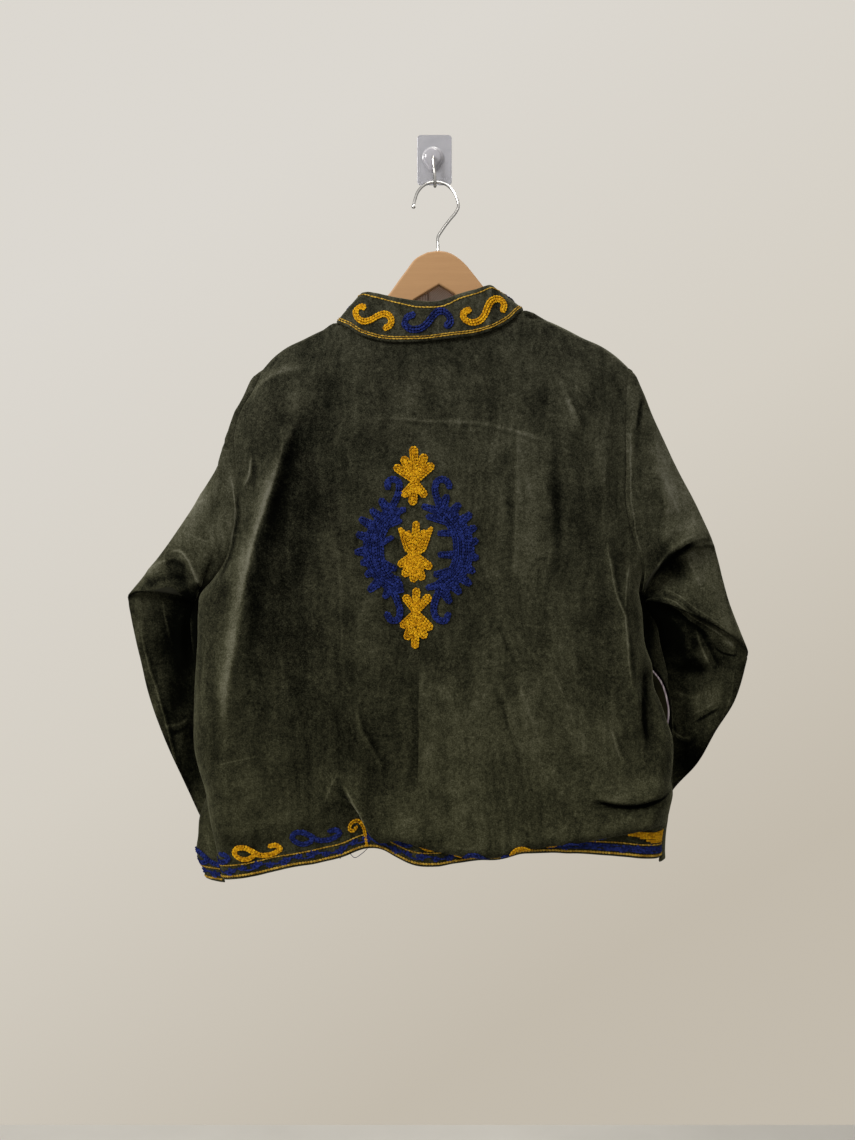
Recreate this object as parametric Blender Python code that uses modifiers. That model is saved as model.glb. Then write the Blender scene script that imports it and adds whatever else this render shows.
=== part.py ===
"""A short velvet coat with dropped shoulders and a stand collar, hung by a wooden hanger on an adhesive wall hook.

Frame: metres, +Z up, +Y into the wall, +X to the right of someone who faces the wall. The origin is the centre of the
back face of the wall hook's plate. The coat's back faces -Y and its fronts face the wall. Left and right are those of
someone who faces the wall. All tables are in millimetres.

Every panel of cloth is a surface worked out from the coat's own sizes: edges (x, z, depth y), the depth of the cloth
between them, and its folds. The surfaces are sampled on a grid and given the cloth's thickness.
"""

import math

import bpy
import numpy as np

# ------------------------------------------------------------------ driving sizes, mm
CLOTH = 2.0  # velvet and its backing
COLLAR_CLOTH = 2.4
LINING = 1.0
SEAM_GAP = 0.7  # between the middles of two panels' edges where they are sewn
CENTRE_FRONT_X = -8.0
FRONT_GAP = 3.0  # the two fronts hang edge to edge

PLATE_W, PLATE_H, PLATE_T, PLATE_CORNER = 42.0, 61.0, 1.6, 4.5
BOSS_X, BOSS_Z, BOSS_R, BOSS_T = -2.0, 3.0, 13.0, 6.0
PIN_R = 1.9
WIRE_R = 1.7
WOOD_T, WOOD_Y = 12.0, -46.0
WIRE_BORE_R, WIRE_BORE_DEPTH = 2.1, 24.0

# ------------------------------------------------------------------ the coat's tables, mm
# Back panel, top edge: left shoulder seam, neck, right shoulder seam.
BACK_TOP = {
    "left_shoulder": [  # x, z, y
        (-202, -268, -58), (-190, -256, -59), (-176, -244, -60), (-154, -232.5, -61), (-133, -222, -62), (-110, -213, -63),
    ],
    "neck": [
        (-110, -213, -63), (-84, -225, -68), (-55, -232, -71), (-19, -232.5, -73), (13, -229, -73), (45, -225, -71),
        (69, -217, -68), (86, -208, -65), (98, -200, -62),
    ],
    "right_shoulder": [
        (98, -200, -62), (132, -211, -61), (156, -222, -60), (171, -229, -59), (199, -243, -58), (213, -253, -58), (226, -265, -58),
    ],
}
# Back panel, side edges from the shoulder tip down: armhole seam, underarm, side seam, hem corner.
BACK_LEFT = [  # z, x, y
    (-268, -202, -58), (-292, -213, -60), (-308, -223, -62), (-327, -230, -64), (-345, -233, -66), (-362, -232, -68),
    (-391, -229, -70), (-412, -228, -71), (-448, -232, -71), (-469, -236, -70), (-491, -245, -66), (-511, -260, -59),
    (-526, -274, -52), (-545, -277, -50), (-581, -278, -50), (-634, -281, -50), (-677, -282, -50), (-708, -281, -50),
    (-733, -275, -51), (-756, -268, -52), (-775, -265, -53), (-792, -262, -54), (-814, -257, -56), (-830, -253, -57),
    (-856, -247, -58),
]
BACK_RIGHT = [  # z, x, y
    (-265, 226, -58), (-290, 223, -62), (-313, 222, -65), (-345, 221, -68), (-380, 221, -71), (-412, 220, -72),
    (-440, 224, -72), (-460, 230, -70), (-482, 237, -67), (-500, 241, -61), (-512, 240, -56), (-521, 239, -52),
    (-547, 243, -50), (-588, 247, -50), (-608, 254, -51), (-637, 257, -52), (-651, 263, -53), (-674, 271, -54),
    (-692, 277, -54), (-723, 278, -53), (-742, 276, -53), (-757, 278, -53), (-772, 275, -54), (-788, 271, -55),
    (-800, 266, -57), (-830, 263, -58),
]
UNDERARM_LEFT_Z, UNDERARM_RIGHT_Z = -526.0, -521.0
# How far out the back hangs between its edges: y at five places across, a row for each height.
BACK_DEPTH = [  # z, y at u = 0.08, 0.3, 0.5, 0.7, 0.92
    (-225, -66, -71, -75, -71, -66),
    (-330, -76, -80, -81, -79, -76),
    (-450, -80, -85, -85, -85, -80),
    (-600, -84, -90, -88, -90, -82),
    (-720, -88, -94, -95, -96, -86),
    (-800, -84, -92, -97, -100, -90),
    (-850, -80, -84, -88, -90, -82),
]
BACK_ACROSS = (0.08, 0.3, 0.5, 0.7, 0.92)
# The largest folds of the back: a soft ridge (height > 0) or trough between two points.
BACK_FOLDS = [  # x1, z1, x2, z2, half width, height
    (-166, -335, -186, -395, 16, 6.0),
    (-184, -385, -201, -500, 15, 8.0),
    (-200, -490, -240, -665, 17, 7.0),
    (-140, -400, -168, -640, 26, -5.0),
    (158, -262, 182, -350, 20, 3.5),
    (206, -480, 226, -600, 12, 3.0),
    (228, -590, 232, -700, 12, 4.0),
    (247, -612, 252, -705, 9, -6.0),
]
# The tuck above the hem: height of the lower edge of the bulge (or of the plain cloth, where tuck is 0).
TUCK_EDGE = [  # x, z, tuck
    (-262, -792, 0.0), (-190, -786, 0.0), (-135, -766, 0.0), (-108, -746, 0.05), (-92, -756, 0.45), (-80, -775, 0.9),
    (-70, -797, 1.0), (-37, -805, 1.0), (-3, -815, 1.0), (20, -820, 1.0), (49, -824, 1.0), (75, -823, 1.0),
    (97, -816, 1.0), (118, -812, 1.0), (154, -808, 1.0), (202, -799, 1.0), (236, -792, 1.0), (252, -788, 0.6), (264, -786, 0.0),
]
HEM = [  # x, z
    (-250, -856), (-207, -848), (-171, -839), (-134, -832), (-111, -826), (-78, -815), (-62, -817), (-45, -826),
    (-28, -834), (1, -836), (25, -832), (49, -829), (75, -828), (97, -822), (113, -821), (155, -821), (205, -824), (263, -830),
]
# Stations down the tuck. share = place of the plain cloth between the edge line and the hem, where there is no tuck.
TUCK_STATIONS = [  # name, share, rise over the bulge's edge, y
    ("above", -0.36, 20.0, -103.0),
    ("full", 0.0, 7.0, -105.0),
    ("edge", 0.12, 0.0, -100.0),
    ("under", 0.24, 5.0, -95.0),
    ("top", 0.42, 17.0, -92.0),
    ("lay", 0.7, None, -89.5),
    ("hem", 1.0, None, -87.0),
]
# The deep crease low at the right: height of its lip, how far the cloth above stands over the cloth below.
CREASE = [  # x, z, step
    (150, -758, 0.0), (185, -762, 3.0), (215, -765, 6.0), (240, -763, 8.0), (258, -758, 6.0), (270, -754, 2.0),
]

# Fronts. The shoulder seam is the back's; the ridge lies over the hanger, then comes the wall side.
FRONT_LEFT_TOP = [  # x, ridge z, ridge y, wall z, wall y
    (-202, -263.8, -49, -271, -41), (-190, -250, -49, -258, -39), (-176, -239, -49, -247, -38), (-154, -228, -49, -236, -37),
    (-133, -218, -49, -226, -36), (-110, -211, -49, -220, -37), (-107, -212.5, -38, -221, -36.5), (-102, -217, -35.5, -224, -35),
    (-88, -225, -32.5, -231, -32), (-60, -224, -30, -230, -30), (-30, -218, -29.5, -224, -29.5), (-9.5, -215, -29, -221, -29),
]
FRONT_RIGHT_TOP = [
    (226, -260, -49, -268, -41), (213, -248, -49, -256, -39), (199, -238, -49, -246, -38), (171, -225, -49, -233, -37),
    (156, -217, -49, -225, -36), (132, -206, -49, -214, -36), (98, -197, -49, -207, -37), (95, -199, -38, -208, -36.5),
    (90, -205, -35.5, -212, -35), (78, -215, -32.5, -221, -32), (48, -217, -30, -223, -30), (20, -216, -29.5, -222, -29.5),
    (-6.5, -215, -29, -221, -29),
]
NECK_LEFT = [  # x, z, y: the front's neck edge
    (-110, -213, -62), (-107, -210.5, -46), (-102, -213.5, -37.5), (-88, -221.5, -33), (-60, -221, -30), (-30, -215, -29.5), (-9.5, -212, -29),
]
NECK_RIGHT = [
    (98, -200, -61), (95, -196.5, -46), (90, -201, -37.5), (78, -212, -33), (48, -214, -30), (20, -213, -29.5), (-6.5, -212, -29),
]
# Side edges of the fronts: z, x, y, how far the cloth bulges past the edge before it turns back, width of the turn.
FRONT_LEFT_SIDE = [
    (-271, -206, -41, 0, 10), (-300, -219, -38, 0, 14), (-345, -231, -33, 0, 16), (-400, -229, -29, 0, 16),
    (-448, -232, -28, 0, 16), (-485, -243, -30, 0, 18), (-510, -259, -37, 0, 22), (-526, -274, -49.0, 0, 26),
    (-545, -277, -49.0, 0, 26), (-634, -281, -49.0, 0, 26), (-708, -281, -49.0, 0, 26), (-733, -275, -50.0, 0, 24),
    (-756, -268, -51.0, 1, 22), (-775, -265, -52.0, 7, 20), (-792, -262, -53.0, 16, 18), (-814, -257, -55.0, 23, 18),
    (-833, -252, -56.0, 30, 18), (-846, -249, -57, 28, 18), (-862, -246, -57.3, 24, 18),
]
FRONT_RIGHT_SIDE = [
    (-268, 230, -41, 0, 10), (-313, 224, -35, 0, 14), (-345, 222, -31, 0, 16), (-400, 221, -28, 0, 16),
    (-440, 224, -28, 0, 16), (-482, 237, -31, 0, 20), (-505, 241, -38, 0, 24), (-521, 239, -49.0, 0, 26),
    (-538, 242, -49.0, 0, 26), (-549, 243, -49.0, 3, 26), (-558, 244, -49.0, 11, 25), (-570, 245, -49.0, 18, 24), (-588, 247, -49.0, 20, 24),
    (-604, 251, -48.5, 20, 24), (-618, 263, -46.5, 11, 24), (-632, 272, -45, 4, 24), (-646, 277, -44.5, 0, 24),
    (-669, 280, -44.5, 0, 24), (-684, 280, -47, 0, 24), (-696, 279, -51, 0, 24), (-723, 278, -52.0, 0, 24), (-757, 278, -52.0, 0, 24), (-772, 275, -53.0, 1, 22),
    (-788, 271, -53.9, 5, 20), (-806, 265, -56, 8, 18), (-838, 263, -57, 8, 18),
]
FRONT_HEM_LEFT = [(-246, -862), (-200, -856), (-134, -838), (-78, -822), (-45, -825), (-8, -831)]  # x, z
FRONT_HEM_RIGHT = [(263, -838), (230, -834), (155, -829), (100, -828), (50, -831), (-8, -831)]
FRONT_DEPTH = [(-215, -29.5), (-330, -28), (-500, -27), (-700, -27), (-860, -27)]  # z, y

# Sleeves: one ring a row. o = outer edge, i = inner edge; camera side and wall side stand off the middle by front, back;
# bow lifts the middle of the front of the ring towards the shoulder; hug = how closely the ring still follows the armhole.
SLEEVE_COLUMNS = ("ox", "oz", "oy", "ix", "iz", "iy", "front", "back", "bow", "hug")
SLEEVE_LEFT = [
    (-222, -291, -47, -277.0, -528, -50, 22, 15, 8, 0.8),
    (-238, -338, -47, -278.0, -529, -50, 22, 15, 6, 0.45),
    (-251, -375, -47, -279.0, -530, -50, 21, 14, 4, 0.15),
    (-281, -420, -46, -280.0, -531, -49, 20, 14, 2, 0.0),
    (-322, -480, -46, -281.5, -532.5, -49, 20, 14, 0, 0.0),
    (-346, -511, -45, -282.5, -534, -48, 19, 14, 2, 0.0),
    (-360, -529, -44, -283.5, -536, -48, 20, 14, 8, 0.0),
    (-360.5, -536, -43, -284.0, -540, -47, 12, 14, 26, 0.0),
    (-359, -552, -39, -283.5, -547, -42, 8, 13, 8, 0.0),
    (-354, -577, -34, -281.5, -560, -31, 8, 10, 0, 0.0),
    (-346, -606, -29, -270.0, -582, -18, 8, 8, 0, 0.0),
    (-336, -639, -27, -251.0, -616, -13, 8, 8, 0, 0.0),
    (-316, -705, -23, -230.0, -681, -12, 8, 7, 0, 0.0),
    (-294, -764, -18, -205.0, -735, -12, 7, 7, 0, 0.0),
    (-272, -816, -13, -178.0, -782, -12, 6.5, 6.5, 0, 0.0),
]
SLEEVE_RIGHT = [
    (237, -273, -47, 242.0, -523, -50, 22, 15, -2, 0.8),
    (249, -299, -47, 243.0, -524, -50, 22, 15, 0, 0.45),
    (265, -338, -47, 244.0, -525, -50, 21, 14, 2, 0.15),
    (287, -383, -46, 245.0, -526, -50, 20, 14, 4, 0.0),
    (309, -425, -46, 246.0, -527.5, -49, 20, 14, 8, 0.0),
    (329, -470, -45, 247.0, -529, -49, 25, 14, 23, 0.0),
    (335, -492, -44, 248.0, -531, -49, 9, 14, 14, 0.0),
    (345, -533, -43, 249.5, -534, -48, 17, 14, 12, 0.0),
    (363, -597, -41, 252.0, -538, -47, 20, 14, 13, 0.0),
    (362.5, -602, -40, 253.5, -543, -46, 11, 14, 24, 0.0),
    (360, -614, -36, 256.0, -552, -39, 7, 13, 8, 0.0),
    (355, -632, -31, 258.5, -565, -28, 7, 10, 0, 0.0),
    (349, -651, -28, 255.0, -584, -18, 7, 8, 0, 0.0),
    (330, -691, -24, 247.0, -640, -13, 8, 7, 0, 0.0),
    (312, -731, -20, 231.0, -682, -12, 8, 7, 0, 0.0),
    (289, -758, -16, 212.0, -707, -12, 7, 7, 0, 0.0),
    (270, -787, -14, 194.0, -738, -12, 6.5, 6.5, 0, 0.0),
    (252, -808, -13, 178.0, -758, -12, 6.5, 6.5, 0, 0.0),
]

# Stand collar, a ring from centre front round the left end, the back and the right end to centre front.
COLLAR = [  # base x, z, y, top x, z, y
    (-9.5, -210, -26, -9.5, -158, -27), (-35, -213, -26, -35, -161, -27), (-62, -218, -26.5, -58, -167, -28),
    (-91, -218, -29.3, -74, -173, -31), (-106, -209, -36, -84, -177, -40), (-113.5, -207, -49, -86, -175, -49),
    (-112, -210, -62, -82, -174.5, -59), (-100, -216, -69, -76, -175.5, -64), (-84, -226, -73, -66, -178, -67),
    (-55, -233.5, -76, -45, -183.5, -71), (-19, -234, -78, -20, -188, -74), (13, -230.5, -78, 5, -188, -74),
    (45, -226.5, -76, 28, -179.5, -71), (69, -218.5, -73, 48, -173, -67), (86, -209, -70, 63, -167.5, -62),
    (96, -199, -66, 72, -169, -56), (102, -193, -56, 80, -174, -49), (101.5, -194, -46, 83, -177, -42),
    (93, -196.5, -35, 79, -177, -35), (80, -208, -29.3, 71, -171, -30.5), (47, -211, -26.5, 45, -162, -28),
    (-6.5, -210, -26, -6.5, -158, -27),
]

# Pocket bag in the right side seam: a folded sheet, its two edges in the slit.
POCKET = [  # z, back edge x, front edge x, inner fold x, back y, front y
    (-611, 247, 252, 212, -54.5, -49.5), (-628, 250, 266, 188, -57, -47.8), (-646, 256, 273, 172, -59, -46.6),
    (-669, 265, 276, 162, -60, -46.6), (-688, 268, 272, 157, -59, -48.8), (-715, 262, 262, 157, -57, -45), (-740, 242, 242, 168, -54.5, -45),
    (-758, 216, 216, 188, -51.5, -47.5),
]

# Hanger: outline of the wood, clockwise from the top of its neck.
WOOD_TOP_RIGHT = [(4, -123), (16, -125), (27, -131), (37, -140), (46, -151), (57, -165), (70, -181), (84, -197), (97, -208), (112, -215),
                  (132, -222), (156, -232), (171, -240), (199, -254), (209, -262), (213, -270)]
WOOD_LOW_RIGHT = [(209, -281), (200, -281), (171, -266), (138, -251), (95, -233), (60, -208), (22, -173)]
WOOD_NOTCH = (5, -163)
WOOD_LOW_LEFT = [(-21, -179), (-60, -206), (-95, -232), (-133, -256), (-165, -276), (-186, -290)]
WOOD_TOP_LEFT = [(-197, -289), (-200, -278), (-192, -268), (-177, -256), (-155, -244), (-133, -233), (-113, -223), (-97, -212),
                 (-75, -192), (-53, -173), (-43, -159), (-34, -147), (-22, -132), (-9, -125)]
HOOK_PATH = [  # x, z, y: from the foot in the wood to the tip
    (4.0, -145.0, -46.0), (4.0, -135.0, -46.0), (4.0, -125.0, -46.0), (4.0, -116.0, -45.2), (4.2, -104.0, -42.0), (8.0, -97.0, -39.5),
    (17.0, -83.5, -35.0), (26.0, -71.0, -31.0), (28.3, -65.5, -29.2), (27.0, -55.0, -26.5), (22.0, -44.0, -23.0), (13.0, -35.5, -20.5), (0.5, -32.5, -19.0), (-11.0, -35.5, -20.0),
    (-19.5, -44.0, -21.5), (-23.5, -55.0, -23.5), (-25.5, -66.0, -25.0),
]
PIN_PATH = [  # x, z, y: from the boss, down, out under the wire and up
    (-1.7, 1.6, -8.5), (-1.7, 0.9, -10.2), (-1.6, -1.6, -11.3), (-1.2, -6.0, -11.8), (-0.2, -18.0, -11.6), (0.3, -29.0, -11.6), (0.5, -34.5, -13.4), (0.5, -37.0, -18.0),
    (0.5, -34.5, -22.8), (0.4, -28.5, -24.8), (-0.2, -20.0, -25.6),
]

PAINT = {  # linear colour, roughness, metallic
    "velvet": ((0.036, 0.035, 0.020), 0.85, 0.0),
    "lining": ((0.42, 0.33, 0.36), 0.6, 0.0),
    "wood": ((0.45, 0.26, 0.12), 0.45, 0.0),
    "chrome": ((0.62, 0.61, 0.60), 0.16, 1.0),
    "clear_plastic": ((0.42, 0.40, 0.44), 0.12, 0.0),
}


# ------------------------------------------------------------------ curves
def smooth(knots, values, at):
    """A smooth curve through the values at rising knots."""
    k, v = np.asarray(knots, float), np.asarray(values, float)
    if k[0] > k[-1]:
        k, v = k[::-1], v[::-1]
    at = np.clip(np.asarray(at, float), k[0], k[-1])
    if len(k) == 2:
        slope = np.broadcast_to((v[1] - v[0]) / (k[1] - k[0]), v.shape)
    else:
        slope = np.gradient(v, k, axis=0)
    i = np.clip(np.searchsorted(k, at, side="right") - 1, 0, len(k) - 2)
    h = k[i + 1] - k[i]
    s = (at - k[i]) / h
    if v.ndim > 1:
        h, s = h[..., None], s[..., None]
    return (
        (2 * s**3 - 3 * s**2 + 1) * v[i]
        + (s**3 - 2 * s**2 + s) * h * slope[i]
        + (3 * s**2 - 2 * s**3) * v[i + 1]
        + (s**3 - s**2) * h * slope[i + 1]
    )


def column(table, n):
    return np.array([row[n] for row in table], float)


def read(table, at, *columns):
    """Columns of a table at places along its first column."""
    return smooth(column(table, 0), np.array([[row[c] for c in columns] for row in table], float), at)


def resample(points, shares):
    """Points at shares of the length of a polyline."""
    points = np.asarray(points, float)
    along = np.concatenate([[0], np.cumsum(np.linalg.norm(np.diff(points, axis=0), axis=1))])
    return np.stack([np.interp(np.asarray(shares) * along[-1], along, points[:, k]) for k in range(3)], -1)


def mix(a, b, t):
    return a + (b - a) * t


def round_fall(s):
    """0 at an edge, 1 one radius in, along a quarter circle."""
    s = np.clip(s, 0, 1)
    return np.sqrt(np.clip(1 - (1 - s) ** 2, 0, 1))


def soft_fall(s):
    return np.sin(np.clip(s, 0, 1) * math.pi / 2)


def ease(s):
    s = np.clip(s, 0, 1)
    return s * s * (3 - 2 * s)


def side_fall(inside, over_underarm):
    """1 at a side edge, 0 where the cloth hangs free. Along the armhole the fall is soft; below it the cloth rounds the side."""
    armhole_share = ease((over_underarm + 12) / 40)
    return 1 - mix(round_fall(inside / 34.0), soft_fall(inside / 44.0), armhole_share)


# ------------------------------------------------------------------ the back panel
LEFT_TIP_X, RIGHT_TIP_X = BACK_TOP["left_shoulder"][0][0], BACK_TOP["right_shoulder"][-1][0]


def back_top(u):
    """z and y of the panel's top edge at shares u of the way from the left shoulder tip to the right."""
    x = mix(LEFT_TIP_X, RIGHT_TIP_X, np.asarray(u, float))
    z, y = np.zeros_like(x), np.zeros_like(x)
    for part, low, high in (("left_shoulder", -1e9, -110), ("neck", -110, 98), ("right_shoulder", 98, 1e9)):
        here = (x >= low) & (x <= high)
        z[here], y[here] = read(BACK_TOP[part], x[here], 1, 2).T
    return z, y


def at_x(x):
    """Share u of a place on the top edge."""
    return (x - LEFT_TIP_X) / (RIGHT_TIP_X - LEFT_TIP_X)


def tuck_lines(u):
    """z of the bulge's edge, z of the hem, and how much of the tuck is there."""
    x = mix(-250.0, 263.0, u)
    edge, tuck = read(TUCK_EDGE, x, 1, 2).T
    hem = read(HEM, x, 1)[:, 0]
    return edge, hem, np.clip(tuck, 0, 1)


def fold_relief(x, z, folds):
    """How far ridges and troughs move the cloth towards the viewer."""
    out = np.zeros_like(x)
    for x1, z1, x2, z2, half, height in folds:
        dx, dz = x2 - x1, z2 - z1
        length = math.hypot(dx, dz)
        t = ((x - x1) * dx + (z - z1) * dz) / length**2
        off = ((x - x1) * dz - (z - z1) * dx) / length
        ends = ease((t + 0.12) / 0.32) * ease((1.12 - t) / 0.32)
        out += height * np.exp(-((off / half) ** 2)) * ends
    return out


def back_rows(u, r):
    """Plain rows r from 0 (top edge) to 1 (just over the bulge), then the stations of the tuck up to the hem."""
    u = np.asarray(u, float)
    edge, hem, tuck = tuck_lines(u)
    stations = []
    for name, share, rise, y in TUCK_STATIONS:
        plain = edge - share * (edge - hem)
        top = edge + 17.0
        tucked = edge + rise if rise is not None else mix(top, hem, 0.5 if name == "lay" else 1.0)
        stations.append((mix(plain, tucked, tuck), np.where(True, tuck, 0), y))
    r = np.asarray(r, float)
    z = np.zeros((len(r), len(u)))
    mid = np.zeros_like(z)  # y of the tuck's station, and how much of it counts
    top_z, _ = back_top(u)
    first = stations[0][0]
    v = np.clip(r, 0, 1)[:, None]
    z_left, z_right = mix(top_z[0], first[0], v), mix(top_z[-1], first[-1], v)
    plain = mix(z_left, z_right, u) + (1 - v) * (top_z - mix(top_z[0], top_z[-1], u)) + v * (first - mix(first[0], first[-1], u))
    heights = np.array([s[0] for s in stations])
    depths = np.array([s[2] for s in stations])
    over = np.clip(r - 1, 0, len(stations) - 1)
    knots = np.arange(len(stations), dtype=float)
    lower = smooth(knots, heights, over)
    z = np.where((r <= 1)[:, None], plain, lower)
    mid = smooth(knots, depths, over)[:, None] * np.ones(len(u))
    return z, mid, tuck


def back_surface(u, r, folds=BACK_FOLDS):
    """Grid of points of the back's middle surface, rows r by columns u."""
    u = np.asarray(u, float)
    r = np.asarray(r, float)
    z, mid, tuck = back_rows(u, r)
    left = read(BACK_LEFT, z[:, 0], 1, 2)
    right = read(BACK_RIGHT, z[:, -1], 1, 2)
    x = mix(left[:, :1], right[:, :1], u)
    across = np.array([smooth(column(BACK_DEPTH, 0), column(BACK_DEPTH, k), z) for k in range(1, 6)])
    belly = np.zeros_like(z)
    slope = np.gradient(across, np.array(BACK_ACROSS), axis=0)
    uc = np.clip(u, BACK_ACROSS[0], BACK_ACROSS[-1])
    i = np.clip(np.searchsorted(BACK_ACROSS, uc, side="right") - 1, 0, 3)
    knots = np.array(BACK_ACROSS)
    h = knots[i + 1] - knots[i]
    s = (uc - knots[i]) / h
    rows, cols = np.indices(z.shape)
    pick = lambda a, j: a[j[None, :].repeat(len(z), 0), rows, cols]  # noqa: E731
    belly = (
        (2 * s**3 - 3 * s**2 + 1) * pick(across, i)
        + (s**3 - 2 * s**2 + s) * h * pick(slope, i)
        + (3 * s**2 - 2 * s**3) * pick(across, i + 1)
        + (s**3 - s**2) * h * pick(slope, i + 1)
    )
    # The tuck takes over from the plain hang near the bulge.
    edge = tuck_lines(u)[0]
    near = ease((edge + 95 - z) / 90) * tuck
    near = np.where((r >= 1)[:, None], tuck * np.ones_like(near), near)
    belly = mix(belly, np.where((r >= 1)[:, None], mid, TUCK_STATIONS[0][3]), near)
    # The crease low at the right: the cloth over its lip stands out, the cloth under it goes back.
    lip, step = read(CREASE, x.ravel(), 1, 2).T.reshape(2, *x.shape)
    step = np.where((x > CREASE[0][0]) & (x < CREASE[-1][0]), step, 0) * (r < 1)[:, None]
    belly -= step * (0.75 * np.exp(-(((z - lip - 7) / 11) ** 2)) - 0.9 * np.exp(-(((z - lip + 7) / 7) ** 2)))
    belly -= fold_relief(x, z, folds) * (1 - near)
    # Round away to the edges.
    side_l = side_fall(x - left[:, :1], z[:, :1] - UNDERARM_LEFT_Z)
    side_r = side_fall(right[:, :1] - x, z[:, -1:] - UNDERARM_RIGHT_Z)
    top_z, top_y = back_top(u)
    over = 1 - soft_fall((top_z - z) / 36.0)
    corner_l, corner_r = top_y[0] - belly, top_y[-1] - belly
    y = (
        belly
        + side_l * (left[:, 1:] - belly)
        + side_r * (right[:, 1:] - belly)
        + over * (top_y - belly)
        - side_l * over * corner_l
        - side_r * over * corner_r
    )
    return np.stack([x, y, z], -1)


def edge_height(left_side, r):
    """z of the back's side edge at rows r."""
    z = back_rows(np.array([0.0, 1.0]), np.asarray(r, float))[0]
    return z[:, 0] if left_side else z[:, 1]


def spread(first, last, count, power=1.0):
    """Shares from first to last, closer together near both ends where power is over 1."""
    s = np.linspace(0, 1, count)
    if power != 1.0:
        s = np.where(s < 0.5, 0.5 * (2 * s) ** power, 1 - 0.5 * (2 * (1 - s)) ** power)
    return first + (last - first) * s


ARMHOLE_STEPS = 12  # from the shoulder tip to the underarm
UNDERARM_ROW = 0.514
ARMHOLE_ROWS = spread(0, UNDERARM_ROW, ARMHOLE_STEPS + 1, 1.35)
SIDE_ROWS = spread(UNDERARM_ROW, 1.0, 9)[1:]
TUCK_ROWS = np.arange(2.0, 8.0)


def front_rows(left_side):
    """Shares down a front: its armhole in as many steps as the back's, then the heights of the back's rows."""
    _, _, side, _, _ = front_tables(left_side)
    top, low = side[0][0], side[-1][0]
    under = (UNDERARM_LEFT_Z if left_side else UNDERARM_RIGHT_Z) - top
    below = (edge_height(left_side, np.concatenate([SIDE_ROWS, [3.0, 5.0]])) - top) / (low - top)
    return spread(0, under / (low - top), ARMHOLE_STEPS - 1, 1.3), np.concatenate([below, [1.0]])


# ------------------------------------------------------------------ the fronts
def front_tables(left_side):
    if left_side:
        return FRONT_LEFT_TOP, NECK_LEFT, FRONT_LEFT_SIDE, FRONT_HEM_LEFT, -1.0
    return FRONT_RIGHT_TOP, NECK_RIGHT, FRONT_RIGHT_SIDE, FRONT_HEM_RIGHT, 1.0


def front_top(left_side, x):
    """The three top rows of a front at places x: shoulder seam and neck edge, ridge, wall side."""
    top, neck, _, _, out = front_tables(left_side)
    x = np.asarray(x, float)
    seam_z, seam_y = back_top(at_x(x))
    neck_z, neck_y = read(neck, x, 1, 2).T
    shoulder = x * out >= neck[0][0] * out
    z = np.where(shoulder, seam_z + 0.3, neck_z)
    y = np.where(shoulder, seam_y + 1.3, neck_y)
    rows = [np.stack([x, y, z], -1)]
    for k in (1, 3):
        zc, yc = read(top, x, k, k + 1).T
        rows.append(np.stack([x, yc, zc], -1))
    return rows


def front_surface(left_side, x_top, turn, rows):
    """Grid of a front's middle surface. x_top = x of its columns along the top, from the shoulder tip to the centre front;
    turn = shares of the turn at the side seam for its first columns; rows = shares from the wall side row down to the hem."""
    top, _, side, hem, out = front_tables(left_side)
    x_top = np.asarray(x_top, float)
    share = (x_top - x_top[0]) / (x_top[-1] - x_top[0])
    turn = np.concatenate([turn, np.ones(len(x_top) - len(turn))])
    last = share[np.argmax(turn >= 1)]
    rest = np.clip((share - last) / (1 - last), 0, 1)
    seam, ridge, wall = front_top(left_side, x_top)
    grid = [seam, ridge]
    wall_z, wall_y = wall[:, 2], wall[:, 1]
    wall_z = wall_z - wall_z[0] + side[0][0]
    hem_x = mix(hem[0][0], x_top[-1], share)
    hem_z = read(hem, hem_x, 1)[:, 0]
    for v in rows:
        ze = mix(wall_z[0], side[-1][0], v)
        sx, sy, reach, width = read(side, np.array([ze]), 1, 2, 3, 4)[0]
        z = mix(ze, mix(wall_z[-1], hem_z[-1], v), share)
        z = z + (1 - v) * (wall_z - mix(wall_z[0], wall_z[-1], share)) + v * (hem_z - mix(hem_z[0], hem_z[-1], share))
        deep = read(FRONT_DEPTH, z, 1)[:, 0]
        bulge = reach + 0.2 * width * min(1.0, reach / 8.0)
        bend = mix(2.0, 1.15, float(ease((ze - (UNDERARM_LEFT_Z if left_side else UNDERARM_RIGHT_Z) + 12) / 40)))
        xs = sx + out * (bulge * np.sin(math.pi * turn) - width * turn**bend)
        x = np.where(rest > 0, mix(sx - out * width, x_top[-1], rest), xs)
        y = np.where(rest > 0, deep, sy + (deep - sy) * np.sin(turn * math.pi / 2))
        near_top = 1 - ease(v / 0.06)
        y = mix(y, np.minimum(y, wall_y), near_top)
        x = mix(x, x_top, near_top)
        grid.append(np.stack([x, y, z], -1))
    return np.array(grid)


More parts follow.
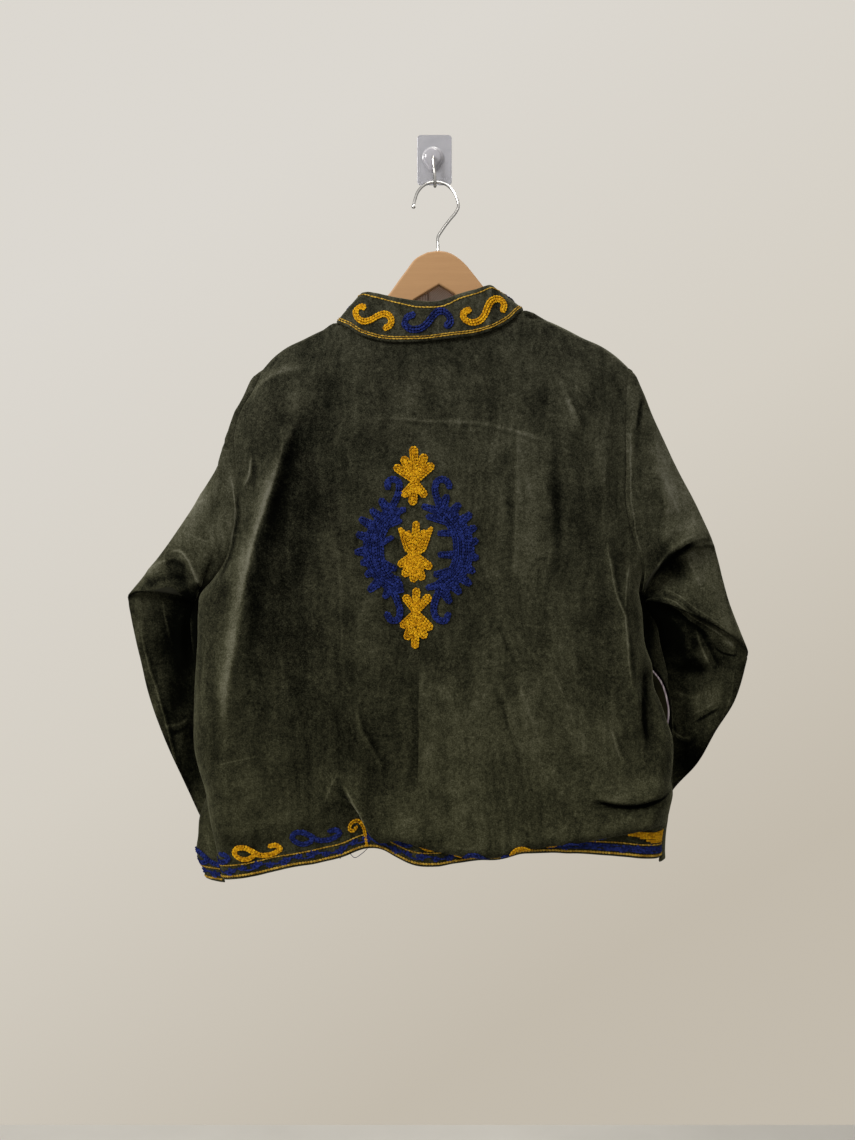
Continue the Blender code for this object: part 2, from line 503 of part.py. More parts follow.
# ------------------------------------------------------------------ the sleeves
def armhole(left_side):
    """The armhole's back edge and front edge from the shoulder tip to the underarm, at the panels' own rows, each with the
    direction away from the body (square to the edge as seen from the back) and the share of the way down."""
    table, low, side, out = (
        (BACK_LEFT, UNDERARM_LEFT_Z, FRONT_LEFT_SIDE, -1.0) if left_side else (BACK_RIGHT, UNDERARM_RIGHT_Z, FRONT_RIGHT_SIDE, 1.0)
    )
    z = edge_height(left_side, ARMHOLE_ROWS)
    xy = read(table, z, 1, 2)
    back = np.stack([xy[:, 0], xy[:, 1], z], -1)
    z = mix(side[0][0], side[-1][0], front_rows(left_side)[0])
    xy = read(side, z, 1, 2)
    tips = [row[0] for row in front_top(left_side, np.array([table[0][1], table[0][1] - out * 5.0]))[:2]]
    front = np.concatenate([tips, np.stack([xy[:, 0], xy[:, 1], z], -1)])
    back[0] = front[0] = (back[0] + front[0]) / 2
    back[-1] = front[-1] = (back[-1] + front[-1]) / 2
    edges = []
    for line in (back, front):
        ahead = np.gradient(line, axis=0)
        away = np.stack([-out * ahead[:, 2], np.zeros(len(ahead)), out * ahead[:, 0]], -1)
        away /= np.maximum(np.linalg.norm(away, axis=1, keepdims=True), 1e-9)
        along = np.concatenate([[0], np.cumsum(np.linalg.norm(np.diff(line, axis=0), axis=1))])
        edges.append((line, away, along / along[-1]))
    return edges


def sleeve_surface(left_side):
    """Grid of a sleeve's middle surface: rings by places round the ring, from the shoulder over the back's side to the
    underarm and back along the wall side."""
    rows = SLEEVE_LEFT if left_side else SLEEVE_RIGHT
    out = -1.0 if left_side else 1.0
    (back, back_away, back_share), (front, front_away, front_share) = armhole(left_side)
    front, front_away, front_share = (a[-2:0:-1] for a in (front, front_away, front_share))
    hole, away = np.concatenate([back, front]), np.concatenate([back_away, front_away])
    h = np.concatenate([back_share, front_share])
    seen = np.arange(len(h)) <= ARMHOLE_STEPS
    round_ = 2 * np.sqrt(h * (1 - h))
    start = hole + away * SEAM_GAP * 2.7
    near = start + away * 5.0
    grid = [start]
    for row in rows:
        p = dict(zip(SLEEVE_COLUMNS, row))
        o, i = np.array([p["ox"], p["oy"], p["oz"]], float), np.array([p["ix"], p["iy"], p["iz"]], float)
        line = o + (i - o) * h[:, None]
        line[:, 1] += np.where(seen, -p["front"], p["back"]) * round_**0.75
        across = (i - o)[[0, 2]] / np.linalg.norm((i - o)[[0, 2]])
        up = np.array([-across[1], across[0]])
        up = up if up[1] > 0 else -up
        lift = np.where(seen, p["bow"], 0) * round_
        line[:, 0] += up[0] * lift
        line[:, 2] += up[1] * lift
        grid.append(mix(line, near, p["hug"]))
    return np.array(grid)


# ------------------------------------------------------------------ collar and pocket
def collar_surface(along, up):
    base = np.array([(r[0], r[2], r[1]) for r in COLLAR], float)
    top = np.array([(r[3], r[5], r[4]) for r in COLLAR], float)
    knots = np.arange(len(COLLAR), dtype=float)
    at = np.asarray(along) * (len(COLLAR) - 1)
    b, t = smooth(knots, base, at), smooth(knots, top, at)
    return np.array([mix(b, t, s) for s in up])


def pocket_surface(rows, across):
    grid = []
    knots = column(POCKET, 0)
    for z in rows:
        xb, xf, xi, yb, yf = smooth(knots, np.array([r[1:] for r in POCKET], float), np.array([z]))[0]
        line = []
        for s in across:  # 0 = back edge, 0.5 = inner fold, 1 = front edge
            if s <= 0.5:
                k = s * 2
                line.append((mix(xb, xi, k), mix(yb, (yb + yf) / 2, max(0.0, (k - 0.86) / 0.14) ** 2), z))
            else:
                k = 2 - s * 2
                line.append((mix(xf, xi, k), mix(yf, (yb + yf) / 2, max(0.0, (k - 0.86) / 0.14) ** 2), z))
        grid.append(line)
    return np.array(grid, float)


def normals(grid):
    du, dv = np.gradient(grid, axis=1), np.gradient(grid, axis=0)
    n = np.cross(du, dv)
    return n / np.maximum(np.linalg.norm(n, axis=-1, keepdims=True), 1e-9)


# ------------------------------------------------------------------ building
def clear_scene():
    for obj in list(bpy.data.objects):
        bpy.data.objects.remove(obj, do_unlink=True)
    for mesh in list(bpy.data.meshes):
        bpy.data.meshes.remove(mesh)


def paint(obj, name):
    material = bpy.data.materials.get(name)
    if material is None:
        colour, rough, metal = PAINT[name]
        material = bpy.data.materials.new(name)
        material.use_nodes = True
        shader = material.node_tree.nodes["Principled BSDF"]
        shader.inputs["Base Color"].default_value = (*colour, 1)
        shader.inputs["Roughness"].default_value = rough
        shader.inputs["Metallic"].default_value = metal
        material.diffuse_color = (*colour, 1)
    obj.data.materials.append(material)


def add(obj, collection, material):
    collection.objects.link(obj)
    obj.parent = ROOT
    paint(obj, material)
    return obj


def cloth(name, grid, thickness, collection, material, ring=False):
    """A shell of the given thickness on a grid of points in mm."""
    rows, cols = grid.shape[:2]
    points = (grid.reshape(-1, 3) * 0.001).tolist()
    faces = []
    for j in range(rows - 1):
        for i in range(cols if ring else cols - 1):
            k = (i + 1) % cols
            faces.append((j * cols + i, j * cols + k, (j + 1) * cols + k, (j + 1) * cols + i))
    mesh = bpy.data.meshes.new(name)
    mesh.from_pydata(points, [], faces)
    mesh.update()
    obj = bpy.data.objects.new(name, mesh)
    add(obj, collection, material)
    solid = obj.modifiers.new("cloth", "SOLIDIFY")
    solid.thickness = thickness * 0.001
    solid.offset = 0.0
    solid.use_even_offset = False
    mesh.shade_smooth()
    return obj


def wire(name, path, radius, collection, material, samples=40, sides=2):
    """A bent wire: a bevelled curve through a smooth path (x, z, y rows)."""
    points = np.array([(r[0], r[2], r[1]) for r in path], float)
    along = np.concatenate([[0], np.cumsum(np.linalg.norm(np.diff(points, axis=0), axis=1))])
    line = smooth(along, points, np.linspace(0, along[-1], samples)) * 0.001
    curve = bpy.data.curves.new(name, "CURVE")
    curve.dimensions = "3D"
    curve.bevel_depth = radius * 0.001
    curve.bevel_resolution = sides
    curve.use_fill_caps = True
    spline = curve.splines.new("POLY")
    spline.points.add(len(line) - 1)
    for point, at in zip(spline.points, line):
        point.co = (*at, 1)
    return add(bpy.data.objects.new(name, curve), collection, material)


def slab(name, outline, thickness, edge, collection, material):
    """A flat outline (x, z) in mm with rounded edges, standing in the XZ plane, its middle at y = 0."""
    curve = bpy.data.curves.new(name, "CURVE")
    curve.dimensions = "2D"
    curve.fill_mode = "BOTH"
    curve.extrude = (thickness / 2 - edge) * 0.001
    curve.bevel_depth = edge * 0.001
    curve.bevel_resolution = 1
    curve.offset = -edge * 0.001
    spline = curve.splines.new("POLY")
    spline.points.add(len(outline) - 1)
    for point, (x, z) in zip(spline.points, outline):
        point.co = (x * 0.001, z * 0.001, 0, 1)
    spline.use_cyclic_u = True
    obj = bpy.data.objects.new(name, curve)
    obj.rotation_euler = (math.pi / 2, 0, 0)
    return add(obj, collection, material)


def as_mesh(obj, collection):
    """The curve's solid as a mesh, its caps welded on."""
    bpy.context.view_layer.update()
    graph = bpy.context.evaluated_depsgraph_get()
    mesh = bpy.data.meshes.new_from_object(obj.evaluated_get(graph))
    name, matrix = obj.name, obj.matrix_world.copy()
    bpy.data.objects.remove(obj, do_unlink=True)
    import bmesh

    work = bmesh.new()
    work.from_mesh(mesh)
    bmesh.ops.remove_doubles(work, verts=work.verts, dist=1e-6)
    bmesh.ops.recalc_face_normals(work, faces=work.faces)
    work.to_mesh(mesh)
    work.free()
    made = bpy.data.objects.new(name, mesh)
    collection.objects.link(made)
    made.parent = ROOT
    made.matrix_world = matrix
    return made


def cut(obj, cutter):
    tool = obj.modifiers.new("cut", "BOOLEAN")
    tool.operation = "DIFFERENCE"
    tool.object = cutter
    cutter.hide_render = True
    cutter.display_type = "WIRE"


def turned(name, profile, steps, collection, material):
    """A turned solid about its local Z: profile (radius, height) in mm, from the top of its outer side to the bottom."""
    mesh = bpy.data.meshes.new(name)
    points = [(r * 0.001, 0, h * 0.001) for r, h in profile]
    mesh.from_pydata(points, [(i, i + 1) for i in range(len(points) - 1)], [])
    obj = bpy.data.objects.new(name, mesh)
    screw = obj.modifiers.new("turn", "SCREW")
    screw.axis = "Z"
    screw.steps = steps
    screw.render_steps = steps
    screw.use_merge_vertices = True
    screw.merge_threshold = 1e-5
    screw.use_smooth_shade = True
    if collection is not None:
        add(obj, collection, material)
    return obj


def rounded_rectangle(width, height, radius, each=4):
    outline = []
    for cx, cz, start in ((1, 1, 0), (-1, 1, 90), (-1, -1, 180), (1, -1, 270)):
        for k in range(each + 1):
            angle = math.radians(start + 90 * k / each)
            outline.append((cx * (width / 2 - radius) + radius * math.cos(angle), cz * (height / 2 - radius) + radius * math.sin(angle)))
    return outline


def build():
    coat = bpy.data.collections.new("suzani_coat")
    tools = bpy.data.collections.new("cutters")
    for group in (coat, tools):
        bpy.context.scene.collection.children.link(group)

    # Back: columns meet the corners of the neck.
    u_left, u_right = at_x(-110.0), at_x(98.0)
    edge_u = np.array([0, 0.006, 0.02, 0.045, 0.08])
    u = np.concatenate([
        edge_u, spread(0.08, u_left, 4)[1:], spread(u_left, u_right, 11)[1:], spread(u_right, 0.92, 4)[1:], 1 - edge_u[::-1][1:],
    ])
    back = back_surface(u, np.concatenate([ARMHOLE_ROWS, SIDE_ROWS, TUCK_ROWS]))
    cloth("back", back, CLOTH, coat, "velvet")

    # Fronts: their columns meet the back's along the shoulder seams.
    top_x = mix(LEFT_TIP_X, RIGHT_TIP_X, u)
    turn = np.array([0, 0.25, 0.5, 0.75, 1.0])
    left_x = np.concatenate([top_x[top_x <= -109.9], [-107, -102, -88, -60, -30, CENTRE_FRONT_X - FRONT_GAP / 2]])
    right_x = np.concatenate([top_x[top_x >= 97.9][::-1], [95, 90, 78, 48, 20, CENTRE_FRONT_X + FRONT_GAP / 2]])
    cloth("front_left", front_surface(True, left_x, turn, np.concatenate(front_rows(True))), CLOTH, coat, "velvet")
    cloth("front_right", front_surface(False, right_x, turn, np.concatenate(front_rows(False))), CLOTH, coat, "velvet")

    cloth("sleeve_left", sleeve_surface(True), CLOTH, coat, "velvet", ring=True)
    cloth("sleeve_right", sleeve_surface(False), CLOTH, coat, "velvet", ring=True)

    collar = collar_surface(np.linspace(0, 1, 36), (0, 0.5, 1))
    cloth("collar", collar, COLLAR_CLOTH, coat, "velvet")
    inner = collar_surface(np.linspace(0.01, 0.99, 36), (0.12, 0.5, 0.985))
    centre = np.array([-8.0, -50.0, 0.0])
    n = normals(inner)
    towards = centre - inner
    towards[..., 2] = 0
    n *= np.sign((n * towards).sum(-1, keepdims=True))
    cloth("collar_lining", inner + n * (COLLAR_CLOTH / 2 + 0.8 + LINING / 2), LINING, coat, "lining")

    cloth("pocket_bag", pocket_surface(spread(-611, -758, 8), np.array([0, 0.12, 0.25, 0.38, 0.44, 0.475, 0.5, 0.525, 0.56, 0.62, 0.75, 0.88, 1.0])), 0.8, coat, "lining")

    # Hanger.
    outline = WOOD_TOP_RIGHT + WOOD_LOW_RIGHT + [WOOD_NOTCH] + WOOD_LOW_LEFT + WOOD_TOP_LEFT
    wood = slab("hanger_wood", outline[::-1], WOOD_T, 2.6, coat, "wood")
    wood.location = (0, WOOD_Y * 0.001, 0)
    wood = as_mesh(wood, coat)
    foot = HOOK_PATH[0]
    bpy.ops.mesh.primitive_cylinder_add(
        vertices=20, radius=WIRE_BORE_R * 0.001, depth=0.001 * (WIRE_BORE_DEPTH + 10),
        location=(foot[0] * 0.001, WOOD_Y * 0.001, 0.001 * (WOOD_TOP_RIGHT[0][1] - WIRE_BORE_DEPTH / 2 + 5)),
    )
    bore = bpy.context.object
    bore.name = "wire_bore"
    for group in list(bore.users_collection):
        group.objects.unlink(bore)
    tools.objects.link(bore)
    cut(wood, bore)
    wire("hanger_hook", HOOK_PATH, WIRE_R, coat, "chrome", samples=64, sides=2)

    # Wall hook: plate with its boss, one clear moulding, and the metal pin.
    plate = slab("hook_plate", rounded_rectangle(PLATE_W, PLATE_H, PLATE_CORNER), PLATE_T, 0.3, coat, "clear_plastic")
    plate.location = (0, -PLATE_T / 2 * 0.001, 0)
    plate = as_mesh(plate, coat)
    dome = [(0, BOSS_T), (5.0, BOSS_T - 0.1), (9.0, BOSS_T - 0.9), (11.6, BOSS_T - 2.6), (12.7, 1.6), (BOSS_R, 0.4), (BOSS_R, -0.6), (0, -0.6)]
    boss = turned("boss", dome, 28, tools, "clear_plastic")
    boss.rotation_euler = (math.pi / 2, 0, 0)
    boss.location = (BOSS_X * 0.001, -PLATE_T * 0.001, BOSS_Z * 0.001)
    boss.hide_render = True
    boss.display_type = "WIRE"
    join = plate.modifiers.new("boss", "BOOLEAN")
    join.operation = "UNION"
    join.object = boss
    wire("hook_pin", PIN_PATH, PIN_R, coat, "chrome", samples=30, sides=2)


clear_scene()
ROOT = bpy.data.objects.new("coat_origin", None)
bpy.context.scene.collection.objects.link(ROOT)
build()
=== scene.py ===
"""The look of a short olive velvet coat with chain-stitch flowers, hung back outwards on a wooden hanger.

The row frame: metres, +Z up, +Y into the wall. The coat's back faces -Y. All tables are in millimetres. Every panel is
worked out from the coat's own sizes, more finely than its solids, with its creases, its velvet and its embroidery.
"""

import math

import bpy
import numpy as np
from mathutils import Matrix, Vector
from mathutils.bvhtree import BVHTree


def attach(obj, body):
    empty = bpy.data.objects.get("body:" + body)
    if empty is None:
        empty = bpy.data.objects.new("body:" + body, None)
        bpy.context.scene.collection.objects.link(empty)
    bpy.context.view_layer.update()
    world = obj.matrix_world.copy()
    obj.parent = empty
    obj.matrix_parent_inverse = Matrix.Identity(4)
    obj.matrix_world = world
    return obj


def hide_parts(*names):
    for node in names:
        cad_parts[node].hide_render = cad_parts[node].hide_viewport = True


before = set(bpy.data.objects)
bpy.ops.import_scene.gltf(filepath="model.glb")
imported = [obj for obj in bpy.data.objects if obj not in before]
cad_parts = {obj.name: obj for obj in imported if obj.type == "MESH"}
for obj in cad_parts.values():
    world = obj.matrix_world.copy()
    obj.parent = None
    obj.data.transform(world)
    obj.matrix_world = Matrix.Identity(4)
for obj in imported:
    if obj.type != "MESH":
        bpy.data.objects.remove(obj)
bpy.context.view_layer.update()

# ------------------------------------------------------------------ driving sizes, mm
CLOTH = 2.0  # velvet and its backing
COLLAR_CLOTH = 2.4
LINING = 1.0
SEAM_GAP = 0.7  # between the middles of two panels' edges where they are sewn
CENTRE_FRONT_X = -8.0
FRONT_GAP = 3.0  # the two fronts hang edge to edge

PLATE_W, PLATE_H, PLATE_T, PLATE_CORNER = 42.0, 61.0, 1.6, 4.5
BOSS_X, BOSS_Z, BOSS_R, BOSS_T = -2.0, 3.0, 13.0, 6.0
PIN_R = 1.9
WIRE_R = 1.7
WOOD_T, WOOD_Y = 12.0, -46.0
WIRE_BORE_R, WIRE_BORE_DEPTH = 2.1, 24.0

# ------------------------------------------------------------------ the coat's tables, mm
# Back panel, top edge: left shoulder seam, neck, right shoulder seam.
BACK_TOP = {
    "left_shoulder": [  # x, z, y
        (-202, -268, -58), (-190, -256, -59), (-176, -244, -60), (-154, -232.5, -61), (-133, -222, -62), (-110, -213, -63),
    ],
    "neck": [
        (-110, -213, -63), (-84, -225, -68), (-55, -232, -71), (-19, -232.5, -73), (13, -229, -73), (45, -225, -71),
        (69, -217, -68), (86, -208, -65), (98, -200, -62),
    ],
    "right_shoulder": [
        (98, -200, -62), (132, -211, -61), (156, -222, -60), (171, -229, -59), (199, -243, -58), (213, -253, -58), (226, -265, -58),
    ],
}
# Back panel, side edges from the shoulder tip down: armhole seam, underarm, side seam, hem corner.
BACK_LEFT = [  # z, x, y
    (-268, -202, -58), (-292, -213, -60), (-308, -223, -62), (-327, -230, -64), (-345, -233, -66), (-362, -232, -68),
    (-391, -229, -70), (-412, -228, -71), (-448, -232, -71), (-469, -236, -70), (-491, -245, -66), (-511, -260, -59),
    (-526, -274, -52), (-545, -277, -50), (-581, -278, -50), (-634, -281, -50), (-677, -282, -50), (-708, -281, -50),
    (-733, -275, -51), (-756, -268, -52), (-775, -265, -53), (-792, -262, -54), (-814, -257, -56), (-830, -253, -57),
    (-856, -247, -58),
]
BACK_RIGHT = [  # z, x, y
    (-265, 226, -58), (-290, 223, -62), (-313, 222, -65), (-345, 221, -68), (-380, 221, -71), (-412, 220, -72),
    (-440, 224, -72), (-460, 230, -70), (-482, 237, -67), (-500, 241, -61), (-512, 240, -56), (-521, 239, -52),
    (-547, 243, -50), (-588, 247, -50), (-608, 254, -51), (-637, 257, -52), (-651, 263, -53), (-674, 271, -54),
    (-692, 277, -54), (-723, 278, -53), (-742, 276, -53), (-757, 278, -53), (-772, 275, -54), (-788, 271, -55),
    (-800, 266, -57), (-830, 263, -58),
]
UNDERARM_LEFT_Z, UNDERARM_RIGHT_Z = -526.0, -521.0
# How far out the back hangs between its edges: y at five places across, a row for each height.
BACK_DEPTH = [  # z, y at u = 0.08, 0.3, 0.5, 0.7, 0.92
    (-225, -66, -71, -75, -71, -66),
    (-330, -76, -80, -81, -79, -76),
    (-450, -80, -85, -85, -85, -80),
    (-600, -84, -90, -88, -90, -82),
    (-720, -88, -94, -95, -96, -86),
    (-800, -84, -92, -97, -100, -90),
    (-850, -80, -84, -88, -90, -82),
]
BACK_ACROSS = (0.08, 0.3, 0.5, 0.7, 0.92)
# The largest folds of the back: a soft ridge (height > 0) or trough between two points.
BACK_FOLDS = [  # x1, z1, x2, z2, half width, height
    (-166, -335, -186, -395, 16, 6.0),
    (-184, -385, -201, -500, 15, 8.0),
    (-200, -490, -240, -665, 17, 7.0),
    (-140, -400, -168, -640, 26, -5.0),
    (158, -262, 182, -350, 20, 3.5),
    (206, -480, 226, -600, 12, 3.0),
    (228, -590, 232, -700, 12, 4.0),
    (247, -612, 252, -705, 9, -6.0),
]
# The tuck above the hem: height of the lower edge of the bulge (or of the plain cloth, where tuck is 0).
TUCK_EDGE = [  # x, z, tuck
    (-262, -792, 0.0), (-190, -786, 0.0), (-135, -766, 0.0), (-108, -746, 0.05), (-92, -756, 0.45), (-80, -775, 0.9),
    (-70, -797, 1.0), (-37, -805, 1.0), (-3, -815, 1.0), (20, -820, 1.0), (49, -824, 1.0), (75, -823, 1.0),
    (97, -816, 1.0), (118, -812, 1.0), (154, -808, 1.0), (202, -799, 1.0), (236, -792, 1.0), (252, -788, 0.6), (264, -786, 0.0),
]
HEM = [  # x, z
    (-250, -856), (-207, -848), (-171, -839), (-134, -832), (-111, -826), (-78, -815), (-62, -817), (-45, -826),
    (-28, -834), (1, -836), (25, -832), (49, -829), (75, -828), (97, -822), (113, -821), (155, -821), (205, -824), (263, -830),
]
# Stations down the tuck. share = place of the plain cloth between the edge line and the hem, where there is no tuck.
TUCK_STATIONS = [  # name, share, rise over the bulge's edge, y
    ("above", -0.36, 20.0, -103.0),
    ("full", 0.0, 7.0, -105.0),
    ("edge", 0.12, 0.0, -100.0),
    ("under", 0.24, 5.0, -95.0),
    ("top", 0.42, 17.0, -92.0),
    ("lay", 0.7, None, -89.5),
    ("hem", 1.0, None, -87.0),
]
# The deep crease low at the right: height of its lip, how far the cloth above stands over the cloth below.
CREASE = [  # x, z, step
    (150, -758, 0.0), (185, -762, 3.0), (215, -765, 6.0), (240, -763, 8.0), (258, -758, 6.0), (270, -754, 2.0),
]

# Fronts. The shoulder seam is the back's; the ridge lies over the hanger, then comes the wall side.
FRONT_LEFT_TOP = [  # x, ridge z, ridge y, wall z, wall y
    (-202, -263.8, -49, -271, -41), (-190, -250, -49, -258, -39), (-176, -239, -49, -247, -38), (-154, -228, -49, -236, -37),
    (-133, -218, -49, -226, -36), (-110, -211, -49, -220, -37), (-107, -212.5, -38, -221, -36.5), (-102, -217, -35.5, -224, -35),
    (-88, -225, -32.5, -231, -32), (-60, -224, -30, -230, -30), (-30, -218, -29.5, -224, -29.5), (-9.5, -215, -29, -221, -29),
]
FRONT_RIGHT_TOP = [
    (226, -260, -49, -268, -41), (213, -248, -49, -256, -39), (199, -238, -49, -246, -38), (171, -225, -49, -233, -37),
    (156, -217, -49, -225, -36), (132, -206, -49, -214, -36), (98, -197, -49, -207, -37), (95, -199, -38, -208, -36.5),
    (90, -205, -35.5, -212, -35), (78, -215, -32.5, -221, -32), (48, -217, -30, -223, -30), (20, -216, -29.5, -222, -29.5),
    (-6.5, -215, -29, -221, -29),
]
NECK_LEFT = [  # x, z, y: the front's neck edge
    (-110, -213, -62), (-107, -210.5, -46), (-102, -213.5, -37.5), (-88, -221.5, -33), (-60, -221, -30), (-30, -215, -29.5), (-9.5, -212, -29),
]
NECK_RIGHT = [
    (98, -200, -61), (95, -196.5, -46), (90, -201, -37.5), (78, -212, -33), (48, -214, -30), (20, -213, -29.5), (-6.5, -212, -29),
]
# Side edges of the fronts: z, x, y, how far the cloth bulges past the edge before it turns back, width of the turn.
FRONT_LEFT_SIDE = [
    (-271, -206, -41, 0, 10), (-300, -219, -38, 0, 14), (-345, -231, -33, 0, 16), (-400, -229, -29, 0, 16),
    (-448, -232, -28, 0, 16), (-485, -243, -30, 0, 18), (-510, -259, -37, 0, 22), (-526, -274, -49.0, 0, 26),
    (-545, -277, -49.0, 0, 26), (-634, -281, -49.0, 0, 26), (-708, -281, -49.0, 0, 26), (-733, -275, -50.0, 0, 24),
    (-756, -268, -51.0, 1, 22), (-775, -265, -52.0, 7, 20), (-792, -262, -53.0, 16, 18), (-814, -257, -55.0, 23, 18),
    (-833, -252, -56.0, 30, 18), (-846, -249, -57, 28, 18), (-862, -246, -57.3, 24, 18),
]
FRONT_RIGHT_SIDE = [
    (-268, 230, -41, 0, 10), (-313, 224, -35, 0, 14), (-345, 222, -31, 0, 16), (-400, 221, -28, 0, 16),
    (-440, 224, -28, 0, 16), (-482, 237, -31, 0, 20), (-505, 241, -38, 0, 24), (-521, 239, -49.0, 0, 26),
    (-538, 242, -49.0, 0, 26), (-549, 243, -49.0, 3, 26), (-558, 244, -49.0, 11, 25), (-570, 245, -49.0, 18, 24), (-588, 247, -49.0, 20, 24),
    (-604, 251, -48.5, 20, 24), (-618, 263, -46.5, 11, 24), (-632, 272, -45, 4, 24), (-646, 277, -44.5, 0, 24),
    (-669, 280, -44.5, 0, 24), (-684, 280, -47, 0, 24), (-696, 279, -51, 0, 24), (-723, 278, -52.0, 0, 24), (-757, 278, -52.0, 0, 24), (-772, 275, -53.0, 1, 22),
    (-788, 271, -53.9, 5, 20), (-806, 265, -56, 8, 18), (-838, 263, -57, 8, 18),
]
FRONT_HEM_LEFT = [(-246, -862), (-200, -856), (-134, -838), (-78, -822), (-45, -825), (-8, -831)]  # x, z
FRONT_HEM_RIGHT = [(263, -838), (230, -834), (155, -829), (100, -828), (50, -831), (-8, -831)]
FRONT_DEPTH = [(-215, -29.5), (-330, -28), (-500, -27), (-700, -27), (-860, -27)]  # z, y

# Sleeves: one ring a row. o = outer edge, i = inner edge; camera side and wall side stand off the middle by front, back;
# bow lifts the middle of the front of the ring towards the shoulder; hug = how closely the ring still follows the armhole.
SLEEVE_COLUMNS = ("ox", "oz", "oy", "ix", "iz", "iy", "front", "back", "bow", "hug")
SLEEVE_LEFT = [
    (-222, -291, -47, -277.0, -528, -50, 22, 15, 8, 0.8),
    (-238, -338, -47, -278.0, -529, -50, 22, 15, 6, 0.45),
    (-251, -375, -47, -279.0, -530, -50, 21, 14, 4, 0.15),
    (-281, -420, -46, -280.0, -531, -49, 20, 14, 2, 0.0),
    (-322, -480, -46, -281.5, -532.5, -49, 20, 14, 0, 0.0),
    (-346, -511, -45, -282.5, -534, -48, 19, 14, 2, 0.0),
    (-360, -529, -44, -283.5, -536, -48, 20, 14, 8, 0.0),
    (-360.5, -536, -43, -284.0, -540, -47, 12, 14, 26, 0.0),
    (-359, -552, -39, -283.5, -547, -42, 8, 13, 8, 0.0),
    (-354, -577, -34, -281.5, -560, -31, 8, 10, 0, 0.0),
    (-346, -606, -29, -270.0, -582, -18, 8, 8, 0, 0.0),
    (-336, -639, -27, -251.0, -616, -13, 8, 8, 0, 0.0),
    (-316, -705, -23, -230.0, -681, -12, 8, 7, 0, 0.0),
    (-294, -764, -18, -205.0, -735, -12, 7, 7, 0, 0.0),
    (-272, -816, -13, -178.0, -782, -12, 6.5, 6.5, 0, 0.0),
]
SLEEVE_RIGHT = [
    (237, -273, -47, 242.0, -523, -50, 22, 15, -2, 0.8),
    (249, -299, -47, 243.0, -524, -50, 22, 15, 0, 0.45),
    (265, -338, -47, 244.0, -525, -50, 21, 14, 2, 0.15),
    (287, -383, -46, 245.0, -526, -50, 20, 14, 4, 0.0),
    (309, -425, -46, 246.0, -527.5, -49, 20, 14, 8, 0.0),
    (329, -470, -45, 247.0, -529, -49, 25, 14, 23, 0.0),
    (335, -492, -44, 248.0, -531, -49, 9, 14, 14, 0.0),
    (345, -533, -43, 249.5, -534, -48, 17, 14, 12, 0.0),
    (363, -597, -41, 252.0, -538, -47, 20, 14, 13, 0.0),
    (362.5, -602, -40, 253.5, -543, -46, 11, 14, 24, 0.0),
    (360, -614, -36, 256.0, -552, -39, 7, 13, 8, 0.0),
    (355, -632, -31, 258.5, -565, -28, 7, 10, 0, 0.0),
    (349, -651, -28, 255.0, -584, -18, 7, 8, 0, 0.0),
    (330, -691, -24, 247.0, -640, -13, 8, 7, 0, 0.0),
    (312, -731, -20, 231.0, -682, -12, 8, 7, 0, 0.0),
    (289, -758, -16, 212.0, -707, -12, 7, 7, 0, 0.0),
    (270, -787, -14, 194.0, -738, -12, 6.5, 6.5, 0, 0.0),
    (252, -808, -13, 178.0, -758, -12, 6.5, 6.5, 0, 0.0),
]

# Stand collar, a ring from centre front round the left end, the back and the right end to centre front.
COLLAR = [  # base x, z, y, top x, z, y
    (-9.5, -210, -26, -9.5, -158, -27), (-35, -213, -26, -35, -161, -27), (-62, -218, -26.5, -58, -167, -28),
    (-91, -218, -29.3, -74, -173, -31), (-106, -209, -36, -84, -177, -40), (-113.5, -207, -49, -86, -175, -49),
    (-112, -210, -62, -82, -174.5, -59), (-100, -216, -69, -76, -175.5, -64), (-84, -226, -73, -66, -178, -67),
    (-55, -233.5, -76, -45, -183.5, -71), (-19, -234, -78, -20, -188, -74), (13, -230.5, -78, 5, -188, -74),
    (45, -226.5, -76, 28, -179.5, -71), (69, -218.5, -73, 48, -173, -67), (86, -209, -70, 63, -167.5, -62),
    (96, -199, -66, 72, -169, -56), (102, -193, -56, 80, -174, -49), (101.5, -194, -46, 83, -177, -42),
    (93, -196.5, -35, 79, -177, -35), (80, -208, -29.3, 71, -171, -30.5), (47, -211, -26.5, 45, -162, -28),
    (-6.5, -210, -26, -6.5, -158, -27),
]

# Pocket bag in the right side seam: a folded sheet, its two edges in the slit.
POCKET = [  # z, back edge x, front edge x, inner fold x, back y, front y
    (-611, 247, 252, 212, -54.5, -49.5), (-628, 250, 266, 188, -57, -47.8), (-646, 256, 273, 172, -59, -46.6),
    (-669, 265, 276, 162, -60, -46.6), (-688, 268, 272, 157, -59, -48.8), (-715, 262, 262, 157, -57, -45), (-740, 242, 242, 168, -54.5, -45),
    (-758, 216, 216, 188, -51.5, -47.5),
]

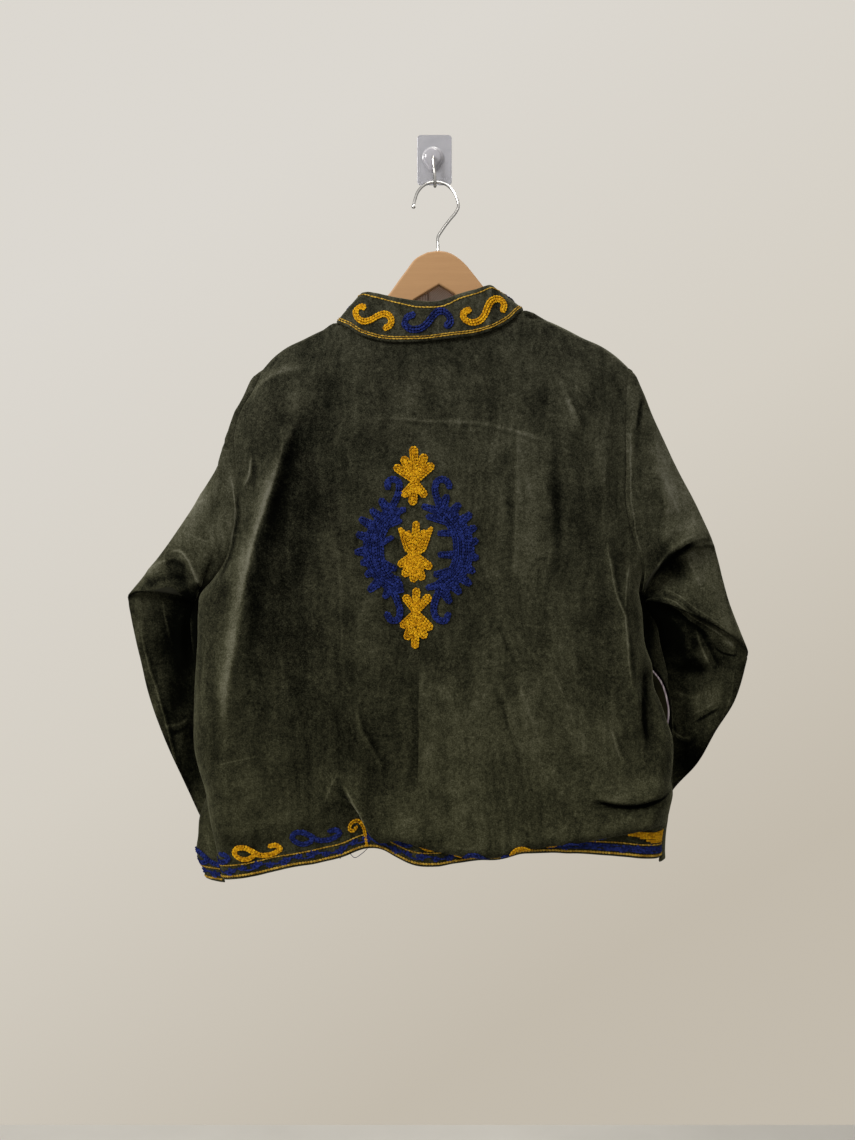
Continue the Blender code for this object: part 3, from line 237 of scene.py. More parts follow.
# Hanger: outline of the wood, clockwise from the top of its neck.
WOOD_TOP_RIGHT = [(4, -123), (16, -125), (27, -131), (37, -140), (46, -151), (57, -165), (70, -181), (84, -197), (97, -208), (112, -215),
                  (132, -222), (156, -232), (171, -240), (199, -254), (209, -262), (213, -270)]
WOOD_LOW_RIGHT = [(209, -281), (200, -281), (171, -266), (138, -251), (95, -233), (60, -208), (22, -173)]
WOOD_NOTCH = (5, -163)
WOOD_LOW_LEFT = [(-21, -179), (-60, -206), (-95, -232), (-133, -256), (-165, -276), (-186, -290)]
WOOD_TOP_LEFT = [(-197, -289), (-200, -278), (-192, -268), (-177, -256), (-155, -244), (-133, -233), (-113, -223), (-97, -212),
                 (-75, -192), (-53, -173), (-43, -159), (-34, -147), (-22, -132), (-9, -125)]
HOOK_PATH = [  # x, z, y: from the foot in the wood to the tip
    (4.0, -145.0, -46.0), (4.0, -135.0, -46.0), (4.0, -125.0, -46.0), (4.0, -116.0, -45.2), (4.2, -104.0, -42.0), (8.0, -97.0, -39.5),
    (17.0, -83.5, -35.0), (26.0, -71.0, -31.0), (28.3, -65.5, -29.2), (27.0, -55.0, -26.5), (22.0, -44.0, -23.0), (13.0, -35.5, -20.5), (0.5, -32.5, -19.0), (-11.0, -35.5, -20.0),
    (-19.5, -44.0, -21.5), (-23.5, -55.0, -23.5), (-25.5, -66.0, -25.0),
]
PIN_PATH = [  # x, z, y: from the boss, down, out under the wire and up
    (-1.7, 1.6, -8.5), (-1.7, 0.9, -10.2), (-1.6, -1.6, -11.3), (-1.2, -6.0, -11.8), (-0.2, -18.0, -11.6), (0.3, -29.0, -11.6), (0.5, -34.5, -13.4), (0.5, -37.0, -18.0),
    (0.5, -34.5, -22.8), (0.4, -28.5, -24.8), (-0.2, -20.0, -25.6),
]


# ------------------------------------------------------------------ curves
def smooth(knots, values, at):
    """A smooth curve through the values at rising knots."""
    k, v = np.asarray(knots, float), np.asarray(values, float)
    if k[0] > k[-1]:
        k, v = k[::-1], v[::-1]
    at = np.clip(np.asarray(at, float), k[0], k[-1])
    if len(k) == 2:
        slope = np.broadcast_to((v[1] - v[0]) / (k[1] - k[0]), v.shape)
    else:
        slope = np.gradient(v, k, axis=0)
    i = np.clip(np.searchsorted(k, at, side="right") - 1, 0, len(k) - 2)
    h = k[i + 1] - k[i]
    s = (at - k[i]) / h
    if v.ndim > 1:
        h, s = h[..., None], s[..., None]
    return (
        (2 * s**3 - 3 * s**2 + 1) * v[i]
        + (s**3 - 2 * s**2 + s) * h * slope[i]
        + (3 * s**2 - 2 * s**3) * v[i + 1]
        + (s**3 - s**2) * h * slope[i + 1]
    )


def column(table, n):
    return np.array([row[n] for row in table], float)


def read(table, at, *columns):
    """Columns of a table at places along its first column."""
    return smooth(column(table, 0), np.array([[row[c] for c in columns] for row in table], float), at)


def resample(points, shares):
    """Points at shares of the length of a polyline."""
    points = np.asarray(points, float)
    along = np.concatenate([[0], np.cumsum(np.linalg.norm(np.diff(points, axis=0), axis=1))])
    return np.stack([np.interp(np.asarray(shares) * along[-1], along, points[:, k]) for k in range(3)], -1)


def mix(a, b, t):
    return a + (b - a) * t


def round_fall(s):
    """0 at an edge, 1 one radius in, along a quarter circle."""
    s = np.clip(s, 0, 1)
    return np.sqrt(np.clip(1 - (1 - s) ** 2, 0, 1))


def soft_fall(s):
    return np.sin(np.clip(s, 0, 1) * math.pi / 2)


def ease(s):
    s = np.clip(s, 0, 1)
    return s * s * (3 - 2 * s)


def side_fall(inside, over_underarm):
    """1 at a side edge, 0 where the cloth hangs free. Along the armhole the fall is soft; below it the cloth rounds the side."""
    armhole_share = ease((over_underarm + 12) / 40)
    return 1 - mix(round_fall(inside / 34.0), soft_fall(inside / 44.0), armhole_share)


# ------------------------------------------------------------------ the back panel
LEFT_TIP_X, RIGHT_TIP_X = BACK_TOP["left_shoulder"][0][0], BACK_TOP["right_shoulder"][-1][0]


def back_top(u):
    """z and y of the panel's top edge at shares u of the way from the left shoulder tip to the right."""
    x = mix(LEFT_TIP_X, RIGHT_TIP_X, np.asarray(u, float))
    z, y = np.zeros_like(x), np.zeros_like(x)
    for part, low, high in (("left_shoulder", -1e9, -110), ("neck", -110, 98), ("right_shoulder", 98, 1e9)):
        here = (x >= low) & (x <= high)
        z[here], y[here] = read(BACK_TOP[part], x[here], 1, 2).T
    return z, y


def at_x(x):
    """Share u of a place on the top edge."""
    return (x - LEFT_TIP_X) / (RIGHT_TIP_X - LEFT_TIP_X)


def tuck_lines(u):
    """z of the bulge's edge, z of the hem, and how much of the tuck is there."""
    x = mix(-250.0, 263.0, u)
    edge, tuck = read(TUCK_EDGE, x, 1, 2).T
    hem = read(HEM, x, 1)[:, 0]
    return edge, hem, np.clip(tuck, 0, 1)


def fold_relief(x, z, folds):
    """How far ridges and troughs move the cloth towards the viewer."""
    out = np.zeros_like(x)
    for x1, z1, x2, z2, half, height in folds:
        dx, dz = x2 - x1, z2 - z1
        length = math.hypot(dx, dz)
        t = ((x - x1) * dx + (z - z1) * dz) / length**2
        off = ((x - x1) * dz - (z - z1) * dx) / length
        ends = ease((t + 0.12) / 0.32) * ease((1.12 - t) / 0.32)
        out += height * np.exp(-((off / half) ** 2)) * ends
    return out


def back_rows(u, r):
    """Plain rows r from 0 (top edge) to 1 (just over the bulge), then the stations of the tuck up to the hem."""
    u = np.asarray(u, float)
    edge, hem, tuck = tuck_lines(u)
    stations = []
    for name, share, rise, y in TUCK_STATIONS:
        plain = edge - share * (edge - hem)
        top = edge + 17.0
        tucked = edge + rise if rise is not None else mix(top, hem, 0.5 if name == "lay" else 1.0)
        stations.append((mix(plain, tucked, tuck), np.where(True, tuck, 0), y))
    r = np.asarray(r, float)
    z = np.zeros((len(r), len(u)))
    mid = np.zeros_like(z)  # y of the tuck's station, and how much of it counts
    top_z, _ = back_top(u)
    first = stations[0][0]
    v = np.clip(r, 0, 1)[:, None]
    z_left, z_right = mix(top_z[0], first[0], v), mix(top_z[-1], first[-1], v)
    plain = mix(z_left, z_right, u) + (1 - v) * (top_z - mix(top_z[0], top_z[-1], u)) + v * (first - mix(first[0], first[-1], u))
    heights = np.array([s[0] for s in stations])
    depths = np.array([s[2] for s in stations])
    over = np.clip(r - 1, 0, len(stations) - 1)
    knots = np.arange(len(stations), dtype=float)
    lower = smooth(knots, heights, over)
    z = np.where((r <= 1)[:, None], plain, lower)
    mid = smooth(knots, depths, over)[:, None] * np.ones(len(u))
    return z, mid, tuck


def back_surface(u, r, folds=BACK_FOLDS):
    """Grid of points of the back's middle surface, rows r by columns u."""
    u = np.asarray(u, float)
    r = np.asarray(r, float)
    z, mid, tuck = back_rows(u, r)
    left = read(BACK_LEFT, z[:, 0], 1, 2)
    right = read(BACK_RIGHT, z[:, -1], 1, 2)
    x = mix(left[:, :1], right[:, :1], u)
    across = np.array([smooth(column(BACK_DEPTH, 0), column(BACK_DEPTH, k), z) for k in range(1, 6)])
    belly = np.zeros_like(z)
    slope = np.gradient(across, np.array(BACK_ACROSS), axis=0)
    uc = np.clip(u, BACK_ACROSS[0], BACK_ACROSS[-1])
    i = np.clip(np.searchsorted(BACK_ACROSS, uc, side="right") - 1, 0, 3)
    knots = np.array(BACK_ACROSS)
    h = knots[i + 1] - knots[i]
    s = (uc - knots[i]) / h
    rows, cols = np.indices(z.shape)
    pick = lambda a, j: a[j[None, :].repeat(len(z), 0), rows, cols]  # noqa: E731
    belly = (
        (2 * s**3 - 3 * s**2 + 1) * pick(across, i)
        + (s**3 - 2 * s**2 + s) * h * pick(slope, i)
        + (3 * s**2 - 2 * s**3) * pick(across, i + 1)
        + (s**3 - s**2) * h * pick(slope, i + 1)
    )
    # The tuck takes over from the plain hang near the bulge.
    edge = tuck_lines(u)[0]
    near = ease((edge + 95 - z) / 90) * tuck
    near = np.where((r >= 1)[:, None], tuck * np.ones_like(near), near)
    belly = mix(belly, np.where((r >= 1)[:, None], mid, TUCK_STATIONS[0][3]), near)
    # The crease low at the right: the cloth over its lip stands out, the cloth under it goes back.
    lip, step = read(CREASE, x.ravel(), 1, 2).T.reshape(2, *x.shape)
    step = np.where((x > CREASE[0][0]) & (x < CREASE[-1][0]), step, 0) * (r < 1)[:, None]
    belly -= step * (0.75 * np.exp(-(((z - lip - 7) / 11) ** 2)) - 0.9 * np.exp(-(((z - lip + 7) / 7) ** 2)))
    belly -= fold_relief(x, z, folds) * (1 - near)
    # Round away to the edges.
    side_l = side_fall(x - left[:, :1], z[:, :1] - UNDERARM_LEFT_Z)
    side_r = side_fall(right[:, :1] - x, z[:, -1:] - UNDERARM_RIGHT_Z)
    top_z, top_y = back_top(u)
    over = 1 - soft_fall((top_z - z) / 36.0)
    corner_l, corner_r = top_y[0] - belly, top_y[-1] - belly
    y = (
        belly
        + side_l * (left[:, 1:] - belly)
        + side_r * (right[:, 1:] - belly)
        + over * (top_y - belly)
        - side_l * over * corner_l
        - side_r * over * corner_r
    )
    return np.stack([x, y, z], -1)


def edge_height(left_side, r):
    """z of the back's side edge at rows r."""
    z = back_rows(np.array([0.0, 1.0]), np.asarray(r, float))[0]
    return z[:, 0] if left_side else z[:, 1]


def spread(first, last, count, power=1.0):
    """Shares from first to last, closer together near both ends where power is over 1."""
    s = np.linspace(0, 1, count)
    if power != 1.0:
        s = np.where(s < 0.5, 0.5 * (2 * s) ** power, 1 - 0.5 * (2 * (1 - s)) ** power)
    return first + (last - first) * s


ARMHOLE_STEPS = 12  # from the shoulder tip to the underarm
UNDERARM_ROW = 0.514
ARMHOLE_ROWS = spread(0, UNDERARM_ROW, ARMHOLE_STEPS + 1, 1.35)
SIDE_ROWS = spread(UNDERARM_ROW, 1.0, 9)[1:]
TUCK_ROWS = np.arange(2.0, 8.0)


def front_rows(left_side):
    """Shares down a front: its armhole in as many steps as the back's, then the heights of the back's rows."""
    _, _, side, _, _ = front_tables(left_side)
    top, low = side[0][0], side[-1][0]
    under = (UNDERARM_LEFT_Z if left_side else UNDERARM_RIGHT_Z) - top
    below = (edge_height(left_side, np.concatenate([SIDE_ROWS, [3.0, 5.0]])) - top) / (low - top)
    return spread(0, under / (low - top), ARMHOLE_STEPS - 1, 1.3), np.concatenate([below, [1.0]])


# ------------------------------------------------------------------ the fronts
def front_tables(left_side):
    if left_side:
        return FRONT_LEFT_TOP, NECK_LEFT, FRONT_LEFT_SIDE, FRONT_HEM_LEFT, -1.0
    return FRONT_RIGHT_TOP, NECK_RIGHT, FRONT_RIGHT_SIDE, FRONT_HEM_RIGHT, 1.0


def front_top(left_side, x):
    """The three top rows of a front at places x: shoulder seam and neck edge, ridge, wall side."""
    top, neck, _, _, out = front_tables(left_side)
    x = np.asarray(x, float)
    seam_z, seam_y = back_top(at_x(x))
    neck_z, neck_y = read(neck, x, 1, 2).T
    shoulder = x * out >= neck[0][0] * out
    z = np.where(shoulder, seam_z + 0.3, neck_z)
    y = np.where(shoulder, seam_y + 1.3, neck_y)
    rows = [np.stack([x, y, z], -1)]
    for k in (1, 3):
        zc, yc = read(top, x, k, k + 1).T
        rows.append(np.stack([x, yc, zc], -1))
    return rows


def front_surface(left_side, x_top, turn, rows):
    """Grid of a front's middle surface. x_top = x of its columns along the top, from the shoulder tip to the centre front;
    turn = shares of the turn at the side seam for its first columns; rows = shares from the wall side row down to the hem."""
    top, _, side, hem, out = front_tables(left_side)
    x_top = np.asarray(x_top, float)
    share = (x_top - x_top[0]) / (x_top[-1] - x_top[0])
    turn = np.concatenate([turn, np.ones(len(x_top) - len(turn))])
    last = share[np.argmax(turn >= 1)]
    rest = np.clip((share - last) / (1 - last), 0, 1)
    seam, ridge, wall = front_top(left_side, x_top)
    grid = [seam, ridge]
    wall_z, wall_y = wall[:, 2], wall[:, 1]
    wall_z = wall_z - wall_z[0] + side[0][0]
    hem_x = mix(hem[0][0], x_top[-1], share)
    hem_z = read(hem, hem_x, 1)[:, 0]
    for v in rows:
        ze = mix(wall_z[0], side[-1][0], v)
        sx, sy, reach, width = read(side, np.array([ze]), 1, 2, 3, 4)[0]
        z = mix(ze, mix(wall_z[-1], hem_z[-1], v), share)
        z = z + (1 - v) * (wall_z - mix(wall_z[0], wall_z[-1], share)) + v * (hem_z - mix(hem_z[0], hem_z[-1], share))
        deep = read(FRONT_DEPTH, z, 1)[:, 0]
        bulge = reach + 0.2 * width * min(1.0, reach / 8.0)
        bend = mix(2.0, 1.15, float(ease((ze - (UNDERARM_LEFT_Z if left_side else UNDERARM_RIGHT_Z) + 12) / 40)))
        xs = sx + out * (bulge * np.sin(math.pi * turn) - width * turn**bend)
        x = np.where(rest > 0, mix(sx - out * width, x_top[-1], rest), xs)
        y = np.where(rest > 0, deep, sy + (deep - sy) * np.sin(turn * math.pi / 2))
        near_top = 1 - ease(v / 0.06)
        y = mix(y, np.minimum(y, wall_y), near_top)
        x = mix(x, x_top, near_top)
        grid.append(np.stack([x, y, z], -1))
    return np.array(grid)


# ------------------------------------------------------------------ the sleeves
def armhole(left_side):
    """The armhole's back edge and front edge from the shoulder tip to the underarm, at the panels' own rows, each with the
    direction away from the body (square to the edge as seen from the back) and the share of the way down."""
    table, low, side, out = (
        (BACK_LEFT, UNDERARM_LEFT_Z, FRONT_LEFT_SIDE, -1.0) if left_side else (BACK_RIGHT, UNDERARM_RIGHT_Z, FRONT_RIGHT_SIDE, 1.0)
    )
    z = edge_height(left_side, ARMHOLE_ROWS)
    xy = read(table, z, 1, 2)
    back = np.stack([xy[:, 0], xy[:, 1], z], -1)
    z = mix(side[0][0], side[-1][0], front_rows(left_side)[0])
    xy = read(side, z, 1, 2)
    tips = [row[0] for row in front_top(left_side, np.array([table[0][1], table[0][1] - out * 5.0]))[:2]]
    front = np.concatenate([tips, np.stack([xy[:, 0], xy[:, 1], z], -1)])
    back[0] = front[0] = (back[0] + front[0]) / 2
    back[-1] = front[-1] = (back[-1] + front[-1]) / 2
    edges = []
    for line in (back, front):
        ahead = np.gradient(line, axis=0)
        away = np.stack([-out * ahead[:, 2], np.zeros(len(ahead)), out * ahead[:, 0]], -1)
        away /= np.maximum(np.linalg.norm(away, axis=1, keepdims=True), 1e-9)
        along = np.concatenate([[0], np.cumsum(np.linalg.norm(np.diff(line, axis=0), axis=1))])
        edges.append((line, away, along / along[-1]))
    return edges


def sleeve_surface(left_side):
    """Grid of a sleeve's middle surface: rings by places round the ring, from the shoulder over the back's side to the
    underarm and back along the wall side."""
    rows = SLEEVE_LEFT if left_side else SLEEVE_RIGHT
    out = -1.0 if left_side else 1.0
    (back, back_away, back_share), (front, front_away, front_share) = armhole(left_side)
    front, front_away, front_share = (a[-2:0:-1] for a in (front, front_away, front_share))
    hole, away = np.concatenate([back, front]), np.concatenate([back_away, front_away])
    h = np.concatenate([back_share, front_share])
    seen = np.arange(len(h)) <= ARMHOLE_STEPS
    round_ = 2 * np.sqrt(h * (1 - h))
    start = hole + away * SEAM_GAP * 2.7
    near = start + away * 5.0
    grid = [start]
    for row in rows:
        p = dict(zip(SLEEVE_COLUMNS, row))
        o, i = np.array([p["ox"], p["oy"], p["oz"]], float), np.array([p["ix"], p["iy"], p["iz"]], float)
        line = o + (i - o) * h[:, None]
        line[:, 1] += np.where(seen, -p["front"], p["back"]) * round_**0.75
        across = (i - o)[[0, 2]] / np.linalg.norm((i - o)[[0, 2]])
        up = np.array([-across[1], across[0]])
        up = up if up[1] > 0 else -up
        lift = np.where(seen, p["bow"], 0) * round_
        line[:, 0] += up[0] * lift
        line[:, 2] += up[1] * lift
        grid.append(mix(line, near, p["hug"]))
    return np.array(grid)


# ------------------------------------------------------------------ collar and pocket
def collar_surface(along, up):
    base = np.array([(r[0], r[2], r[1]) for r in COLLAR], float)
    top = np.array([(r[3], r[5], r[4]) for r in COLLAR], float)
    knots = np.arange(len(COLLAR), dtype=float)
    at = np.asarray(along) * (len(COLLAR) - 1)
    b, t = smooth(knots, base, at), smooth(knots, top, at)
    return np.array([mix(b, t, s) for s in up])


def pocket_surface(rows, across):
    grid = []
    knots = column(POCKET, 0)
    for z in rows:
        xb, xf, xi, yb, yf = smooth(knots, np.array([r[1:] for r in POCKET], float), np.array([z]))[0]
        line = []
        for s in across:  # 0 = back edge, 0.5 = inner fold, 1 = front edge
            if s <= 0.5:
                k = s * 2
                line.append((mix(xb, xi, k), mix(yb, (yb + yf) / 2, max(0.0, (k - 0.86) / 0.14) ** 2), z))
            else:
                k = 2 - s * 2
                line.append((mix(xf, xi, k), mix(yf, (yb + yf) / 2, max(0.0, (k - 0.86) / 0.14) ** 2), z))
        grid.append(line)
    return np.array(grid, float)


def normals(grid):
    du, dv = np.gradient(grid, axis=1), np.gradient(grid, axis=0)
    n = np.cross(du, dv)
    return n / np.maximum(np.linalg.norm(n, axis=-1, keepdims=True), 1e-9)

def rounded_rectangle(width, height, radius, each=4):
    outline = []
    for cx, cz, start in ((1, 1, 0), (-1, 1, 90), (-1, -1, 180), (1, -1, 270)):
        for k in range(each + 1):
            angle = math.radians(start + 90 * k / each)
            outline.append((cx * (width / 2 - radius) + radius * math.cos(angle), cz * (height / 2 - radius) + radius * math.sin(angle)))
    return outline




# ------------------------------------------------------------------ fine sizes, mm
SHELL = 1.5  # velvet at a cut or sewn edge
HEM_SHELL = 2.8  # the turned hem
BACK_COLUMNS, BACK_ROWS, STATION_ROWS = 188, 196, 7
FRONT_STEP, SLEEVE_STEP, RING_STEPS = 4.4, 4.3, 60

# Under the arms the fine cloth hangs closer to the body than two solids may.
FRONT_LEFT_SIDE[7:10] = [(-526, -276.5, -49.0, 2, 26), (-545, -279, -49.0, 8, 26), (-575, -279.5, -49.0, 8, 26), (-634, -281.5, -49.0, 0, 26)]
FRONT_RIGHT_SIDE[7:12] = [
    (-521, 239, -49.0, 3, 26), (-530, 240.5, -49.0, 8, 26), (-538, 242, -49.0, 11, 26), (-549, 243, -49.0, 14, 26), (-558, 244, -49.0, 17, 25), (-570, 245, -49.0, 19, 24),
]
for _row, _edge in ((6, (-279.8, -533, -48)), (7, (-279.4, -536, -47)), (8, (-279.0, -544, -41)), (9, (-278.0, -560, -30))):
    SLEEVE_LEFT[_row] = (*SLEEVE_LEFT[_row][:3], *_edge, *SLEEVE_LEFT[_row][6:])
for _row, _edge in ((8, (249.0, -537, -48)), (9, (250.0, -542, -46)), (10, (252.0, -552, -39)), (11, (255.0, -565, -28))):
    SLEEVE_RIGHT[_row] = (*SLEEVE_RIGHT[_row][:3], *_edge, *SLEEVE_RIGHT[_row][6:])
# The forearms stand out a little further.
for _rows, _out, _middle in ((SLEEVE_LEFT, -7.5, -660.0), (SLEEVE_RIGHT, 9.5, -645.0)):
    for _k, _row in enumerate(_rows):
        if _row[1] < -570:
            _rows[_k] = (_row[0] + _out * math.exp(-(((_row[1] - _middle) / 60.0) ** 2)), *_row[1:])
SLEEVE_RIGHT.insert(6, (330.5, -476, -45, 247.2, -529.6, -49, 9, 14, 24, 0.0))

# Creases too fine for the solids. Each runs through a few places (x, z) as seen from the back. half = half width,
# rise = height of its crest (a trough is under 0), hard = 0 for a soft roll to 1 for a pressed line, pile_and_shade =
# painted light along it (over 0 a painted highlight on the crest, under 0 painted shade in the trough), lean = width
# of its left side against its right side.
# The fronts' part of the stand sits a little lower than the back's edge.
for place, lower in ((1, 3.0), (2, 7.0), (3, 6.0), (4, 2.0)):
    COLLAR[place] = (*COLLAR[place][:4], COLLAR[place][4] - lower, COLLAR[place][5])

BACK_CREASES = [  # path, half, rise, hard, pile_and_shade, lean
    ([(-164, -325), (-178, -368), (-190, -410), (-200, -440), (-210, -474), (-218, -510), (-225, -560), (-233, -596), (-239, -640), (-244, -700)], 5.0, 2.6, 0.2, 0.55, 2.6),
    ([(-146, -300), (-156, -335), (-168, -378), (-182, -424), (-195, -474), (-204, -520), (-210, -566), (-219, -620)], 13, -2.8, 0.0, -0.40, 0.5),
    ([(-97, -323), (-40, -325), (0, -327.5), (60, -331), (88, -338), (128, -348), (172, -353)], 2.6, 0.8, 0.5, 0.2, 1.0),
    ([(94, -319), (94, -400), (92, -460), (90, -530)], 2.6, 0.7, 0.6, 0.1, 1.0),
    ([(-19, -598), (-19, -670), (-20, -760)], 3.4, 1.1, 0.7, 0.0, 1.0),
    ([(194, -452), (203, -503), (208, -528), (217, -547), (219, -562), (221, -591), (225, -634)], 4.0, 2.6, 0.5, 0.2, 1.0),
    ([(225, -489), (220, -513), (218, -540)], 3.6, 2.0, 0.4, 0.2, 1.0),
    ([(241, -612), (240, -650), (243, -700)], 6, -2.2, 0.0, -0.25, 1.0),
    ([(196, -298), (192, -350), (186, -422)], 10, 2.2, 0.0, 0.2, 1.0),
    ([(141, -275), (158, -307), (169, -337)], 4, 1.6, 0.3, 0.2, 1.0),
    ([(138, -383), (141, -430), (136, -476)], 8, -2.0, 0.0, -0.3, 1.0),
    ([(65, -613), (78, -648), (87, -683), (91, -727), (91, -758)], 5, 1.6, 0.2, 0.12, 1.6),
    ([(86, -546), (100, -632), (110, -694)], 9, 1.9, 0.1, 0.2, 1.0),
    ([(124, -584), (148, -655), (176, -726)], 9, 1.7, 0.1, 0.15, 1.0),
    ([(162, -600), (190, -680)], 12, -1.6, 0.0, -0.12, 1.0),
    ([(187, -670), (200, -696), (209, -716)], 4, 1.6, 0.3, 0.2, 1.0),
    ([(-212, -366), (-214, -389), (-222, -404)], 2.8, 2.4, 0.6, 0.4, 1.0),
    ([(-145, -262), (-172, -266), (-200, -279), (-216, -303)], 6, 1.3, 0.0, 0.35, 1.0),
    ([(-105, -740), (-93, -762), (-84, -780), (-78, -800)], 4.0, 3.2, 0.5, 0.3, 0.7),
    ([(-120, -760), (-104, -778), (-94, -798)], 8, -2.8, 0.0, -0.45, 1.0),
    ([(-110, -727), (-121, -749), (-125, -766)], 3, 1.6, 0.4, 0.2, 1.0),
    ([(-136, -787), (-110, -776), (-99, -772)], 2.6, 1.0, 0.3, 0.3, 1.0),
    ([(-93, -640), (-84, -683), (-66, -714), (-60, -740)], 4, 1.6, 0.3, 0.15, 1.5),
    ([(-150, -640), (-146, -700), (-150, -760)], 14, -2.0, 0.0, -0.1, 1.0),
    ([(20, -640), (34, -700), (40, -770)], 13, 1.6, 0.0, 0.1, 1.0),
    ([(178, -760), (205, -767), (231, -767), (262, -757)], 3.2, -3.4, 0.5, -0.9, 1.0),
    ([(172, -748), (210, -754), (245, -750)], 7, 1.8, 0.0, 0.2, 1.0),
    ([(120, -250), (148, -300), (160, -352)], 13, 1.6, 0.0, 0.1, 1.0),
    ([(-128, -250), (-150, -290), (-164, -332)], 12, 1.4, 0.0, 0.15, 1.0),
]
# Painted highlights and painted shade along crease edges thinner than the mesh: path, width towards left or below,
# width towards right or above, light (over 0 a painted highlight, under 0 painted shade).
BACK_PAINTED_LINES = [
    ([(-165, -324), (-178, -368), (-190, -410), (-200, -440), (-210, -474), (-218, -510), (-226, -560)], 4.0, 2.0, 0.68),
    ([(-176, -360), (-192, -410), (-212, -474), (-220, -510), (-229, -560)], 14.0, 4.0, 0.30),
    ([(-226, -540), (-232, -590), (-238, -630), (-243, -690)], 6.5, 4.0, 0.60),
    ([(-149, -298), (-158, -327), (-168, -359), (-181, -396), (-193, -440), (-203, -478), (-212, -515), (-219, -560)], 4.5, 15.0, -0.38),
    ([(-212, -362), (-214, -389), (-223, -406)], 1.2, 1.3, 0.85),
    ([(-231, -380), (-228.5, -416), (-230, -445), (-237, -478), (-251, -508), (-268, -525)], 1.3, 3.5, -0.70),
    ([(222, -322), (221.5, -380), (222, -420), (226, -446), (237, -482), (243, -500)], 3.0, 1.2, -0.60),
    ([(-208, -366), (-210, -389), (-218, -404)], 1.5, 3.5, -0.40),
    ([(-97, -321), (-40, -323.5), (0, -326.5), (60, -330), (88, -337), (128, -347), (172, -352)], 1.8, 2.2, 0.25),
    ([(-97, -325), (-40, -327.5), (0, -331), (60, -334.5), (88, -341), (128, -351), (172, -356)], 2.6, 1.2, -0.13),
    ([(-60, -331), (0, -335), (60, -339), (100, -347)], 1.6, 1.6, 0.10),
    ([(95, -315), (94, -400), (92, -460), (90, -530)], 1.0, 6.0, 0.32),
    ([(91, -315), (90, -400), (88, -460), (86, -530)], 6.0, 1.0, -0.22),
    ([(139, -270), (154, -305), (164, -338)], 3.2, 3.2, 0.36),
    ([(162, -274), (163, -303)], 1.8, 1.8, 0.40),
    ([(150, -284), (163, -316), (174, -344)], 2.0, 6.0, -0.34),
    ([(194, -450), (203.5, -503), (208, -528), (217, -547), (219, -562), (220.5, -591), (225, -634), (226, -660)], 1.1, 1.2, 0.72),
    ([(198, -450), (207.5, -503), (212, -528), (221, -551), (223, -566), (224.5, -595), (229, -634), (230, -655)], 1.2, 3.5, -0.36),
    ([(226, -486), (220.5, -513), (218, -537), (217.5, -551)], 1.1, 1.2, 0.60),
    ([(244, -598), (241, -640), (240, -670), (244, -708)], 2.5, 5.0, -0.75),
    ([(84, -560), (130, -563), (166, -562)], 1.6, 1.6, 0.20),
    ([(-110, -466), (-108, -530), (-105, -608), (-105.5, -656)], 1.6, 1.6, 0.17),
    ([(-113, -466), (-111, -530), (-108, -608), (-108.5, -656)], 5.0, 1.4, -0.16),
    ([(-124, -398), (-120, -440), (-118, -470)], 1.2, 1.2, 0.22),
    ([(-93, -636), (-84, -683), (-66, -714), (-59, -744)], 1.9, 2.0, 0.26),
    ([(-89, -636), (-80, -683), (-62, -714), (-55, -744)], 1.2, 6.0, -0.26),
    ([(-19.5, -590), (-19.5, -670), (-20.5, -765)], 14.0, 0.8, -0.34),
    ([(-18.0, -590), (-18.0, -670), (-19.0, -765)], 0.8, 16.0, 0.32),
    ([(-107, -736), (-93, -762), (-84, -780), (-77, -804)], 1.5, 1.8, 0.80),
    ([(-111, -736), (-98, -762), (-89, -780), (-82, -800)], 7.0, 1.5, -0.75),
    ([(-109, -724), (-121, -749), (-126, -768)], 1.4, 1.4, 0.50),
    ([(-138, -788), (-110, -776), (-97, -771)], 1.5, 1.5, 0.42),
    ([(-264, -726), (-228, -716), (-194, -709)], 1.1, 1.3, 0.36),
    ([(75, -550), (90, -587), (102, -613)], 2.0, 3.0, 0.24),
    ([(69, -552), (83, -588), (97, -616)], 2.2, 2.4, -0.34),
    ([(88, -563), (104, -586), (126, -611)], 2.2, 3.0, 0.24),
    ([(69, -612), (84, -655), (97, -702), (103, -734)], 2.2, 4.0, 0.22),
    ([(63, -612), (77, -656), (91, -702), (98, -734)], 4.0, 2.0, -0.34),
    ([(90, -612), (109, -664), (124, -708)], 2.2, 2.6, 0.22),
    ([(122, -590), (146, -640), (168, -700)], 1.6, 2.0, 0.26),
    ([(199, -676), (206, -697), (214, -718)], 1.2, 1.4, 0.50),
    ([(203, -676), (210, -697), (218, -718)], 1.0, 4.0, -0.35),
    ([(172, -756), (205, -766), (231, -767), (262, -758), (284, -746)], 1.8, 2.6, -1.20),
    ([(180, -754), (208, -761), (232, -760), (260, -750)], 1.4, 5.0, 0.35),
    ([(-150, -264), (-172, -267), (-200, -280), (-217, -304)], 1.8, 4.0, 0.40),
    ([(118, -770), (136, -780), (150, -792)], 1.4, 1.6, 0.26),
    ([(86, -772), (100, -786), (112, -800)], 1.3, 1.5, 0.22),
    ([(236, -302), (234, -345)], 1.4, 1.4, 0.60),
]
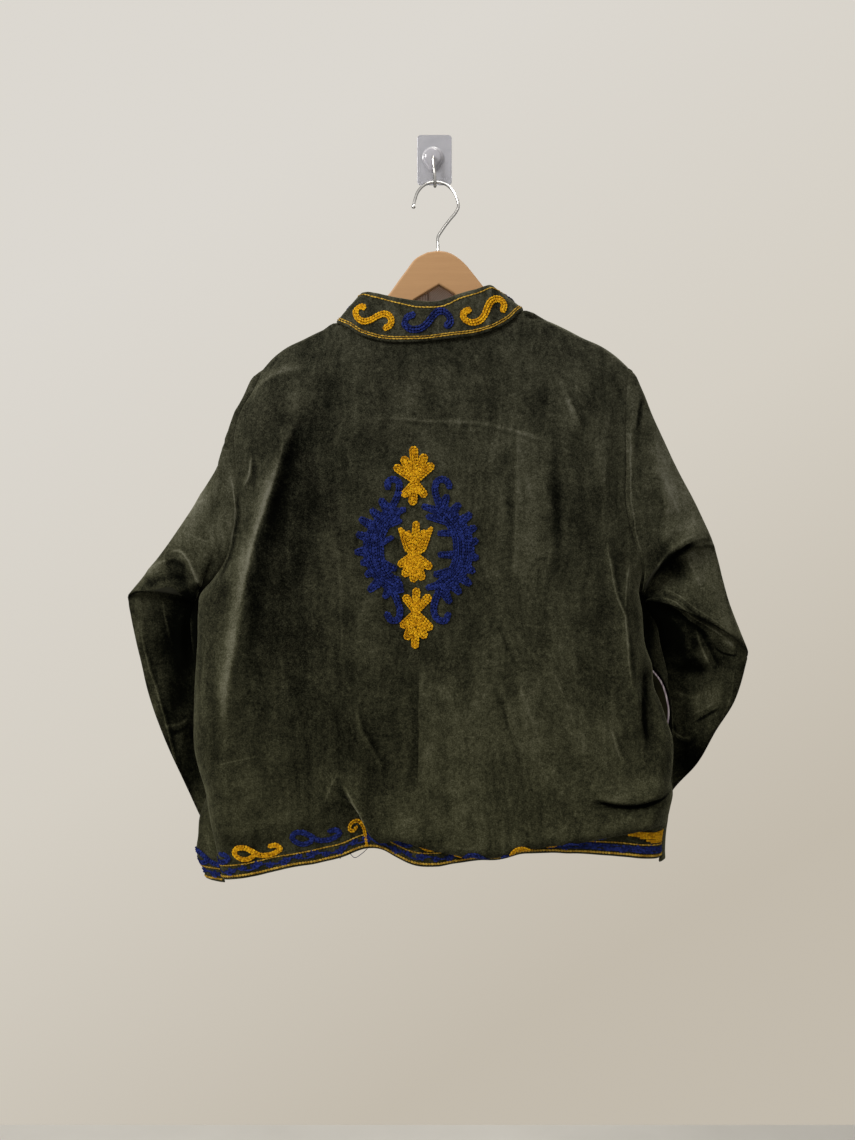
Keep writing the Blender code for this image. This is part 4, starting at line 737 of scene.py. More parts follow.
# The same painted highlights and painted shade along the sleeves' creases, hollows and seams.
SLEEVE_PAINTED_LINES = {
    True: [
        ([(-312, -477), (-297, -476), (-284, -490), (-277, -503)], 1.6, 2.4, 0.85),
        ([(-284, -490), (-278, -503), (-274, -517)], 1.6, 2.2, 0.80),
        ([(-316, -487), (-298, -488), (-284, -500)], 5.0, 1.6, -0.60),
        ([(-349, -519), (-325, -511), (-297, -505), (-282, -516)], 5.5, 6.0, -0.75),
        ([(-242, -372), (-233.2, -408), (-232, -442), (-239, -477), (-253.5, -506), (-271, -522)], 0.9, 1.0, 0.85),
        ([(-348, -534), (-345, -590), (-328, -654), (-319, -686), (-307, -736), (-289, -772)], 0.9, 0.9, 0.60),
        ([(-345, -534), (-342, -590), (-325, -654), (-316, -686), (-304, -736), (-286, -772)], 0.9, 4.0, -0.50),
        ([(-319, -530), (-318, -549), (-311, -592)], 1.3, 1.3, 0.70),
        ([(-324, -686), (-303, -681), (-288, -669)], 1.5, 2.5, 0.60),
        ([(-322, -692), (-303, -688), (-288, -676)], 4.0, 1.5, -0.60),
        ([(-300, -415), (-280, -420), (-262, -414)], 1.6, 1.8, 0.30),
        ([(-306, -430), (-284, -438), (-262, -434)], 1.6, 1.8, -0.30),
        ([(-290, -452), (-272, -462), (-256, -466)], 1.4, 1.6, 0.34),
        ([(-340, -500), (-322, -490), (-306, -486)], 1.5, 2.0, 0.40),
    ],
    False: [
        ([(229, -312), (226.6, -361), (226.4, -401), (231, -445), (240, -481), (249, -507)], 1.0, 1.0, 0.60),
        ([(242, -290), (238, -317), (235.5, -340)], 2.2, 4.0, -1.10),
        ([(250, -516), (262, -496), (278, -479), (294, -468), (303, -464)], 7.5, 1.2, -1.40),
        ([(250, -506), (262, -488), (279, -470), (299, -459), (310, -456)], 1.2, 3.0, 0.40),
        ([(304, -461), (315, -474), (322, -500)], 2.0, 3.0, 0.34),
        ([(299, -468), (314, -467), (332, -468.5)], 3.6, 3.6, 0.95),
        ([(251, -529), (271, -532), (301, -552), (331, -571), (358, -589)], 1.0, 1.1, 0.75),
        ([(256, -519), (275, -523), (303, -543), (332, -562), (352, -578)], 0.9, 1.0, 0.50),
        ([(254, -525), (274, -528), (302, -548), (331, -567), (354, -584)], 1.4, 1.4, -0.40),
        ([(254, -536), (274, -540), (302, -560), (330, -579)], 9.0, 1.2, -1.30),
        ([(305, -560), (311, -580), (322, -604), (332, -618)], 1.5, 1.7, 0.80),
        ([(310, -562), (318, -580), (330, -600), (340, -616)], 1.2, 6.0, -0.80),
        ([(327, -587), (342, -596), (360, -600)], 1.6, 1.3, -1.00),
        ([(336, -580), (347, -584), (357, -592)], 2.4, 2.4, 0.60),
        ([(250, -540), (254, -575), (262, -612)], 5.0, 7.0, -1.00),
        ([(268, -608), (300, -617), (330, -613)], 5.0, 5.0, -0.45),
        ([(308, -680), (328, -669), (342, -661)], 2.8, 1.6, -1.00),
        ([(304, -672), (324, -662), (338, -655)], 1.4, 2.2, 0.45),
        ([(280, -687), (298, -698), (311, -695)], 1.2, 1.4, 0.75),
        ([(280, -692), (298, -703), (314, -700)], 7.0, 1.2, -0.60),
        ([(281, -676), (286, -685), (288, -694)], 2.5, 2.5, -0.70),
        ([(283, -640), (306, -650), (326, -644)], 1.8, 3.0, 0.40),
        ([(262, -380), (276, -414), (288, -440)], 2.0, 2.4, 0.36),
        ([(256, -372), (262, -410), (264, -446)], 3.0, 2.5, -0.30),
        ([(292, -470), (300, -496), (312, -520)], 2.0, 3.0, 0.36),
        ([(356, -600), (352, -648), (336, -690)], 1.0, 1.0, 0.45),
    ],
}
BACK_SPAN, SLEEVE_SPAN = ((-300.0, 300.0), (-880.0, -220.0)), {True: ((-380.0, -200.0), (-820.0, -240.0)), False: ((190.0, 380.0), (-820.0, -240.0))}
FRONT_CREASES = {  # the fronts hang against the wall: soft upright folds, like the back's
    True: [
        ([(-196, -330), (-206, -450), (-222, -600), (-226, -740)], 15, 4.2, 0.1, 0.25, 1.0),
        ([(-158, -300), (-166, -430), (-178, -560)], 17, -3.4, 0.0, -0.2, 1.0),
        ([(-120, -260), (-122, -400), (-134, -610), (-138, -800)], 14, 3.6, 0.1, 0.2, 1.0),
        ([(-84, -430), (-92, -600), (-96, -790)], 16, -3.0, 0.0, -0.15, 1.0),
        ([(-50, -260), (-46, -420), (-54, -640)], 12, 2.8, 0.2, 0.2, 1.0),
        ([(-22, -500), (-24, -700)], 9, -1.8, 0.0, -0.1, 1.0),
        ([(-240, -560), (-170, -570), (-60, -562)], 2.6, 0.9, 0.5, 0.15, 1.0),
    ],
    False: [
        ([(184, -320), (192, -440), (200, -560)], 14, 4.0, 0.1, 0.25, 1.0),
        ([(150, -290), (150, -420), (160, -600), (158, -760)], 17, -3.4, 0.0, -0.2, 1.0),
        ([(112, -250), (108, -420), (116, -560)], 13, 3.4, 0.1, 0.2, 1.0),
        ([(96, -600), (104, -720), (100, -810)], 12, 3.0, 0.1, 0.15, 1.0),
        ([(64, -400), (66, -560), (72, -740)], 15, -2.8, 0.0, -0.15, 1.0),
        ([(26, -250), (24, -420), (30, -640)], 11, 2.8, 0.2, 0.2, 1.0),
        ([(30, -566), (120, -572), (220, -560)], 2.6, 0.9, 0.5, 0.15, 1.0),
    ],
}
# Creases on the camera side of the sleeves.
SLEEVE_CREASES = {
    True: [
        ([(-300, -474), (-284, -492), (-277, -510), (-273, -524)], 5, 4.6, 0.3, 0.45, 1.5),
        ([(-318, -488), (-300, -502), (-290, -520)], 10, -4.5, 0.0, -0.3, 1.0),
        ([(-345, -505), (-322, -492), (-302, -484)], 7, 2.2, 0.1, 0.3, 1.0),
        ([(-262, -400), (-278, -432), (-296, -462)], 11, 2.4, 0.0, 0.25, 1.0),
        ([(-244, -380), (-252, -420), (-262, -452)], 8, -2.0, 0.0, -0.1, 1.0),
        ([(-240, -330), (-247, -360), (-250, -386)], 7, 1.4, 0.0, 0.2, 1.0),
        ([(-330, -542), (-326, -560), (-327, -590), (-313, -640), (-302, -672), (-291, -700), (-282, -730)], 1.5, -1.1, 0.6, 0.12, 1.0),
        ([(-296, -540), (-302, -580), (-300, -620)], 5, 2.0, 0.2, 0.15, 1.0),
        ([(-312, -664), (-296, -668), (-284, -664)], 5, 2.0, 0.2, 0.15, 1.0),
        ([(-300, -700), (-284, -704)], 6, -2.2, 0.0, -0.1, 1.0),
        ([(-318, -600), (-308, -628), (-300, -650)], 8, 1.8, 0.0, 0.1, 1.0),
    ],
    False: [
        ([(230, -312), (228, -334), (226, -356), (227, -372), (228, -396)], 4.0, 2.6, 0.3, 0.22, 1.0),
        ([(236, -330), (236, -350), (233, -372)], 6, -3.6, 0.0, -0.5, 1.0),
        ([(247, -513), (262, -526), (285, -546), (310, -567), (336, -584)], 1.8, -1.6, 0.6, 0.35, 1.0),
        ([(254, -506), (271, -521), (294, -544), (310, -560)], 1.6, -1.2, 0.6, 0.2, 1.0),
        ([(300, -560), (309, -574), (318, -586)], 3, 2.6, 0.3, 0.35, 1.0),
        ([(306, -556), (316, -572), (326, -582)], 3, -2.6, 0.2, -0.2, 1.0),
        ([(286, -548), (294, -574), (304, -602)], 5, 3.2, 0.2, 0.4, 1.0),
        ([(294, -604), (312, -600), (326, -612)], 6, 3.0, 0.2, 0.25, 1.0),
        ([(290, -622), (310, -618), (324, -628)], 7, -4.0, 0.1, -0.3, 1.0),
        ([(268, -646), (284, -646), (298, -650)], 4, 2.4, 0.3, 0.3, 1.0),
        ([(296, -466), (300, -490), (308, -520)], 10, 3.4, 0.0, 0.3, 1.0),
        ([(252, -372), (270, -410), (280, -440)], 12, 2.4, 0.0, 0.25, 1.0),
        ([(262, -470), (276, -452), (292, -446)], 5, 2.4, 0.2, 0.3, 1.0),
        ([(250, -400), (256, -430), (256, -460)], 8, -1.8, 0.0, -0.12, 1.0),
        ([(300, -660), (306, -690), (300, -720)], 8, 2.4, 0.0, 0.15, 1.0),
    ],
}
# Soft patches of lighter or darker cloth: partly the pile's own mottling, partly painted light on folds and painted
# shade in hollows.
BACK_PATCHES = [  # x, z, half across, half along, turn in degrees, light
    (-168, -500, 38, 150, 10, -0.42), (-182, -440, 15, 60, 15, -0.22), (-206, -560, 13, 60, 8, -0.25), (-130, -400, 34, 60, 10, -0.20),
    (-164, -304, 11, 26, 20, 0.30), (-179, -326, 12, 12, 0, -0.30), (-214, -330, 12, 40, 12, 0.10),
    (-80, -500, 30, 130, 0, -0.08), (-140, -610, 18, 60, 0, -0.20), (-180, -626, 10, 26, 0, 0.15), (-165, -660, 60, 90, 0, -0.22), (-186, -360, 14, 40, 20, -0.1), (-160, -340, 34, 40, 0, -0.22), (186, -480, 24, 90, 0, -0.34), (-103, -700, 12, 34, 0, -0.22), (-70, -690, 40, 60, 0, -0.20),
    (-210, -745, 22, 48, 0, 0.16), (-256, -640, 8, 120, -4, -0.25), (-262, -560, 9, 60, 0, 0.15),
    (50, -700, 60, 90, 0, 0.26), (190, -700, 30, 46, 0, 0.30), (116, -690, 16, 60, -16, 0.20), (110, -560, 22, 110, 2, 0.14), (106, -440, 14, 100, 0, 0.16),
    (139, -430, 7, 66, 0, -0.50), (160, -560, 30, 40, 0, 0.10), (118, -306, 13, 24, 20, -0.36), (180, -300, 11, 50, 14, -0.34),
    (196, -400, 12, 110, 0, 0.16), (152, -640, 20, 70, -14, 0.14), (215, -640, 14, 60, 0, -0.16), (243, -658, 7, 36, 0, -0.40), (-132, -275, 34, 34, 0, -0.22), (168, -420, 30, 60, 0, -0.38), (196, -690, 34, 50, 0, 0.20),
    (-60, -300, 90, 40, 0, -0.02), (10, -290, 50, 34, 0, 0.06), (-143, -463, 22, 70, 8, -0.14), (-80, -660, 36, 50, 0, -0.10), (60, -790, 110, 22, 4, 0.14), (-180, -800, 60, 26, -10, 0.12),
    (-20, -250, 70, 16, 0, -0.20), (230, -742, 24, 8, 0, 0.35), (-255, -790, 12, 40, 0, 0.15), (20, -400, 30, 60, 0, 0.08),
]
# On the sleeves the strong dark patches are painted shade in the hollows under the folds, the light ones painted
# highlights on the folds.
SLEEVE_PATCHES = {
    True: [(-330, -498, 30, 10, 20, 0.50), (-278, -410, 22, 22, 25, 0.50), (-262, -466, 14, 24, 25, 0.45), (-290, -440, 20, 40, 35, 0.30), (-240, -400, 8, 60, 6, 0.15),
           (-298, -590, 19, 80, 8, -1.50), (-286, -690, 16, 60, 14, -0.8), (-320, -600, 24, 90, 12, -0.30), (-286, -740, 20, 60, 20, -0.5),
           (-351, -570, 7, 60, 6, 0.45), (-334, -660, 8, 60, 17, 0.45)],
    False: [(296, -420, 22, 80, -22, 0.60), (266, -380, 14, 60, -10, 0.36), (330, -540, 16, 50, -20, 0.50), (240, -420, 10, 80, 0, 0.15),
            (330, -640, 16, 36, 10, 0.30), (300, -515, 20, 22, 0, 0.20), (276, -490, 13, 26, -50, -1.20), (272, -562, 14, 40, -40, -1.30), (347, -585, 6, 6, 0, 0.5),
            (262, -606, 12, 60, 0, -1.0), (300, -722, 26, 22, 10, -0.95), (296, -640, 40, 70, 0, -0.54), (322, -606, 9, 18, 10, 0.60), (310, -654, 24, 12, -10, 0.60), (334, -640, 10, 22, 10, 0.35)],
}


# The fronts' own: painted shade in the hollows where they show past the back's sides.
FRONT_PATCHES = {True: [(-278, -590, 14, 90, 0, -1.5)], False: [(246, -570, 14, 52, -6, -1.5), (262, -640, 12, 40, -20, -0.5), (262, -708, 20, 20, 0, -0.5)]}


def smooth_path(path, count=28):
    """A path of a few places as a smooth line of many."""
    p = np.array(path, float)
    along = np.concatenate([[0], np.cumsum(np.linalg.norm(np.diff(p, axis=0), axis=1))])
    return smooth(along, p, np.linspace(0, along[-1], count))


def beside(x, z, line):
    """Distance to the left (over 0) or right of a line at each place, and share of the way along it."""
    best = np.full(x.shape, 1e9)
    side, share = np.zeros(x.shape), np.zeros(x.shape)
    for k in range(len(line) - 1):
        (x1, z1), (x2, z2) = line[k], line[k + 1]
        dx, dz = x2 - x1, z2 - z1
        t = np.clip(((x - x1) * dx + (z - z1) * dz) / max(dx * dx + dz * dz, 1e-9), 0, 1)
        gap = np.hypot(x - x1 - t * dx, z - z1 - t * dz)
        nearer = gap < best
        best = np.where(nearer, gap, best)
        side = np.where(nearer, np.sign((x - x1) * dz - (z - z1) * dx), side)
        share = np.where(nearer, (k + t) / (len(line) - 1), share)
    return best * side, share


def creases(x, z, table):
    """Height and light of the creases of a table."""
    high, light = np.zeros(x.shape), np.zeros(x.shape)
    for path, half, rise, hard, pile_and_shade, lean in table:
        off, share = beside(x, z, smooth_path(path, 10 * len(path)))
        ends = ease(share / 0.25) * ease((1 - share) / 0.25)
        d = np.where(off > 0, off / (half * lean), -off / half)
        profile = mix(np.exp(-d * d), np.exp(-1.7 * (np.sqrt(d * d + 0.03) - 0.17)), hard)
        high += rise * profile * ends
        light += pile_and_shade * np.exp(-(d / 0.9) ** 2) * ends
    return high, light


def patches(x, z, table):
    light = np.zeros(x.shape)
    for cx, cz, across, along, turn, amount in table:
        a = math.radians(turn)
        dx, dz = x - cx, z - cz
        light += amount * np.exp(-(((dx * math.cos(a) - dz * math.sin(a)) / across) ** 2) - (((dx * math.sin(a) + dz * math.cos(a)) / along) ** 2))
    return light


def ripple(x, z, size, seed):
    """Uneven soft waves about size apart, from about -1 to 1."""
    rng = np.random.default_rng(seed)
    total = np.zeros(x.shape)
    for _ in range(9):
        angle, phase = rng.uniform(0, 2 * math.pi, 2)
        wave = 2 * math.pi / size * rng.uniform(0.6, 1.4)
        total += np.sin((x * math.cos(angle) + z * math.sin(angle)) * wave + phase)
    return total / 4.2


def face_normals(grid, facing, ring=False):
    """Unit normals of a grid, turned towards facing: a direction, or a point they face away from."""
    du = (np.roll(grid, -1, 1) - np.roll(grid, 1, 1)) / 2 if ring else np.gradient(grid, axis=1)
    n = np.cross(du, np.gradient(grid, axis=0))
    n /= np.maximum(np.linalg.norm(n, axis=-1, keepdims=True), 1e-9)
    if ring:
        away = grid - grid.mean(axis=1, keepdims=True)
        return n if (n * away).sum() > 0 else -n
    return n if (n * np.array(facing, float)).sum() > 0 else -n


# ------------------------------------------------------------------ meshes
def make_mesh(name, points, quads, materials, slots=None, values=None, smooth_shade=True):
    """An object from points in mm and quads. values = {name: one number a point}."""
    mesh = bpy.data.meshes.new(name)
    mesh.vertices.add(len(points))
    mesh.vertices.foreach_set("co", (np.asarray(points, float) * 0.001).ravel())
    quads = np.asarray(quads, np.int32)
    mesh.loops.add(quads.size)
    mesh.loops.foreach_set("vertex_index", quads.ravel())
    mesh.polygons.add(len(quads))
    mesh.polygons.foreach_set("loop_start", np.arange(0, quads.size, quads.shape[1], dtype=np.int32))
    for material in materials:
        mesh.materials.append(material)
    if slots is not None:
        mesh.polygons.foreach_set("material_index", np.asarray(slots, np.int32))
    mesh.update(calc_edges=True)
    mesh.validate()
    for key, numbers in (values or {}).items():
        numbers = np.asarray(numbers, float)
        if numbers.ndim == 2:
            mesh.attributes.new(key, "FLOAT_VECTOR", "POINT").data.foreach_set("vector", numbers.ravel())
        else:
            mesh.attributes.new(key, "FLOAT", "POINT").data.foreach_set("value", numbers)
    if smooth_shade:
        mesh.shade_smooth()
    obj = bpy.data.objects.new(name, mesh)
    bpy.context.scene.collection.objects.link(obj)
    return obj


def signed_volume(points, quads):
    a, b, c, d = (points[quads[:, k]] for k in range(4))
    return (np.cross(b - a, c - a) * (a + b + c)).sum() / 18 + (np.cross(c - a, d - a) * (a + c + d)).sum() / 18


def shell(name, grid, normal, thick, materials, ring=False, values=None):
    """A thin closed shell round a grid of cloth: outer face, inner face and rounded edges. thick is one number or one for
    each place. values = {name: one number or vector a place}. Returns the object and its outer face's points."""
    rows, cols = grid.shape[:2]
    thick = np.broadcast_to(np.asarray(thick, float), (rows, cols))[..., None]
    outer, inner = grid + normal * thick / 2, grid - normal * thick / 2
    index = np.arange(rows * cols).reshape(rows, cols)
    j, i = np.meshgrid(np.arange(rows - 1), np.arange(cols if ring else cols - 1), indexing="ij")
    k = (i + 1) % cols
    face = np.stack([index[j, i], index[j, k], index[j + 1, k], index[j + 1, i]], -1).reshape(-1, 4)
    count = rows * cols
    quads, slots = [face, face[:, ::-1] + count], [np.zeros(len(face)), np.ones(len(face))]
    points = [outer.reshape(-1, 3), inner.reshape(-1, 3)]
    if ring:
        loops = [(index[0], grid[0] - grid[1]), (index[-1][::-1], (grid[-1] - grid[-2])[::-1])]
    else:
        out = np.zeros_like(grid)
        out[0] += grid[0] - grid[1]
        out[-1] += grid[-1] - grid[-2]
        side = np.zeros_like(grid)
        side[:, 0] += grid[:, 0] - grid[:, 1]
        side[:, -1] += grid[:, -1] - grid[:, -2]
        for part in (out, side):
            part /= np.maximum(np.linalg.norm(part, axis=-1, keepdims=True), 1e-9)
        out = out + side
        loop = np.concatenate([index[0, :-1], index[:-1, -1], index[-1, :0:-1], index[:0:-1, 0]])
        loops = [(loop, out.reshape(-1, 3)[loop])]
    flat_grid, flat_thick = grid.reshape(-1, 3), thick.reshape(-1)
    extra = []
    for loop, out in loops:
        out = out / np.maximum(np.linalg.norm(out, axis=-1, keepdims=True), 1e-9)
        first = 2 * count + sum(len(e) for e in extra)
        extra.append(flat_grid[loop] + out * flat_thick[loop][:, None] * 0.5)
        mid = first + np.arange(len(loop))
        ahead = lambda a: np.roll(a, -1)  # noqa: E731
        quads += [np.stack([ahead(loop), loop, mid, ahead(mid)], -1), np.stack([ahead(mid), mid, loop + count, ahead(loop) + count], -1)]
        slots += [np.zeros(len(loop)), np.zeros(len(loop))]
    points = np.concatenate(points + extra)
    quads, slots = np.concatenate(quads), np.concatenate(slots)
    if signed_volume(points, quads) < 0:
        quads = quads[:, ::-1]
    held = {}
    edge = np.concatenate([loop for loop, _ in loops])
    for key, numbers in (values or {}).items():
        numbers = np.asarray(numbers, float)
        flat = numbers.reshape(count, -1) if numbers.ndim == 3 else numbers.reshape(count)
        held[key] = np.concatenate([flat, flat, flat[edge]])
    held["inside"] = np.concatenate([np.zeros(count), np.ones(count), np.full(len(edge), 0.0)])
    return make_mesh(name, points, quads, materials, slots, held), outer


class Face:
    """A panel's outer face, to lay stitches on."""

    def __init__(self, points, normal):
        self.points, self.normal = points, normal
        self.rows, self.cols = points.shape[:2]

    def at(self, i, j):
        i, j = np.clip(i, 0, self.rows - 1.0001), np.clip(j, 0, self.cols - 1.0001)
        a, b = i.astype(int), j.astype(int)
        s, t = (i - a)[:, None], (j - b)[:, None]
        out = []
        for g in (self.points, self.normal):
            out.append(mix(mix(g[a, b], g[a, b + 1], t), mix(g[a + 1, b], g[a + 1, b + 1], t), s))
        out[1] /= np.maximum(np.linalg.norm(out[1], axis=1, keepdims=True), 1e-9)
        return out

    def measure(self, from_row, up):
        """Sets lengths: along the row from_row, and from there up (or down) each column."""
        line = self.points[from_row]
        self.along = np.concatenate([[0], np.cumsum(np.linalg.norm(np.diff(line, axis=0), axis=1))])
        steps = np.linalg.norm(np.diff(self.points, axis=0), axis=2)
        if up:
            self.rise = np.concatenate([np.cumsum(steps[::-1], axis=0)[::-1], np.zeros((1, self.cols))])
        else:
            self.rise = np.concatenate([np.zeros((1, self.cols)), np.cumsum(steps, axis=0)])
        self.up = up

    def place(self, s, d):
        """Points and normals at s along the measured row and d off it."""
        j = np.interp(s, self.along, np.arange(self.cols, dtype=float))
        a = np.minimum(j.astype(int), self.cols - 2)
        t = j - a
        i = np.zeros(len(j))
        for k in range(len(j)):
            column_ = mix(self.rise[:, a[k]], self.rise[:, a[k] + 1], t[k])
            if self.up:
                i[k] = np.interp(d[k], column_[::-1], np.arange(self.rows - 1, -1, -1.0))
            else:
                i[k] = np.interp(d[k], column_, np.arange(self.rows, dtype=float))
        return self.at(i, j)


# ------------------------------------------------------------------ chain stitch
def loop_template(around=8, sides=4):
    """One stitch: a ring of yarn drawn out to a drop, in its own length, width and height."""
    points, theta = [], np.linspace(0, 2 * math.pi, around, endpoint=False)
    for a in theta:
        s, t = 0.5 * math.cos(a), 0.5 * math.sin(a) * (0.86 - 0.24 * math.cos(a))
        radial = np.array([math.cos(a), math.sin(a)])
        for k in range(sides):
            phi = math.pi / 4 + 2 * math.pi * k / sides
            points.append((s, t, radial[0] * math.cos(phi), radial[1] * math.cos(phi), math.sin(phi), math.cos(a)))
    quads = []
    for a in range(around):
        for k in range(sides):
            b, m = (a + 1) % around, (k + 1) % sides
            quads.append((a * sides + k, b * sides + k, b * sides + m, a * sides + m))
    return np.array(points), np.array(quads)


def chain(runs, pitch=3.1, width=2.7, yarn=0.62, lift=0.35, seed=1, tone_at=0.0):
    """Chain stitches along runs [(points, normals)]: points, quads and a tone for each point, a random tone for each
    stitch with a painted highlight on the top of its yarn.
    """
    rng = np.random.default_rng(seed)
    shape, faces = loop_template()
    at, ahead, up = [], [], []
    for points, normal in runs:
        step = np.linalg.norm(np.diff(points, axis=0), axis=1)
        along = np.concatenate([[0], np.cumsum(step)])
        if along[-1] < 2.0:
            continue
        count = max(1, int(round(along[-1] / pitch)))
        mid = (np.arange(count) + 0.5) / count * along[-1]
        half = 0.45 * along[-1] / count
        take = lambda a, s: np.stack([np.interp(s, along, a[:, k]) for k in range(3)], -1)  # noqa: E731
        at.append(take(points, mid))
        ahead.append(take(points, mid + half) - take(points, mid - half))
        up.append(take(normal, mid))
    if not at:
        return np.zeros((0, 3)), np.zeros((0, 4), int), np.zeros(0)
    at, ahead, up = (np.concatenate(a) for a in (at, ahead, up))
    up /= np.maximum(np.linalg.norm(up, axis=1, keepdims=True), 1e-9)
    ahead -= up * (ahead * up).sum(1, keepdims=True)
    ahead /= np.maximum(np.linalg.norm(ahead, axis=1, keepdims=True), 1e-9)
    aside = np.cross(up, ahead)
    count = len(at)
    turn = rng.normal(0, 0.1, count)[:, None]
    ahead, aside = ahead * np.cos(turn) + aside * np.sin(turn), aside * np.cos(turn) - ahead * np.sin(turn)
    long, wide = pitch * 1.18 * rng.uniform(0.92, 1.08, count), (width - 2 * yarn) * rng.uniform(0.88, 1.12, count)
    s = shape[None, :, 0] * (long - 2 * yarn)[:, None] + shape[None, :, 2] * yarn
    t = shape[None, :, 1] * wide[:, None] + shape[None, :, 3] * yarn
    h = lift + shape[None, :, 4] * yarn * 0.9 + shape[None, :, 5] * 0.28 + rng.uniform(-0.22, 0.22, count)[:, None]
    points = at[:, None] + s[..., None] * ahead[:, None] + t[..., None] * aside[:, None] + h[..., None] * up[:, None]
    quads = faces[None] + (np.arange(count) * len(shape))[:, None, None]
    # Each stitch gets a random tone; the top of its yarn gets a painted highlight and the underside painted shade.
    tone_and_shade = (tone_at + rng.uniform(0.1, 1.0, count)[:, None] + 0.40 * shape[None, :, 4]).ravel()
    return points.reshape(-1, 3), quads.reshape(-1, 4), tone_and_shade


def joined(parts):
    points, quads, tones, count = [], [], [], 0
    for p, q, t in parts:
        points.append(p)
        quads.append(q + count)
        tones.append(t)
        count += len(p)
    return np.concatenate(points), np.concatenate(quads), np.concatenate(tones)


# Shapes filled with chain stitch are unions of tapered strokes: x, z, radius at one end, x, z, radius at the other.
def field(strokes, x, z):
    """Distance to the edge of the shape, under 0 inside it."""
    out = np.full(x.shape, 1e9)
    for x1, z1, r1, x2, z2, r2 in strokes:
        dx, dz = x2 - x1, z2 - z1
        t = np.clip(((x - x1) * dx + (z - z1) * dz) / max(dx * dx + dz * dz, 1e-9), 0, 1)
        out = np.minimum(out, np.hypot(x - x1 - t * dx, z - z1 - t * dz) - mix(r1, r2, t))
    return out


def level_lines(f, level, x0, z0, step):
    """Closed lines where a grid f[z, x] crosses a level."""
    g = f - level
    sign = g < 0
    ends = {}

    def link(a, b):
        ends.setdefault(a, []).append(b)
        ends.setdefault(b, []).append(a)

    cells = sign[:-1, :-1].astype(int) + sign[:-1, 1:] * 2 + sign[1:, 1:] * 4 + sign[1:, :-1] * 8
    for j, i in zip(*np.nonzero((cells > 0) & (cells < 15))):
        low, right, high, left = ("h", j, i), ("v", j, i + 1), ("h", j + 1, i), ("v", j, i)
        cut = [e for e, on in (
            (low, sign[j, i] != sign[j, i + 1]), (right, sign[j, i + 1] != sign[j + 1, i + 1]),
            (high, sign[j + 1, i] != sign[j + 1, i + 1]), (left, sign[j, i] != sign[j + 1, i]),
        ) if on]
        if len(cut) == 2:
            link(*cut)
        elif sign[j, i]:
            link(low, left)
            link(right, high)
        else:
            link(low, right)
            link(high, left)

    def spot(e):
        kind, j, i = e
        if kind == "h":
            t = g[j, i] / (g[j, i] - g[j, i + 1])
            return (x0 + (i + t) * step, z0 + j * step)
        t = g[j, i] / (g[j, i] - g[j + 1, i])
        return (x0 + i * step, z0 + (j + t) * step)

    lines, used = [], set()
    for start in ends:
        if start in used:
            continue
        path, here, before = [start], start, None
        used.add(start)
        while True:
            on = [e for e in ends[here] if e != before and e not in used]
            if not on:
                break
            before, here = here, on[0]
            used.add(here)
            path.append(here)
        lines.append(np.array([spot(e) for e in path + [start]]))
    return lines


def fill(strokes, inset=1.3, row=2.5, step=0.5, rows=9, shortest=4.5, seed=5):
    """Rows of stitches that follow a shape's edge, one inside the other, and single ones where none fits."""
    s = np.array(strokes)
    reach = max(s[:, 2].max(), s[:, 5].max()) + 1
    x0, z0 = min(s[:, 0].min(), s[:, 3].min()) - reach, min(s[:, 1].min(), s[:, 4].min()) - reach
    x1, z1 = max(s[:, 0].max(), s[:, 3].max()) + reach, max(s[:, 1].max(), s[:, 4].max()) + reach
    x, z = np.meshgrid(np.arange(x0, x1, step), np.arange(z0, z1, step))
    f = field(strokes, x, z)
    found = []
    for k in range(rows):
        level = -inset - k * row
        if f.min() > level:
            break
        for line in level_lines(f, level, x0, z0, step):
            if len(line) > 4 and np.linalg.norm(np.diff(line, axis=0), axis=1).sum() > shortest:
                smooth_line = line.copy()
                for _ in range(3):
                    smooth_line[:-1] = (np.roll(smooth_line[:-1], 1, 0) + 2 * smooth_line[:-1] + np.roll(smooth_line[:-1], -1, 0)) / 4
                    smooth_line[-1] = smooth_line[0]
                found.append(smooth_line)
    if not found:
        return found
    rng = np.random.default_rng(seed)
    taken = np.concatenate(found)
    open_ = np.argwhere(f < -inset - 0.6)
    rng.shuffle(open_)
    for j, i in open_:
        spot = np.array([x[j, i], z[j, i]])
        if np.hypot(*(taken - spot).T).min() > row * 0.52:
            a = rng.uniform(0, math.pi)
            ahead = np.array([math.cos(a), math.sin(a)]) * 1.5
            single = spot + np.linspace(-1, 1, 5)[:, None] * ahead
            found.append(single)
            taken = np.concatenate([taken, single[1:4]])
    return found


